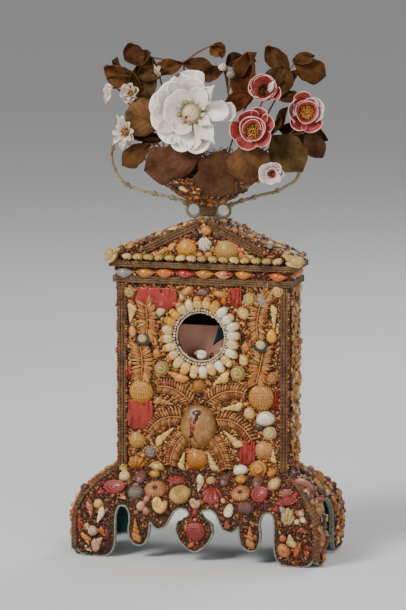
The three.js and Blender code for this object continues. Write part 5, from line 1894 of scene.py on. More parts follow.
@dataclass
class CorniceAndRoof:
    """Cornice strips, frieze, bead row, gable shells, raking strips and the crusted roof."""

    work: Shellwork
    finishes: Finishes

    def build(self) -> None:
        """Builds every piece above the case."""
        self.level_strips()
        self.frieze()
        self.beads()
        self.gable()
        self.raking_strips()
        self.roof()

    def level_strips(self) -> None:
        """The two paper strips bent round the cornice."""
        for name in ("cornice_strip_lower", "cornice_strip_upper"):
            low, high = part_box(name)
            z = (low.z + high.z) / 2 / MM
            x, y = high.x / MM, high.y / MM
            thick, width = 2.6, (high.z - low.z) / MM
            heap = Heap("paper_" + name, 41)
            inner = thick
            for start, end, out in (
                ((-x, -y + inner, z), (x, -y + inner, z), FRONT),
                ((-x, y - inner, z), (x, y - inner, z), -FRONT),
                ((x - inner, -y, z), (x - inner, y, z), RIGHT),
                ((-x + inner, -y, z), (-x + inner, y, z), -RIGHT),
            ):
                ridged_strip(heap, start, end, width, thick, out, 5)
            heap.build(self.finishes.level_strip, "brown_paper_strip", name)

    def frieze(self) -> None:
        """Pointed shells lying along the hollow of the cornice, the same on front and sides."""
        low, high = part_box("cornice_board")
        carrier = Carrier(["cornice_board"])
        heap = Heap("frieze_wedge_shells", 42)
        spots = [
            Spot(Kind.WEDGE, 124.5, 272.5, 21, 11.5, Tint.GREY, 0, 6.5),
            Spot(Kind.WEDGE, 145.5, 272.7, 21, 11.5, Tint.OCHRE, 0, 6.0),
            Spot(Kind.WEDGE, 165, 273, 21, 11.5, Tint.ORANGE, 0, 6.0),
            Spot(Kind.WEDGE, 185, 273.6, 21, 10, Tint.CORAL, -4, 6.0),
            Spot(Kind.WEDGE, 204.7, 274, 21, 11.5, Tint.OCHRE, 0, 6.0),
            Spot(Kind.WEDGE, 224, 274.6, 21, 11, Tint.PEACH, 3, 6.0),
            Spot(Kind.CHIP, 228, 273.5, 12, 5, Tint.CORAL, 0, 4.0, 2.6),
            Spot(Kind.WEDGE, 243.5, 274.7, 20, 11, Tint.OCHRE, -3, 6.0),
            Spot(Kind.SEED, 254, 275, 5, 5, Tint.RED),
            Spot(Kind.SEED, 259, 276, 5, 5, Tint.PLUM),
            Spot(Kind.SEED, 263, 274, 4, 5, Tint.RED),
            Spot(Kind.WEDGE, 278, 277, 21, 11, Tint.ORANGE, -6, 6.0),
        ]
        self.work.seen(heap, carrier, spots)
        z = (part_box("cornice_strip_lower")[1].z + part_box("cornice_strip_upper")[0].z) / 2
        for x, out in ((high.x, 1), (low.x, -1)):
            for y in (-13.0, 0.0, 13.0):
                seat = Seat(Vector((x, y * MM, z)), Vector((out, 0, 0)))
                tint = heap.chance.choice((Tint.OCHRE, Tint.ORANGE, Tint.PEACH))
                self.work.glue(heap, seat, Kind.WEDGE, (16.0, 8.0, 4.0), tint)
        heap.build(self.finishes.glossy, "orange_shell", "frieze_shells")
        fill = Heap("frieze_gravel", 43)
        band = Carrier(["cornice_board"], lambda centre, normal: abs(normal.z) < 0.5 and normal.y < 0.5)
        self.work.crust(fill, band, 2.2, (1.8, 2.8), GROUND, 44)
        fill.build(self.finishes.gravel, "crusted_board")

    def beads(self) -> None:
        """Fifteen pale beads in front of the gable, a yellow-green shell at either end."""
        low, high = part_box("cornice_beads")
        z, y = low.z, (low.y + high.y) / 2
        heap = Heap("cornice_bead_row", 45)
        count = 15
        for i in range(count):
            x = low.x + (high.x - low.x) * (i + 0.5) / count
            size = heap.chance.uniform(9.0, 10.2)
            seat = Seat(Vector((x, y + 0.003, z + 0.0036)), FRONT)
            tint = heap.chance.choice((Tint.PALE_YELLOW, Tint.CREAM, Tint.OLIVE))
            self.work.glue(heap, seat, Kind.OVAL, (5.8, size, 7.0), tint, 90 + heap.chance.uniform(-16, 16))
            dot = Seat(Vector((x + heap.chance.uniform(0.5, 2.0) * MM, y - 0.0034, z + 0.0016)), FRONT)
            self.work.glue(heap, dot, Kind.SEED, (1.8, 2.2, 1.4), Tint.DARK)
        for x, turn, length in ((low.x - 0.008, -62, 18.0), (high.x + 0.010, 64, 22.0)):
            seat = Seat(Vector((x, y + 0.002, z + 0.006)), FRONT)
            self.work.glue(heap, seat, Kind.WHELK, (11.0, length, 8.0), Tint.OLIVE, turn)
            self.work.glue(heap, Seat(seat.at - UP * 0.004, FRONT), Kind.OVAL, (6.0, length * 0.7, 7.0),
                           Tint.CREAM, turn + 20)
        heap.build(self.finishes.shell, "pale_shell", "cornice_beads")
        grit = Heap("cornice_top_gravel", 46)
        ledge = Carrier(["cornice_plate"], lambda centre, normal: normal.z > 0.9)
        self.work.crust(grit, ledge, 3.0, (2.4, 4.2), GROUND, 47, 6)
        grit.build(self.finishes.gravel, "crusted_board")

    def gable(self) -> None:
        """The shells of the front gable."""
        carrier = Carrier(["gable_front"], lambda centre, normal: normal.y < -0.9)
        heap = Heap("gable_front_shells", 48)
        spots = (
            Spot(Kind.LIMPET, 187, 249, 22, 21, Tint.YELLOW, 0, 6.0),
            Spot(Kind.LIMPET, 227, 251, 26, 24, Tint.SAND, 0, 6.5),
            Spot(Kind.SCALLOP, 205, 244, 15, 16, Tint.WHITE, 180, 6.0),
            Spot(Kind.BEAD, 207, 230, 11, 10, Tint.HONEY, 0, 6.0),
            Spot(Kind.SEED, 196, 234, 9, 8, Tint.PLUM),
            Spot(Kind.SEED, 190, 236, 6, 5, Tint.RED),
            Spot(Kind.SEED, 218, 236, 10, 7, Tint.PLUM),
            Spot(Kind.SEED, 224, 238, 6, 5, Tint.RED),
            Spot(Kind.TURRET, 159, 254, 7, 16, Tint.PEACH, -62),
            Spot(Kind.TURRET, 167, 250, 7, 16, Tint.HONEY, -64),
            Spot(Kind.WHELK, 173, 246, 7, 12, Tint.PEACH, -50),
            Spot(Kind.BEAD, 200, 255, 7, 7, Tint.HONEY),
            Spot(Kind.BEAD, 209, 255, 8, 8, Tint.HONEY),
            Spot(Kind.SNAIL, 243, 256, 8, 8, Tint.HONEY),
            Spot(Kind.OVAL, 240, 250, 6, 7, Tint.ORANGE, 30),
            Spot(Kind.WHELK, 250, 257, 7, 12, Tint.PALE_YELLOW, 60),
            Spot(Kind.SNAIL, 257, 260, 7, 7, Tint.CREAM, 60),
            Spot(Kind.OVAL, 264, 262, 6, 7, Tint.OLIVE, 60),
            Spot(Kind.CHIP, 176, 241, 8, 7, Tint.RUST),
            Spot(Kind.CHIP, 237, 243, 9, 7, Tint.ORANGE),
        )
        cones = ((Kind.TURRET, Tint.TAN, 2.0), (Kind.WHELK, Tint.HONEY, 2.0), (Kind.SNAIL, Tint.TAN, 1.2),
                 (Kind.RICE, Tint.PEACH, 1.6))
        self.work.crust(heap, carrier, 3.3, (3.0, 4.6), cones, 57)
        self.work.seen(heap, carrier, spots)
        heap.build(self.finishes.shell, "pale_shell", "gable_shells")
        fill = Heap("gable_gravel", 49)
        both = Carrier(["gable_front", "gable_back"], lambda centre, normal: abs(normal.y) > 0.9)
        self.work.crust(fill, both, 2.4, (2.0, 3.4), GROUND, 50)
        fill.build(self.finishes.gravel, "crusted_board")

    def raking_strips(self) -> None:
        """The two paper strips that rake up the gable."""
        for name in ("raking_strip_left", "raking_strip_right"):
            low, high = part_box(name)
            side = -1 if name.endswith("left") else 1
            far, near = (low.x, high.x) if side < 0 else (high.x, low.x)
            drop = 3.4
            heap = Heap("paper_" + name, 51)
            ridged_strip(
                heap,
                (far / MM - side * 6.0, high.y / MM, low.z / MM + 1.0),
                (near / MM, high.y / MM, high.z / MM - drop),
                7.2, 3.0, FRONT, 7,
            )
            heap.build(self.finishes.strip, "brown_paper_strip", name)

    def roof(self) -> None:
        """The rough shells on the slopes, which stand proud of the eaves."""
        carrier = Carrier(["roof_left", "roof_right"], lambda centre, normal: normal.z > 0.3)
        heap = Heap("roof_shells", 52)
        mix = (
            (Kind.SNAIL, Tint.CREAM, 0.6), (Kind.WHELK, Tint.TAN, 1.8), (Kind.OVAL, Tint.PALE_YELLOW, 0.7),
            (Kind.WEDGE, Tint.TAN, 1.4), (Kind.TURRET, Tint.TAN, 1.4), (Kind.CHIP, Tint.BROWN, 1.4),
            (Kind.SNAIL, Tint.GREY, 0.5), (Kind.OVAL, Tint.BROWN, 1.6),
        )
        self.work.crust(heap, carrier, 4.2, (4.5, 7.5), mix, 53)
        heap.build(self.finishes.shell, "crusted_board")
        fill = Heap("roof_gravel", 54)
        self.work.crust(fill, carrier, 2.5, (2.2, 3.6), GROUND, 55, 6)
        edges = Carrier(["roof_left", "roof_right"], lambda centre, normal: abs(normal.y) > 0.9)
        self.work.crust(fill, edges, 2.2, (2.0, 3.2), GROUND, 56)
        fill.build(self.finishes.gravel, "crusted_board")


@dataclass
class Base:
    """Four flared skirts with scalloped aprons: linings, gravel, shells, strips and ribbon edges."""

    work: Shellwork
    finishes: Finishes
    case_half: Pair = (77.0, 18.5)
    apron: float = 3.5
    ribbon_width: float = 1.7
    case_foot: float = 0.0757
    apron_top: float = 0.055
    edges: dict[str, KDTree] = field(default_factory=dict)

    def build(self) -> None:
        """Builds every piece of the base."""
        sides = {"base_front": FRONT, "base_back": -FRONT, "base_right": RIGHT, "base_left": -RIGHT}
        for name, out in sides.items():
            slanted = (out + UP * 0.4).normalized()
            finish = PaperFinish(name + "_board", (0.085, 0.036, 0.015), (0.045, 0.02, 0.009),
                                 (0.03, 0.085, 0.085), tuple(slanted))
            CaseBody.dress(bpy.data.objects[name], finish.material())
            self.ribbon(name, out)
            self.gravel(name, out)
        self.ridges()
        self.front_shells()
        self.side_shells()

    def outer(self, out: Vector) -> Callable[[Vector, Vector], bool]:
        """Says which faces of a skirt are outside, below the case."""

        def keep(centre: Vector, normal: Vector) -> bool:
            """Whether a face is one of them."""
            facing = normal.dot(out)
            return (facing > 0.25 or normal.z > 0.35) and centre.z < self.case_foot and facing > -0.1

        return keep

    def edge_lines(self, name: str, out: Vector) -> list[list[Vector]]:
        """The lower edge of an apron, from its own outer faces.

        Args:
            name: The skirt.
            out: The way that it faces.

        Returns:
            Lines that run with the board on their upper side.
        """
        carrier = Carrier([name], self.outer(out))
        key = lambda p: (round(p.x, 5), round(p.y, 5), round(p.z, 5))
        used: dict[tuple, int] = {}
        for face in carrier.faces:
            corners = [key(carrier.points[i]) for i in face]
            for a, b in zip(corners, corners[1:] + corners[:1]):
                used[(a, b)] = used.get((a, b), 0) + 1
        loose = {}
        gap = (self.case_half[0] - self.case_half[1]) * MM

        def mitre(p: tuple) -> bool:
            """Whether a corner lies on the mitre."""
            return abs(abs(p[0]) - abs(p[1]) - gap) < 0.0006

        for a, b in used:
            if (b, a) in used or (mitre(a) and mitre(b)) or min(a[2], b[2]) > self.apron_top:
                continue
            loose[a] = b
        starts = [a for a in loose if a not in set(loose.values())] or list(loose)[:1]
        lines = []
        for start in starts:
            line, at = [Vector(start)], start
            while at in loose:
                at = loose.pop(at)
                line.append(Vector(at))
            lines.append(line)
        return lines

    def ribbon(self, name: str, out: Vector) -> None:
        """The pale ribbon that binds the lower edge of an apron.

        Args:
            name: The skirt.
            out: The way that it faces.
        """
        heap = Heap("ribbon_" + name, 61)
        bound = []
        for line in self.edge_lines(name, out):
            fine = []
            for a, b in zip(line, line[1:]):
                count = max(1, math.ceil((b - a).length / (2.0 * MM)))
                fine += [a.lerp(b, i / count) for i in range(count)]
            fine.append(line[-1])
            for _ in range(2):
                fine = [fine[0], *[(a + b * 2 + c) / 4 for a, b, c in zip(fine, fine[1:], fine[2:])],
                        fine[-1]]
            if (fine[-1] - fine[0]).dot(UP.cross(out)) < 0:
                fine.reverse()
            path = [p - out * self.apron / 2 * MM for p in fine]
            bound += fine
            half, thick = self.ribbon_width / 2, self.apron / 2 + 0.6

            def section(reach: float, turn: float) -> Pair:
                """A folded ribbon round the edge of the board."""
                x, y = math.cos(turn), math.sin(turn)
                wave = 1 + 0.07 * math.sin(reach * 1.1)
                return (
                    (half * math.copysign(abs(x) ** 0.5, x) * wave + half * 0.45) * MM,
                    thick * math.copysign(abs(y) ** 0.4, y) * MM,
                )

            form = sweep(path, section, 14, out)
            form.points[:, 2] = np.maximum(form.points[:, 2], 0.00005)
            heap.add(form)
        heap.build(self.finishes.ribbon, "collar_binding")
        tree = KDTree(len(bound))
        for i, at in enumerate(bound):
            tree.insert(at, i)
        tree.balance()
        self.edges[name] = tree

    def clear(self, name: str, gap: float) -> Callable[[Seat], bool]:
        """Says which seats leave the ribbon of a skirt free, by a gap in millimetres."""
        return lambda seat: self.edges[name].find(seat.at)[2] > gap * MM

    def gravel(self, name: str, out: Vector) -> None:
        """The crust of one skirt.

        Args:
            name: The skirt.
            out: The way that it faces.
        """
        heap = Heap("gravel_" + name, 62)
        carrier = Carrier([name], self.outer(out))
        front = name == "base_front"
        spacing, mix = (1.9, DARK_GROUND) if front else (2.4, GROUND)
        self.work.crust(heap, carrier, spacing, (1.6, 2.9), mix, 63 + len(name), 9, self.clear(name, 2.2))
        heap.build(self.finishes.gravel, "crusted_board")

    def curve(self, t: float) -> Pair:
        """Distance from the case and height of the shoulder line, in millimetres."""
        points = ((0.0, 76.0), (29.7, 60.0), (33.0, 36.0))
        weights = ((1 - t) ** 2, 2 * t * (1 - t), t * t)
        return tuple(sum(w * p[i] for w, p in zip(weights, points)) for i in (0, 1))

    def ridges(self) -> None:
        """Brown strips down the four corners of the base, over the mitres."""
        heap = Heap("ridge_strips", 64)
        for sx in (-1, 1):
            for sy in (-1, 1):
                knots = [self.curve(i / 8) for i in range(9)] + [(33.0, z) for z in (28.0, 20.0, 12.0, 6.0)]
                path = [
                    Vector((sx * (self.case_half[0] + d - 0.6), sy * (self.case_half[1] + d - 0.6),
                            z)) * MM for d, z in knots
                ]
                facing = Vector((sx, sy, 0.9)).normalized()

                def section(reach: float, turn: float) -> Pair:
                    """Flat oval with ridges."""
                    x, y = math.cos(turn), math.sin(turn)
                    ridge = 0.3 * math.cos(3 * math.pi * x + reach * 0.3) if y > 0.2 else 0.0
                    return 3.6 * MM * x, 1.9 * MM * y * (1 + ridge)

                heap.add(sweep(path, section, 16, facing))
        heap.build(self.finishes.strip, "brown_paper_strip")

    def front_shells(self) -> None:
        """The shells of the front skirt, where the photograph shows them."""
        carrier = Carrier(["base_front"], self.outer(FRONT))
        snail, turret, oval, whelk, dish = Kind.SNAIL, Kind.TURRET, Kind.OVAL, Kind.WHELK, Kind.DISH
        spots = (
            Spot(whelk, 200, 484, 9, 24, Tint.WHITE, 180),
            Spot(Kind.BUTTON, 211, 481, 10, 9, Tint.CREAM, 30),
            Spot(oval, 125, 477, 12, 13, Tint.CREAM, 10, 6.0),
            Spot(Kind.CHIP, 275, 485, 15, 16, Tint.CREAM, 20, 7.0),
            Spot(oval, 272, 474, 12, 10, Tint.HONEY, 60),
            Spot(dish, 115, 488, 22, 15, Tint.ROSE, 0, 4.0),
            Spot(Kind.COCKLE, 136, 493, 17, 16, Tint.GREY, 0, 6.5),
            Spot(Kind.BUTTON, 136, 486, 7, 6, Tint.PALE_PINK),
            Spot(Kind.URCHIN, 156, 490, 24, 20, Tint.PEACH, 0, 5.5),
            Spot(Kind.URCHIN, 241, 494, 21, 18, Tint.PEACH, 10, 5.0),
            Spot(Kind.COCKLE, 180, 495, 23, 21, Tint.PALE_YELLOW, 200, 7.0),
            Spot(Kind.SCALLOP, 176, 481, 21, 12, Tint.CORAL, 0, 4.5),
            Spot(Kind.BEAD, 155, 475.5, 11, 10, Tint.YELLOW, 0, 5.5),
            Spot(oval, 157, 467.5, 10, 15, Tint.CREAM, 75, 5.5),
            Spot(whelk, 124, 469, 10, 17, Tint.OLIVE, 10, 4.5),
            Spot(Kind.BEAD, 241, 481, 12, 11, Tint.YELLOW, 0, 5.5),
            Spot(oval, 141, 478, 17, 12, Tint.MAUVE, 80, 4.5),
            Spot(oval, 225, 481, 16, 12, Tint.MAUVE, 80, 4.5),
            Spot(oval, 258, 483, 17, 12, Tint.MAUVE, 85, 4.5),
            Spot(Kind.SCALLOP, 212, 496, 22, 21, Tint.CORAL, 180, 4.0),
            Spot(dish, 260, 496, 17, 18, Tint.ROSE, 0, 4.5),
            Spot(oval, 141, 506, 11, 9, Tint.PALE_PINK, 70),
            Spot(oval, 147, 499, 9, 7, Tint.PINK, 60),
            Spot(Kind.SPINDLE, 123, 497, 7, 9, Tint.PEACH, 30),
            Spot(oval, 146, 511, 7, 9, Tint.PINK, 10),
            Spot(snail, 161, 506, 16, 18, Tint.PALE_YELLOW, 20, 7.0),
            Spot(Kind.SEED, 158, 520, 3, 3, Tint.WHITE),
            Spot(Kind.SEED, 160.5, 522, 3, 3, Tint.WHITE),
            Spot(snail, 196, 504, 11, 12, Tint.PALE_PINK, 30),
            Spot(Kind.SEED, 195, 520, 4, 4, Tint.PALE_PINK),
            Spot(Kind.COCKLE, 246, 508, 18, 14, Tint.MAUVE, 180, 5.0),
            Spot(oval, 229, 511, 10, 15, Tint.WHITE, -10),
            Spot(oval, 223, 501, 5, 7, Tint.CREAM, 30),
            Spot(snail, 228, 525, 7, 8, Tint.RUST),
            Spot(turret, 137, 530, 10, 25, Tint.HONEY, 4, 5.0),
            Spot(turret, 251, 537, 10, 24, Tint.HONEY, 0, 5.0),
            Spot(Kind.COCKLE, 196, 531, 21, 22, Tint.CORAL, 180, 6.5),
            Spot(Kind.CHIP, 186, 526, 4, 14, Tint.PEACH, 10),
            Spot(Kind.CHIP, 191, 545, 8, 6, Tint.ORANGE, 10),
            Spot(oval, 99, 504, 10, 10, Tint.PALE_YELLOW, 10, 5.5),
            Spot(Kind.SPINDLE, 90, 509, 8, 18, Tint.PINK, 188),
            Spot(whelk, 101, 514, 8, 19, Tint.WHITE, 158),
            Spot(oval, 93, 530, 10, 11, Tint.WHITE, 30, 5.5),
            Spot(oval, 87, 526, 6, 8, Tint.CREAM, -10),
            Spot(oval, 102, 530, 6, 9, Tint.ORANGE, 10),
            Spot(Kind.SPINDLE, 86, 538, 7, 16, Tint.PEACH, 205),
            Spot(whelk, 98, 543, 12, 17, Tint.PALE_PINK, -45, 6.0),
            Spot(Kind.SEED, 86, 546, 3, 3, Tint.WHITE),
            Spot(Kind.SEED, 88.5, 549, 4, 3.5, Tint.WHITE),
            Spot(Kind.SEED, 91, 550, 3, 3, Tint.WHITE),
            Spot(Kind.SEED, 85, 517, 3, 3, Tint.WHITE),
            Spot(Kind.SCALLOP, 286, 494, 17, 10, Tint.PINK, 20, 5.0),
            Spot(Kind.SCALLOP, 287, 502, 26, 13, Tint.CORAL, 12, 5.0),
            Spot(Kind.SCALLOP, 288, 517, 15, 19, Tint.CREAM, 4, 6.0),
            Spot(turret, 284, 516, 8, 22, Tint.GREY, 190, 5.0),
            Spot(oval, 301, 514, 6, 8, Tint.PALE_PINK, 40),
            Spot(oval, 303, 520, 8, 6, Tint.WHITE, -30),
            Spot(oval, 297, 522, 6, 6, Tint.CREAM, 80),
            Spot(oval, 283, 538, 8, 8, Tint.ORANGE, 10),
            Spot(whelk, 292, 541, 11, 15, Tint.CREAM, 10, 5.5),
            Spot(oval, 302, 530, 8, 7, Tint.RUST, 10),
            Spot(oval, 284, 550, 13, 15, Tint.PEACH, 40, 5.5),
            Spot(Kind.SPINDLE, 298, 549, 8, 18, Tint.ORANGE, -32),
            Spot(Kind.SEED, 281, 558, 3, 3, Tint.WHITE),
            Spot(Kind.SEED, 286, 559, 3, 3, Tint.WHITE),
        )
        coral = (
            (101, 492, 12, 8), (80, 524, 6, 22), (107, 534, 6, 15), (292, 498, 16, 9), (182, 487, 14, 6),
            (195, 512, 9, 8),
            (277, 488, 8, 8), (206, 486, 9, 7), (229, 488, 8, 6), (276, 510, 5, 12), (309, 548, 6, 14),
            (268, 489, 7, 9),
        )
        spots += tuple(Spot(Kind.CHIP, *place, Tint.CORAL if i % 2 else Tint.RED, 9.0 * i, 2.6) for i,
                       place in enumerate(coral))
        heap = Heap("base_front_shells", 65)
        small = (
            (Kind.OVAL, Tint.BROWN, 1.6), (Kind.BUTTON, Tint.TAN, 0.8), (Kind.CHIP, Tint.RUST, 1.4),
            (Kind.RICE, Tint.TAN, 1.2),
            (Kind.CHIP, Tint.RED, 1.2), (Kind.WEDGE, Tint.PLUM, 1.6), (Kind.TURRET, Tint.TAN, 0.8),
        )
        self.work.crust(heap, carrier, 5.2, (2.8, 4.4), small, 68, 9, self.clear("base_front", 4.2))
        self.work.seen(heap, carrier, spots)
        heap.build(self.finishes.grimy, "pale_shell", "urchin_left", "urchin_right")

    def side_shells(self) -> None:
        """Rough yellow, cream and pink shells on the side skirts, fewer on the back one."""
        for name, out, spacing in (
            ("base_right", RIGHT, 4.8),
            ("base_left", -RIGHT, 4.8),
            ("base_back", -FRONT, 8.0),
        ):
            heap = Heap("rough_shells_" + name, 66)
            carrier = Carrier([name], self.outer(out))
            self.work.crust(heap, carrier, spacing, (4.6, 8.6), BASE_CRUST, 67 + len(name), 9,
                            self.clear(name, 4.6))
            if name == "base_right":
                self.work.seen(heap, carrier, (
                    Spot(Kind.OVAL, 303, 486, 12, 27, Tint.PINK, 48, 6.0),
                    Spot(Kind.OVAL, 309, 489, 8, 20, Tint.MAUVE, 48, 5.0),
                    Spot(Kind.COCKLE, 317, 478, 15, 16, Tint.OCHRE, 180, 7.0),
                    Spot(Kind.WEDGE, 318, 502, 14, 8, Tint.ROSE, 70, 5.0),
                    Spot(Kind.WHELK, 323, 493, 8, 14, Tint.CREAM, 30, 5.0),
                ))
            heap.build(self.finishes.shell, "crusted_board")


@dataclass
class Urn:
    """Pleated collar, ridged stem, shell-crusted bowl and the moss that fills it."""

    work: Shellwork
    finishes: Finishes

    def build(self) -> None:
        """Builds every piece of the urn."""
        self.pleats("urn_collar", "collar_pleat", 20, 1.7, self.finishes.ribbon, "collar_binding", 1.5)
        self.pleats("urn_stem", "stem_ridge", 13, 1.5, self.finishes.twig, "brown_paper_strip", 0.0)
        self.bowl()
        self.moss()

    @staticmethod
    def pleats(node: str, name: str, count: int, radius: float, finish: bpy.types.Material, slot: str,
               flare: float) -> None:
        """Upright rolls set side by side round a short post.

        Args:
            node: The solid that they stand for.
            name: The piece's name.
            count: How many.
            radius: Half a roll's width in millimetres.
            finish: Their finish.
            slot: The record's slot.
            flare: How much further out their lower ends are, in millimetres.
        """
        low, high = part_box(node)
        middle = (low + high) / 2
        reach = (high.x - low.x) / 2
        heap = Heap(name + "s", 71)
        heap.add(
            sweep([Vector((middle.x, middle.y, z)) for z in (low.z, high.z)],
                  round_section(reach / MM - 0.6), 24, FRONT),
        )
        for i in range(count):
            angle = 2 * math.pi * i / count
            out = Vector((math.cos(angle), math.sin(angle), 0))
            line = []
            for k in range(7):
                t = k / 6
                bulge = 0.5 * math.sin(math.pi * t)
                spot = middle + out * (reach + (flare * (1 - t) + bulge - 0.5) * MM)
                line.append(Vector((spot.x, spot.y, low.z + (high.z - low.z) * t)))
            heap.add(sweep(line, round_section(radius, 0.6), 8, out))
        heap.build(finish, slot, node)

    def bowl(self) -> None:
        """Small orange and yellow shells over the outside and the rim of the bowl."""
        bowl = bpy.data.objects["urn_bowl"]
        CaseBody.dress(bowl, self.finishes.dark_board)
        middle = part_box("urn_bowl")[1].z - 0.012

        def outside(centre: Vector, normal: Vector) -> bool:
            """Whether a face is on the outside or on the rim."""
            out = Vector((centre.x, centre.y, 0)).normalized()
            return normal.dot(out) > 0.05 or (normal.z > 0.8 and centre.z > middle + 0.011)

        carrier = Carrier(["urn_bowl"], outside)
        heap = Heap("bowl_crust", 72)
        self.work.crust(heap, carrier, 2.1, (2.0, 3.6), ORANGE_CRUST, 73)
        heap.build(self.finishes.shell, "orange_shell")
        larger = Heap("bowl_shells", 74)
        spots = (
            Spot(Kind.OVAL, 184, 188, 11, 7, Tint.PALE_YELLOW, -30),
            Spot(Kind.WEDGE, 176, 181, 9, 5, Tint.CREAM, -30),
            Spot(Kind.OVAL, 197, 196, 7, 6, Tint.HONEY, 10),
            Spot(Kind.SNAIL, 210, 203, 7, 7, Tint.OCHRE, 40),
            Spot(Kind.OVAL, 222, 200, 7, 6, Tint.HONEY, 60),
            Spot(Kind.OVAL, 239, 192, 8, 6, Tint.PALE_YELLOW, 40),
        )
        self.work.seen(larger, carrier, spots)
        larger.build(self.finishes.shell, "orange_shell")

    def moss(self) -> None:
        """A lumpy heap of dark moss, with loose strands."""
        low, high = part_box("moss_pad")

        def lumps(co: Vector) -> Vector:
            """Clods all over."""
            return co * (1 + 0.14 * noise.noise(co * 3.1) + 0.07 * noise.noise(co * 9.0))

        clod = self.work.cabinet.bench.stone(5, lumps, lambda height: 1.0).fitted()
        place = Matrix.Translation((0, 0,
                                    low.z)) @ Matrix.Diagonal((high.x - low.x, high.y - low.y,
                                                               high.z - low.z, 1))
        pad = Heap("moss_heap", 75)
        pad.add(clod, place)
        pad.build(self.finishes.moss, "moss", "moss_pad")
        strand = Strand.form()
        heap = Heap("moss_strands", 76)
        clouds = (
            (Vector((0, 0, high.z - 0.006)), Vector((0.036, 0.034, 0.009)), 520),
            (Vector((-0.032, -0.013, high.z + 0.001)), Vector((0.012, 0.008, 0.005)), 200),
            (Vector((0.0, -0.012, high.z + 0.004)), Vector((0.034, 0.012, 0.008)), 260),
        )
        for middle, reach, count in clouds:
            for _ in range(count):
                heap.add(strand, Strand.strewn(heap.chance, middle, reach))
        heap.build(self.finishes.moss, "moss")


class Strand:
    """A curled strand of moss or dry grass."""

    @staticmethod
    def form() -> Form:
        """One strand, a metre long, to be scaled."""
        line = [Vector((0.22 * math.sin(2.2 * i / 4), 0.12 * math.cos(3 * i / 4), i / 4)) for i in range(5)]
        return sweep(line, lambda reach, turn: (0.038 * math.cos(turn), 0.038 * math.sin(turn)), 3)

    @staticmethod
    def strewn(chance: random.Random, middle: Vector, reach: Vector) -> Matrix:
        """A random place for a strand.

        Args:
            chance: Source of the randomness.
            middle: Middle of the cloud of strands.
            reach: Half its size along each axis.

        Returns:
            The place.
        """
        while True:
            spot = Vector([chance.uniform(-1, 1) for _ in range(3)])
            if spot.length < 1:
                break
        at = middle + Vector([a * b for a, b in zip(spot, reach)])
        turn = Matrix.Rotation(chance.uniform(0, TURN), 4,
                               "Z") @ Matrix.Rotation(chance.uniform(0, 2.6), 4, "X")
        length = chance.uniform(4, 10)
        return Matrix.Translation(at) @ turn @ sized(length, length, length)


@dataclass
class Handles:
    """Two wire handles wound with cord, each ending in a small ring at the stem."""

    work: Shellwork
    finishes: Finishes
    wire: float = 1.5
    ring: float = 6.2
    reach: float = 13.5
    left: tuple = ((60, 15), (74, 27), (84, 27), (88, 16), (85, 2), (77, -9), (60, -15.5))
    right: tuple = ((58, 8), (70, 14), (79, 11), (81, 4), (77, -3.5), (69, -8), (58, -13.5))

    def build(self) -> None:
        """Builds both handles."""
        for name, side, bends in (("handle_left", -1, self.left), ("handle_right", 1, self.right)):
            self.handle(name, side, bends)

    def wound(self, reach: float, turn: float) -> Pair:
        """Section of the wire with the cord's turns standing out."""
        radius = self.wire * (0.93 + 0.13 * math.cos(turn - reach * 2 * math.pi / 2.1))
        return radius * MM * math.cos(turn), radius * MM * math.sin(turn)

    def handle(self, name: str, side: int, bends: Sequence[Pair]) -> None:
        """One handle.

        Args:
            name: The solid that it stands for.
            side: -1 for the left, 1 for the right.
            bends: Distance out and rise from the rim of each bend, in millimetres.
        """
        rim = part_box("urn_bowl")[1].z / MM
        ring_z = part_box("urn_stem")[0].z / MM + 4.6
        points = [
            (side * 43.4, 0.0, rim - 5.4),
            (side * 45.9, 0.0, rim - 2.0),
            *[(side * x, 0.0, rim + rise) for x, rise in bends],
            (side * (self.reach + 14.9), 0.0, ring_z + 8.7),
            (side * (self.reach + 5.6), 0.0, ring_z + 4.65),
        ]
        heap = Heap(name + "_cord", 81)
        path = smooth_path(points, 0.55)
        slack = [
            at + Vector((0, noise.noise(at * 60) * 1.1, noise.noise(at * 55 + UP * 9) * 0.9)) * MM
            for at in path
        ]
        heap.add(sweep(slack, self.wound, 10))
        count = 96
        ring = [
            Vector((side * self.reach + self.ring * math.cos(2 * math.pi * i / count), 0,
                    ring_z + self.ring * math.sin(2 * math.pi * i / count))) * MM
            for i in range(count)
        ]
        heap.add(sweep(ring, self.wound, 10, FRONT, True))
        for share in (0.03, 0.4, 0.64, 0.8, 0.9, 0.985):
            self.knot(heap, path, share)
        heap.build(self.finishes.cord, "cord_wrap", name)

    def knot(self, heap: Heap, path: Sequence[Vector], share: float) -> None:
        """Three tight turns of cord round the wire, with a loose end.

        Args:
            heap: The handle.
            path: The wire's line.
            share: Place of the knot along it.
        """
        i = min(int(share * len(path)), len(path) - 4)
        at, ahead = path[i], (path[i + 2] - path[i]).normalized()
        second = ahead.cross(FRONT).normalized()
        turns = []
        for k in range(40):
            angle = 2 * math.pi * k / 13
            radius = (self.wire + 0.5) * MM * (1 + 0.1 * math.sin(k))
            turns.append(at + ahead * (k / 40 - 0.5) * 3.4 * MM
                         + (FRONT * math.cos(angle) + second * math.sin(angle)) * radius)
        turns.append(turns[-1] + (ahead * 2.2 - UP * 2.0) * MM)
        heap.add(sweep(turns, round_section(0.55), 6))


class PetalShape(Enum):
    """Petal forms, each cut from a different shell."""

    ROUND = "round"
    POINTED = "pointed"
    TONGUE = "tongue"
    ROLLED = "rolled"
    CUP = "cup"


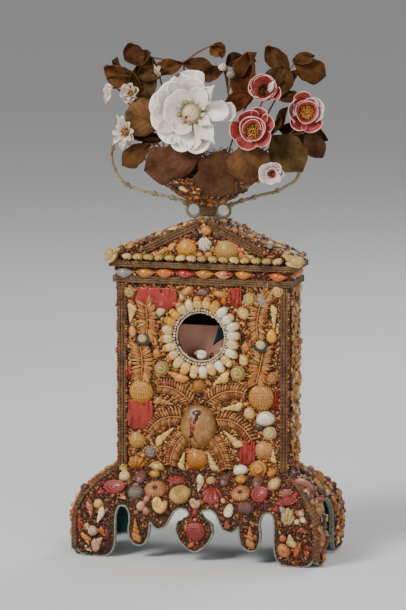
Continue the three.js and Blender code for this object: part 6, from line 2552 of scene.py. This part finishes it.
class Florist:
    """Petal forms, each modelled once, and the rings that they are set in."""

    def __init__(self, bench: Workbench) -> None:
        """Models every petal.

        Args:
            bench: The workbench to model them on.
        """

        def blade(point: float, neck: float, cup: float, curl: float,
                  twist: float = 0.0) -> Callable[[float, float], tuple]:
            """A petal one unit long and about as wide, hollow towards +Z."""

            def place(u: float, v: float) -> Triple:
                """A point across and along the petal."""
                s = 2 * u - 1
                wide = neck + (1 - neck) * math.sin(math.pi / 2 * min(1.0, v / 0.62))
                wide *= 1 - point * max(0.0, 2 * v - 1) ** 1.5
                y = v * (1 - 0.24 * abs(s) ** 2.6 * v)
                ripple = 0.02 * math.sin(9 * u + 5 * v)
                z = cup * s * s * wide * (0.3 + 0.7 * v) + curl * v ** 1.6 + twist * s * v + ripple
                return 0.5 * s * wide, y, z

            return place

        def wall(span: float, flare: float) -> Callable[[float, float], tuple]:
            """A petal that stands up round the heart of the flower, radius one unit and height one unit."""

            def place(u: float, v: float) -> Triple:
                """A point round and up the petal."""
                angle = (u - 0.5) * span
                edge = 1 - 0.3 * abs(2 * u - 1) ** 3
                radius = 0.72 + flare * v * v + 0.05 * math.sin(3 * angle)
                return math.sin(angle) * radius, math.cos(angle) * radius, v * edge

            return place

        self.forms = {
            PetalShape.ROUND: bench.sheet(17, 13, blade(0.14, 0.5, 0.14, 0.3), wall=0.035),
            PetalShape.POINTED: bench.sheet(12, 10, blade(0.85, 0.45, 0.26, 0.26, 0.16), wall=0.035),
            PetalShape.TONGUE: bench.sheet(14, 12, blade(0.0, 0.8, 0.26, 0.18), wall=0.04),
            PetalShape.CUP: bench.sheet(16, 12, blade(0.1, 0.5, 0.42, 0.46), wall=0.03),
            PetalShape.ROLLED: bench.sheet(22, 10, wall(3.6, 0.3), wall=0.045),
        }
        # Painted shade: each petal darker towards its base.
        for form in self.forms.values():
            form.shade = np.clip(0.62 + 0.9 * form.along[:, 1], 0.0, 1.0)
        self.cup = bench.lathe([(0.0, -0.62), (0.22, -0.6), (0.42, -0.3), (0.8, -0.04), (1.0, 0.16),
                                (0.9, 0.22), (0.0, 0.14)], 24)

    def ring(self, heap: Heap, head: Matrix, shape: PetalShape,
             petals: Iterable[tuple[float, float, float, float, float]], tint: Triple = (1, 1, 1)) -> None:
        """Sets petals round a head.

        Args:
            heap: The flower.
            head: Place and axes of the head, +Z towards its face.
            shape: The petals' form.
            petals: Direction in degrees anticlockwise from the right, start radius, length and width in
                millimetres, and tilt towards the face in degrees.
            tint: Colour that multiplies the finish's own.
        """
        for direction, start, length, width, tilt in petals:
            turn = Matrix.Rotation(math.radians(direction - 90), 4, "Z")
            lean = Matrix.Rotation(math.radians(tilt), 4, "X")
            size = sized(width, length, (width + length) / 2)
            heap.add(self.forms[shape], head @ turn @ Matrix.Translation((0, start * MM, 0)) @ lean @ size,
                     tint, 0.05)

    def walls(self, heap: Heap, head: Matrix, petals: Iterable[tuple[float, float, float, float]]) -> None:
        """Sets upright petals round the heart of a flower.

        Args:
            heap: The flower.
            head: Place and axes of the head.
            petals: Direction in degrees, radius, height and lift in millimetres.
        """
        for direction, radius, height, lift in petals:
            turn = Matrix.Rotation(math.radians(direction - 90), 4, "Z")
            size = sized(radius, radius, height)
            heap.add(self.forms[PetalShape.ROLLED],
                     head @ Matrix.Translation((0, 0, lift * MM)) @ turn @ size, (1, 1, 1), 0.05)


@dataclass(frozen=True)
class Leaf:
    """One velvet leaf, in millimetres from the middle of the bowl's rim.

    lobes is the depth of the cuts in its edge, cup how far its sides lift, arch how far its middle
    bows, tint multiplies the finish, and twist turns the blade along its length, in degrees.
    """

    start: Triple
    end: Triple
    width: float
    facing: Triple = (0.0, -1.0, 0.2)
    widest: float = 0.5
    blunt: float = 1.0
    cup: float = 2.0
    arch: float = 2.0
    lobes: float = 0.0
    crinkle: float = 1.4
    tint: Triple = (0.5, 0.5, 0.5)
    twist: float = 0.0

    def form(self, bench: Workbench, origin: Vector, seed: float) -> Form:
        """The leaf as a thin crinkled sheet in its place.

        Args:
            bench: The workbench.
            origin: Middle of the rim, in metres.
            seed: Seed of its crinkles.

        Returns:
            The form, in metres.
        """
        start, end = Vector(self.start), Vector(self.end)
        length = (end - start).length
        ahead = (end - start).normalized()
        face = Vector(self.facing)
        face = (face - ahead * face.dot(ahead)).normalized()
        across = ahead.cross(face)

        def outline(v: float) -> float:
            """Half the width at a share of the length."""
            rise = math.sin(math.pi * min(1.0, v / (2 * self.widest))) if v < self.widest else math.cos(
                math.pi / 2 * ((v - self.widest) / (1 - self.widest)) ** (1 + self.blunt)
            )
            cut = 1 - self.lobes * (0.5 - 0.5 * math.cos(2 * math.pi * 2.6 * v)) * (0.3 < v < 0.97)
            return max(0.02, rise) * cut * self.width / 2

        def place(u: float, v: float) -> Triple:
            """A point of the leaf, in metres."""
            s = 2 * u - 1
            ragged = 1 + 0.06 * noise.noise(Vector((v * 9, seed, s)))
            soft = noise.noise(Vector((s * 1.7 + seed, v * 3.1,
                                       0.4))) + 0.5 * noise.noise(Vector((s * 5, v * 8, seed)))
            lift = self.cup * s * s + self.arch * math.sin(math.pi * v) + self.crinkle * soft - 0.5 * math.exp(-s * s * 60)
            turn = math.radians(self.twist) * (v - 0.4)
            side = across * math.cos(turn) + face * math.sin(turn)
            up = face * math.cos(turn) - across * math.sin(turn)
            at = start + ahead * v * length + side * s * outline(v) * ragged + up * lift
            return tuple(origin + at * MM)

        return bench.sheet(18, 24, place, wall=0.45 * MM)


@dataclass
class Bouquet:
    """Shell flowers and velvet leaves on paper-wound wires, stuck in the moss of the urn."""

    work: Shellwork
    finishes: Finishes
    wire: float = 0.9
    florist: Florist = field(init=False)
    origin: Vector = field(init=False)

    def __post_init__(self) -> None:
        """Reads the rim's middle from the bowl and models the petals."""
        self.florist = Florist(self.work.cabinet.bench)
        self.origin = Vector((0, 0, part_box("urn_bowl")[1].z))

    def build(self) -> None:
        """Builds every flower and every spray."""
        self.white_flower()
        self.rose_upper()
        self.rose_middle()
        self.rose_right()
        self.pale_flower()
        self.cream_spray()
        self.leaves()

    def head(self, at: Sequence[float], towards: Sequence[float]) -> Matrix:
        """Place and axes of a flower head: +Z towards its face, +Y up.

        Args:
            at: Its middle, in millimetres from the rim's middle.
            towards: The way that it faces.

        Returns:
            The matrix.
        """
        return Seat(self.origin + Vector(at) * MM, Vector(towards).normalized()).frame()

    def wires(self, name: str, lines: Sequence[Sequence[Sequence[float]]], seed: float = 0.0,
              heads: Iterable[tuple[Matrix, float]] = ()) -> None:
        """Paper-wound wires.

        Args:
            name: The piece's name.
            lines: Points of each wire in millimetres from the rim's middle; the last is in the moss.
            seed: Seed of their bends.
            heads: Heads that they carry, each with the radius of the cup behind it in millimetres.
        """
        heap = Heap(name, 91)
        for head, radius in heads:
            heap.add(self.florist.cup, head @ sized(radius, radius, radius))

        def section(reach: float, turn: float) -> Pair:
            """Round, with the turns of the paper."""
            radius = self.wire * (0.9 + 0.14 * math.cos(turn - reach * 1.9)
                                  + 0.12 * noise.noise(Vector((reach * 0.6, turn, seed))))
            return radius * MM * math.cos(turn), radius * MM * math.sin(turn)

        for line in lines:
            path = [self.origin + p for p in smooth_path(line, 1.2)]
            heap.add(sweep(path, section, 7))
        heap.build(self.finishes.twig, "velvet_leaf")

    def stamens(self, heap: Heap, head: Matrix, count: int, radius: float, height: float,
                tints: Sequence[Tint]) -> None:
        """A tuft of seeds in the heart of a flower.

        Args:
            heap: The piece that they belong to.
            head: Place and axes of the head.
            count: How many.
            radius: Reach from the middle in millimetres.
            height: Height above the head in millimetres.
            tints: Their colours.
        """
        for i in range(count):
            angle, reach = 2.4 * i, radius * math.sqrt((i + 0.5) / count)
            spot = Vector((math.cos(angle) * reach, math.sin(angle) * reach,
                           height * (1 - 0.4 * reach / radius)))
            seat = Seat(head @ (spot * MM),
                        (head.to_3x3() @ (Vector((spot.x, spot.y, radius * 1.2)))).normalized())
            tint = heap.chance.choice(tints)
            self.work.glue(heap, seat, Kind.RICE, (1.5, 2.6, 1.6), tint, heap.chance.uniform(0, 360), -0.5,
                           40, 0.3)

    def white_flower(self) -> None:
        """The big white flower: a dish of petals on the left, loose ones on the right, a flat cap in the heart."""
        head = self.head((-6.5, -35, 57.5), (0.12, -1, 0.2))
        heap = Heap("white_flower_petals", 92)
        ring = self.florist.ring
        ring(heap, head, PetalShape.ROUND, (
            (110, 8, 27, 25, 9), (139, 8, 27, 25, 11), (166, 8, 29, 26, 8), (195, 8, 28, 26, 11),
            (225, 8, 27, 25, 8), (256, 8, 28, 22, 7), (286, 8, 29, 24, 4), (84, 8, 24, 23, 14),
        ))
        ring(heap, head @ Matrix.Translation((0, 0, 0.0018)), PetalShape.ROUND, (
            (126, 6, 19, 19, 22), (156, 6, 20, 19, 20), (186, 6, 20, 19, 22), (60, 6, 20, 19, 20),
            (240, 6, 18, 18, 20),
        ))
        ring(heap, head @ Matrix.Translation((0, 0, 0.0024)), PetalShape.POINTED, (
            (310, 8, 29, 17, 10), (46, 11, 27, 15, 30), (330, 8, 16, 11, 20),
        ))
        ring(heap, head @ Matrix.Translation((0, 0, 0.0012)), PetalShape.TONGUE, (
            (4, 11, 23, 17, 6), (2, 21, 18, 16, -4), (88, 20, 17, 20, -2), (272, 10, 24, 19, 12),
        ))
        heap.build(self.finishes.white_petal, "white_shell", "flower_white")
        heart = Heap("white_flower_heart", 93)
        cap = self.work.cabinet.bench.lathe(
            [(1.0, 0.0), (1.04, 0.3), (0.98, 0.55), (0.86, 0.6), (0.8, 0.78), (0.55, 0.9), (0.0, 0.94)], 40,
            # Painted shade: a darker band round the step of the cap.
            shade=lambda a, v: 0.55 if 0.3 < v < 0.55 else 1.0,
        )
        middle = head @ Matrix.Translation((0.0006, -0.0005, 0.0025))
        heart.add(cap, middle @ Matrix.Diagonal((0.0082, 0.0082, 0.0075, 1)), (0.66, 0.5, 0.31), 0.0)
        # A nearly black bead in the cap's hole, as painted shade.
        hole = middle @ Matrix.Translation((-0.0038, -0.0038, 0.0058))
        heart.add(self.work.cabinet.forms[Kind.BEAD], hole @ Matrix.Diagonal((0.0026, 0.003, 0.0018, 1)),
                  (0.02, 0.012, 0.008), 0.0)
        for direction, reach, size in ((118, 10, 6), (152, 12, 8), (352, 11, 6), (262, 9, 5), (94, 12, 6),
                                       (60, 11, 5), (20, 12, 5),
                                      (320, 11, 5), (230, 10, 5), (190, 10, 5)):
            turned = math.radians(direction)
            seat = Seat(head @ (Vector((math.cos(turned) * reach, math.sin(turned) * reach, 4.0)) * MM),
                        head.to_3x3().col[2])
            self.work.glue(heart, seat, Kind.CHIP, (size, size * 0.8, size * 0.5),
                           Tint.OLIVE if reach < 11 else Tint.WHITE, direction)
        mark = head @ Matrix.Translation((-0.0112, 0.0315, 0.0125))
        for x, y, size, tint in ((0, 0, 3.6, Tint.RUST), (1.4, 0.8, 2.0, Tint.DARK),
                                 (-1.3, 0.4, 1.8, Tint.DARK), (0.3, -1.1, 1.6, Tint.BROWN)):
            spot = mark @ Matrix.Translation((x * MM, y * MM,
                                              0)) @ Matrix.Diagonal((size * MM, size * MM, 0.0012, 1))
            heart.add(self.work.cabinet.forms[Kind.CHIP], spot, tint.rgb(), 0.1)
        heart.build(self.finishes.shell, "white_shell")
        self.wires("white_flower_stem", [[(-7, -33, 54), (-8, -26, 40), (-7, -14, 8)]], 0.0, [(head, 11.0)])

    def rose_upper(self) -> None:
        """A rose of nested shells, open to a dark heart, with one white petal on edge."""
        head = self.head((56.5, -24, 77.5), (0.1, -1, 0.42))
        heap = Heap("rose_upper_petals", 94)
        self.florist.ring(heap, head, PetalShape.CUP, (
            (205, 3, 15, 19, 26), (150, 3, 14, 18, 30), (255, 3, 14, 20, 24), (330, 5, 14, 14, 16),
            (95, 3, 13, 17, 34),
        ))
        self.florist.walls(heap, head, ((215, 11.5, 8.5, 1.5), (120, 11.0, 8.0, 1.5), (20, 10.5, 7.0, 1.5),
                                        (280, 9.5, 7.0, 2.0)))
        heap.build(self.finishes.rose_petal, "pink_shell", "rose_upper")
        blade = Heap("rose_upper_white_petal", 95)
        self.florist.ring(blade, head @ Matrix.Translation((0.004, -0.003, 0.007)), PetalShape.POINTED,
                          ((48, 0, 15, 6, 40),))
        blade.build(self.finishes.white_petal, "pink_shell")
        heart = Heap("rose_upper_heart", 96)
        self.stamens(heart, head, 46, 6.5, 3.0, (Tint.BROWN, Tint.DARK, Tint.PLUM, Tint.RUST))
        heart.build(self.finishes.gravel, "pink_shell")
        self.wires("rose_upper_stem", [[(56.5, -22, 76), (47, -12, 58), (19, -2, 8)]], 0.0, [(head, 9.0)])

    def rose_middle(self) -> None:
        """The fullest rose: five cupped petals round a rolled heart."""
        head = self.head((48, -34, 43.5), (0.15, -1, 0.3))
        heap = Heap("rose_middle_petals", 97)
        self.florist.ring(heap, head, PetalShape.CUP, (
            (186, 8, 13, 18, 10), (250, 7, 13, 19, 8), (318, 7, 14, 18, 12), (20, 8, 14, 17, 14),
            (108, 7, 12, 19, 16),
            (62, 7, 15, 16, 12),
        ))
        self.florist.walls(heap, head, ((170, 10.5, 9.0, 2.0), (50, 11.0, 8.5, 2.0), (340, 10.0, 7.0, 2.0),
                                        (100, 8.0, 8.0, 2.5)))
        heap.build(self.finishes.rose_petal, "pink_shell", "rose_middle")
        heart = Heap("rose_middle_heart", 98)
        self.stamens(heart, head, 50, 6.5, 4.5, (Tint.OCHRE, Tint.BROWN, Tint.HONEY, Tint.YELLOW))
        heart.build(self.finishes.gravel, "pink_shell")
        self.wires("rose_middle_stem", [[(48, -32, 42), (41, -26, 30), (24, -9, 8)]], 0.0, [(head, 10.5)])

    def rose_right(self) -> None:
        """The right-hand rose, with long petals on its left and white ones on its right."""
        head = self.head((91, -14, 58.5), (0.28, -1, 0.2))
        heap = Heap("rose_right_petals", 99)
        self.florist.ring(heap, head, PetalShape.CUP, (
            (178, 12, 12, 21, 40), (232, 7, 14, 17, 14), (288, 6, 14, 19, 10), (112, 7, 13, 16, 14),
            (160, 5, 10, 14, 24),
        ))
        self.florist.walls(heap, head, ((170, 10.0, 9.5, 1.5), (70, 9.0, 8.5, 1.5), (290, 9.5, 7.5, 1.5)))
        heap.build(self.finishes.rose_petal, "pink_shell", "rose_right")
        pale = Heap("rose_right_white_petals", 100)
        self.florist.ring(pale, head, PetalShape.CUP,
                          ((28, 6, 12, 17, 20), (350, 6, 11, 15, 22), (60, 6, 10, 13, 26)))
        pale.build(self.finishes.pale_petal, "pink_shell")
        heart = Heap("rose_right_heart", 101)
        self.stamens(heart, head, 60, 6.0, 6.0, (Tint.OCHRE, Tint.YELLOW, Tint.OCHRE, Tint.HONEY))
        heart.build(self.finishes.gravel, "pink_shell")
        self.wires("rose_right_stem", [[(90, -12, 59), (78, -6, 42), (31, -3, 8)]], 0.0, [(head, 9.5)])

    def pale_flower(self) -> None:
        """A small pale pink flower seen from its side, its petals folded in a fan."""
        head = self.head((68, -46, 8), (0.1, -1, 0.1))
        heap = Heap("pale_flower_petals", 102)
        self.florist.ring(heap, head, PetalShape.CUP, (
            (95, 1, 10, 13, 10), (50, 1, 12, 12, 14), (150, 1, 11, 12, 8), (200, 1, 11, 10, 12),
            (330, 1, 12, 9, 24),
            (5, 2, 12, 10, 20), (262, 1, 9, 13, 14),
        ))
        self.florist.walls(heap, head, ((100, 5.5, 5.0, 0.5), (290, 6.0, 4.0, 0.5)))
        heap.build(self.finishes.pale_petal, "pale_pink_shell", "flower_pale_pink")
        heart = Heap("pale_flower_heart", 105)
        self.stamens(heart, head, 12, 3.6, 2.4, (Tint.PLUM, Tint.DARK, Tint.ROSE))
        heart.build(self.finishes.gravel, "pale_pink_shell")
        self.wires("pale_flower_stem", [[(68, -44, 8), (60, -30, 10), (33, -14, 5)]], 0.0, [(head, 4.0)])

    def cream_spray(self) -> None:
        """Two small cream flowers and a bud on one spray, with a white curl and two grey-white buds near by."""
        heap = Heap("cream_flower_petals", 103)
        heart = Heap("cream_flower_hearts", 104)
        upper = self.head((-67, -8, 70), (-0.2, -1, 0.3))
        lower = self.head((-68.5, -24, 38.5), (-0.3, -1, 0.1))
        ring = self.florist.ring
        ring(heap, upper, PetalShape.CUP,
             tuple((20 + 60 * i, 2.5, 8.5, 7.0, 18 + 9 * (i % 2)) for i in range(6)))
        ring(heap, upper @ Matrix.Translation((0, 0, 0.0012)), PetalShape.TONGUE,
             tuple((50 + 72 * i, 2, 6, 4, 38) for i in range(5)))
        ring(heap, lower, PetalShape.TONGUE,
             tuple((8 + 45 * i, 3, 7.0 + 2.2 * (i % 3), 4.6, 12 + 12 * (i % 2)) for i in range(8)))
        ring(heap, lower, PetalShape.POINTED, ((118, 4, 13, 6, 6), (268, 4, 13, 6, 8), (330, 4, 9, 5, 10)))
        bud = self.head((-88.5, -4, 70), (-0.2, -1, 0.1))
        ring(heap, bud, PetalShape.ROUND, ((90, -3, 11, 8, 0), (60, -3, 9, 7, 20), (120, -3, 9, 7, 14)))
        ring(heap, bud, PetalShape.POINTED, ((262, -2, 12, 6, 8),))
        for head, size in ((upper, 3.0), (lower, 3.4)):
            self.stamens(heart, head, 22, size, 3.2, (Tint.OCHRE, Tint.BROWN, Tint.HONEY))
        curl = self.head((-45, -2, 91), (0, -1, 0.1))
        ring(heap, curl, PetalShape.POINTED, ((108, -6, 14, 5, 30), (250, -4, 8, 4, 20)), (1, 1, 1))
        heap.build(self.finishes.cream_petal, "cream_shell", "flower_spray_cream")
        for x, y, z, size, tint in ((13, -1, 95, 7.4, Tint.WHITE), (21, -1, 89, 8.4, Tint.GREY)):
            seat = Seat(self.origin + Vector((x, y, z)) * MM, FRONT)
            self.work.glue(heart, seat, Kind.BEAD, (size, size, size * 0.8), tint)
        heart.build(self.finishes.shell, "cream_shell")
        self.wires("cream_spray_wires", [
            [(-66, -6, 68), (-62, -4, 55), (-46, -6, 28)],
            [(-67.5, -22, 38), (-62, -15, 31), (-46, -6, 28)],
            [(-88.5, -4, 72), (-82, -2, 74), (-70, -4, 60), (-61, -4, 54)],
            [(-46, -6, 28), (-36, -6, 18), (-23, -4, 9)],
            [(-45, 0, 88), (-43, 4, 76), (-41, 6, 56), (-38, 6, 36.5)],
            [(13, 0, 94), (14, 6, 84), (15, 9, 72)],
            [(21, 0, 88), (18, 7, 80), (15, 9, 72)],
        ])

    def leaves(self) -> None:
        """Every spray of leaves, with the wires that carry it."""
        brown, golden, olive = (0.4, 0.36, 0.33), (0.76, 0.66, 0.46), (0.38, 0.4, 0.25)
        dark, red, orange = (0.24, 0.2, 0.18), (0.46, 0.25, 0.18), (0.66, 0.44, 0.28)
        sprays = {
            "leaves_front": (
                [[(6, -38.5, 23), (5, -35, 22), (8, -27, 15), (8, -22, 6)],
                 [(23, -40, 26), (18, -35, 21), (8, -27, 15)],
                 [(42, -36, 32), (30, -36, 24), (18, -35, 21)]],
                [Leaf((6, -38.5, 25), (-46, -46, 8), 36, (0, -1, 0.1), 0.55, 1.6, -1.5, 1.5, 0.24, 1.8,
                      (0.42, 0.32, 0.3)),
                 Leaf((25, -40, 28), (14, -49, -13), 40, (0.1, -1, 0.2), 0.5, 1.8, -1.0, 1.0, 0.16, 1.6,
                      (0.34, 0.27, 0.25)),
                 Leaf((42, -37, 34), (50, -49, -1), 38, (0.1, -1, 0.3), 0.42, 0.4, -3.0, 2.0, 0.0, 1.2,
                      (0.56, 0.45, 0.34))],
            ),
            "leaves_right": (
                [[(62, -20, 36), (48, -14, 22), (33, -10, 7)], [(88, -6, 40), (72, -14, 38), (62, -20, 36)],
                 [(61, 4, 42), (48, -4, 28), (33, -10, 7)]],
                [Leaf((62, -20, 38), (90, -27, 8), 33, (0.2, -1, 0.3), 0.5, 0.8, 4.0, 3.0, 0.1, 2.6, olive,
                      20.0),
                 Leaf((88, -6, 40), (104, -8, 19), 18, (0.3, -1, 0.1), 0.5, 0.6, 2.0, 1.5, 0.0, 1.4, brown),
                 Leaf((61, 4, 42), (106, 3, 33), 21, (0, -1, 0.4), 0.5, 0.6, 3.0, 1.0, 0.0, 1.6, dark),
                 Leaf((61, 4, 42), (74, -6, 62), 9, (0, -1, 0.2), 0.5, 0.6, 3.0, 2.0, 0.0, 2.0,
                      (0.5, 0.38, 0.24), 50.0),
                 Leaf((56, 0, 36), (66, -8, 56), 7, (0.3, -1, 0.2), 0.5, 0.6, 3.0, 2.0, 0.0, 2.0,
                      (0.44, 0.32, 0.2), -50.0)],
            ),
            "leaves_left": (
                [[(-47, -18, 28), (-36, -16, 18), (-26, -15, 7)],
                 [(-38, -14, 45), (-37, -15, 30), (-36, -16, 18)]],
                [Leaf((-47, -18, 29), (-72, -24, 9), 20, (-0.2, -1, 0.2), 0.6, 0.8, -1.0, 1.0, 0.06, 1.6,
                      (0.52, 0.4, 0.29)),
                 Leaf((-36, -14, 45), (-70, -20, 55), 34, (0, -1, 0.2), 0.55, 1.4, -3.5, 1.0, 0.0, 0.8,
                      golden),
                 Leaf((-38, -8, 30), (-66, -10, 34), 9, (0, -1, 0.5), 0.5, 0.6, 3.0, 2.0, 0.1, 2.2,
                      (0.3, 0.22, 0.15), 40.0),
                 Leaf((-40, -10, 30), (-58, -14, 24), 8, (0, -1, 0.5), 0.5, 0.6, 3.0, 2.0, 0.1, 2.2,
                      (0.4, 0.28, 0.18), -40.0)],
            ),
            "leaves_upper_left": (
                [[(-62, 4, 71), (-46, 6, 46), (-15, 6, 9)], [(-52, 3, 63), (-50, 5, 55), (-46, 6, 46)],
                 [(-65, 14, 92), (-63, 10, 80), (-62, 4, 71)]],
                [Leaf((-62, 4, 71), (-93, 3, 94), 18, (-0.2, -1, 0.5), 0.5, 0.7, 6.0, 3.0, 0.0, 2.4,
                      (0.62, 0.44, 0.29), 50.0),
                 Leaf((-50, 3, 61), (-67, 6, 93), 25, (0.1, -1, 0), 0.55, 0.6, 5.0, 2.0, 0.05, 2.6, olive,
                      -45.0),
                 Leaf((-65, 14, 92), (-74, 14, 113), 18, (0, -1, 0.3), 0.5, 0.8, 6.0, 1.0, 0.0, 2.0,
                      (0.36, 0.25, 0.18), 35.0),
                 Leaf((-62, 4, 71), (-91, -2, 84), 12, (-0.3, -1, 0.8), 0.5, 0.6, 5.0, 3.0, 0.0, 2.6,
                      (0.5, 0.36, 0.22), 70.0),
                 Leaf((-63, 8, 80), (-40, 2, 92), 14, (0.3, -1, 0.6), 0.5, 0.6, 5.0, 3.0, 0.06, 2.6,
                      (0.42, 0.31, 0.2), -60.0),
                 Leaf((-62, 4, 71), (-84, 4, 101), 13, (-0.5, -1, 0.2), 0.5, 0.6, 5.0, 2.0, 0.0, 2.6,
                      (0.36, 0.26, 0.17), 60.0),
                 Leaf((-63, 10, 80), (-58, 8, 104), 12, (0.4, -1, 0.1), 0.5, 0.6, 5.0, 2.0, 0.0, 2.4,
                      (0.46, 0.32, 0.2), -70.0)],
            ),
            "twig_top": (
                [[(-25, 10, 97), (-22, 7, 74), (-14, 8, 48), (-4, 8, 10)],
                 [(-63, 16, 101), (-44, 14, 99), (-25, 10, 97)],
                 [(4, 14, 114), (-11, 12, 107), (-25, 10, 97)]],
                [Leaf((0, 12, 112), (10, 11, 102), 13, (0, -1, 0.4), 0.5, 0.6, 3.0, 2.0, 0.1, 2.4, orange,
                      60.0),
                 Leaf((2, 13, 113), (12, 12, 108), 8, (0.3, -1, 0.4), 0.5, 0.6, 2.0, 1.0, 0.0, 1.0, orange),
                 Leaf((-25, 10, 97), (2, 8, 93), 13, (0, -1, 0.2), 0.5, 0.6, 3.0, 1.0, 0.0, 2.4,
                      (0.42, 0.31, 0.2), 50.0),
                 Leaf((-25, 10, 97), (-52, 6, 87), 15, (0, -1, 0.2), 0.5, 0.6, 4.0, 1.0, 0.1, 2.8,
                      (0.44, 0.32, 0.21), -50.0),
                 Leaf((-60, 14, 100), (-50, 8, 88), 12, (0, -1, 0.1), 0.5, 0.6, 3.0, 1.0, 0.0, 1.6, dark),
                 Leaf((-64, 15, 101), (-56, 15, 104), 8, (0, -1, 0.3), 0.5, 0.6, 2.0, 1.0, 0.0, 1.0, orange)],
            ),
            "leaves_upper_middle": (
                [[(33, 5, 62), (23, 8, 40), (12, 11, 9)], [(13, 9, 92), (16, 9, 66), (20, 8, 40)],
                 [(12, 17, 95), (14, 13, 84), (15, 9, 72)], [(17, -8, 58), (20, 0, 48), (20, 8, 40)]],
                [Leaf((13, 9, 92), (-9, 5, 84), 13, (0, -1, 0.2), 0.5, 0.6, 3.0, 1.0, 0.1, 2.6,
                      (0.36, 0.27, 0.19), 50.0),
                 Leaf((12, 17, 95), (26, 16, 104), 13, (0, -1, 0.2), 0.5, 0.6, 2.0, 1.0, 0.0, 1.4, dark),
                 Leaf((33, 5, 60), (42, 3, 108), 27, (-0.3, -1, 0), 0.45, 0.5, 10.0, 3.0, 0.0, 2.2,
                      (0.52, 0.33, 0.2), 40.0),
                 Leaf((20, 4, 86), (40, 8, 101), 14, (0, -1, 0.3), 0.5, 0.6, 4.0, 2.0, 0.0, 2.6,
                      (0.42, 0.3, 0.2), 60.0),
                 Leaf((15, -8, 57), (41, -11, 73), 17, (0, -1, 0.3), 0.5, 0.6, 3.0, 1.0, 0.0, 1.2, red)],
            ),
            "leaves_upper_right": (
                [[(59, 10, 69), (42, 12, 40), (21, 13, 9)], [(68, 16, 88), (64, 14, 78), (59, 10, 69)],
                 [(75, 8, 99), (70, 12, 93), (68, 16, 88)]],
                [Leaf((59, 10, 69), (64, 9, 97), 27, (0, -1, 0.2), 0.5, 0.8, 3.0, 1.5, 0.0, 2.4, brown,
                      -25.0),
                 Leaf((68, 16, 88), (50, 17, 113), 18, (0, -1, 0.2), 0.55, 0.6, 5.0, 1.5, 0.06, 2.4,
                      (0.44, 0.36, 0.22), 40.0),
                 Leaf((75, 8, 99), (102, 6, 88), 23, (0.1, -1, 0.3), 0.5, 1.2, -4.0, 1.5, 0.08, 2.8,
                      (0.46, 0.34, 0.2), -35.0),
                 Leaf((59, 10, 69), (80, 8, 92), 13, (0, -1, 0.4), 0.5, 0.6, 4.0, 2.0, 0.0, 2.4,
                      (0.34, 0.24, 0.15), 55.0),
                 Leaf((75, 8, 98), (93, 8, 106), 12, (0, -1, 0.5), 0.5, 0.6, 4.0, 2.0, 0.1, 2.6,
                      (0.52, 0.4, 0.24), -50.0),
                 Leaf((59, 10, 69), (84, 2, 66), 11, (0, -1, 0.6), 0.5, 0.6, 3.0, 2.0, 0.0, 2.2,
                      (0.36, 0.25, 0.16), 30.0)],
            ),
        }
        for i, (name, (twigs, blades)) in enumerate(sprays.items()):
            heap = Heap("velvet_" + name, 110 + i)
            for k, blade in enumerate(blades):
                heap.add(blade.form(self.work.cabinet.bench, self.origin, 3.7 * k + i), AS_MODELLED,
                         blade.tint, 0.04)
            heap.build(self.finishes.leaf, "velvet_leaf", name)
            self.wires("wires_of_" + name, twigs, float(i))


@dataclass(frozen=True)
class Studio:
    """Pale floor and soft lights."""

    floor_size: float = 14.0

    def build(self) -> None:
        """Makes the floor, the world and the lights."""
        Workbench.start()
        bpy.ops.mesh.primitive_plane_add(size=self.floor_size)
        floor = bpy.context.object
        floor.name = "studio_floor"
        paint = bpy.data.materials.new("studio_floor")
        paint.use_nodes = True
        shader = paint.node_tree.nodes["Principled BSDF"]
        shader.inputs["Base Color"].default_value = (0.72, 0.72, 0.71, 1)
        shader.inputs["Roughness"].default_value = 0.95
        floor.data.materials.append(paint)
        floor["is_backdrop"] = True
        world = bpy.data.worlds.new("studio")
        bpy.context.scene.world = world
        world.use_nodes = True
        world.node_tree.nodes["Background"].inputs["Color"].default_value = (0.86, 0.86, 0.87, 1)
        world.node_tree.nodes["Background"].inputs["Strength"].default_value = 0.38
        for name, place, size, power in (
            ("key_light", (-1.0, -1.4, 1.5), 0.8, 46.0),
            ("fill_light", (1.4, -1.4, 0.8), 1.4, 14.0),
            ("rim_light", (0.5, 1.3, 1.5), 0.9, 16.0),
        ):
            data = bpy.data.lights.new(name, "AREA")
            data.energy, data.size = power, size
            lamp = bpy.data.objects.new(name, data)
            bpy.context.scene.collection.objects.link(lamp)
            lamp.location = place
            lamp.rotation_euler = (Vector((0, 0, 0.22)) - Vector(place)).to_track_quat("-Z", "Y").to_euler()
            lamp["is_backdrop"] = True


def corners(box: tuple[Vector, Vector]) -> list[list[float]]:
    """A box as plain numbers."""
    return [list(corner) for corner in box]


def main() -> None:
    """Builds the stand over its solids."""
    logging.basicConfig(level=logging.INFO, format="%(name)s %(message)s")
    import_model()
    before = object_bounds()
    view = PhotoView()
    view.make()
    finishes = Finishes.make()
    work = Shellwork(Cabinet(), view)
    for part in (CaseFront, CaseBody, CorniceAndRoof, Base, Urn, Handles, Bouquet):
        part(work, finishes).build()
        LOG.info("%s is done", part.__name__)
    Studio().build()
    {"solids": corners(before), "visual": corners(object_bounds())}


if __name__ == "__main__":
    main()
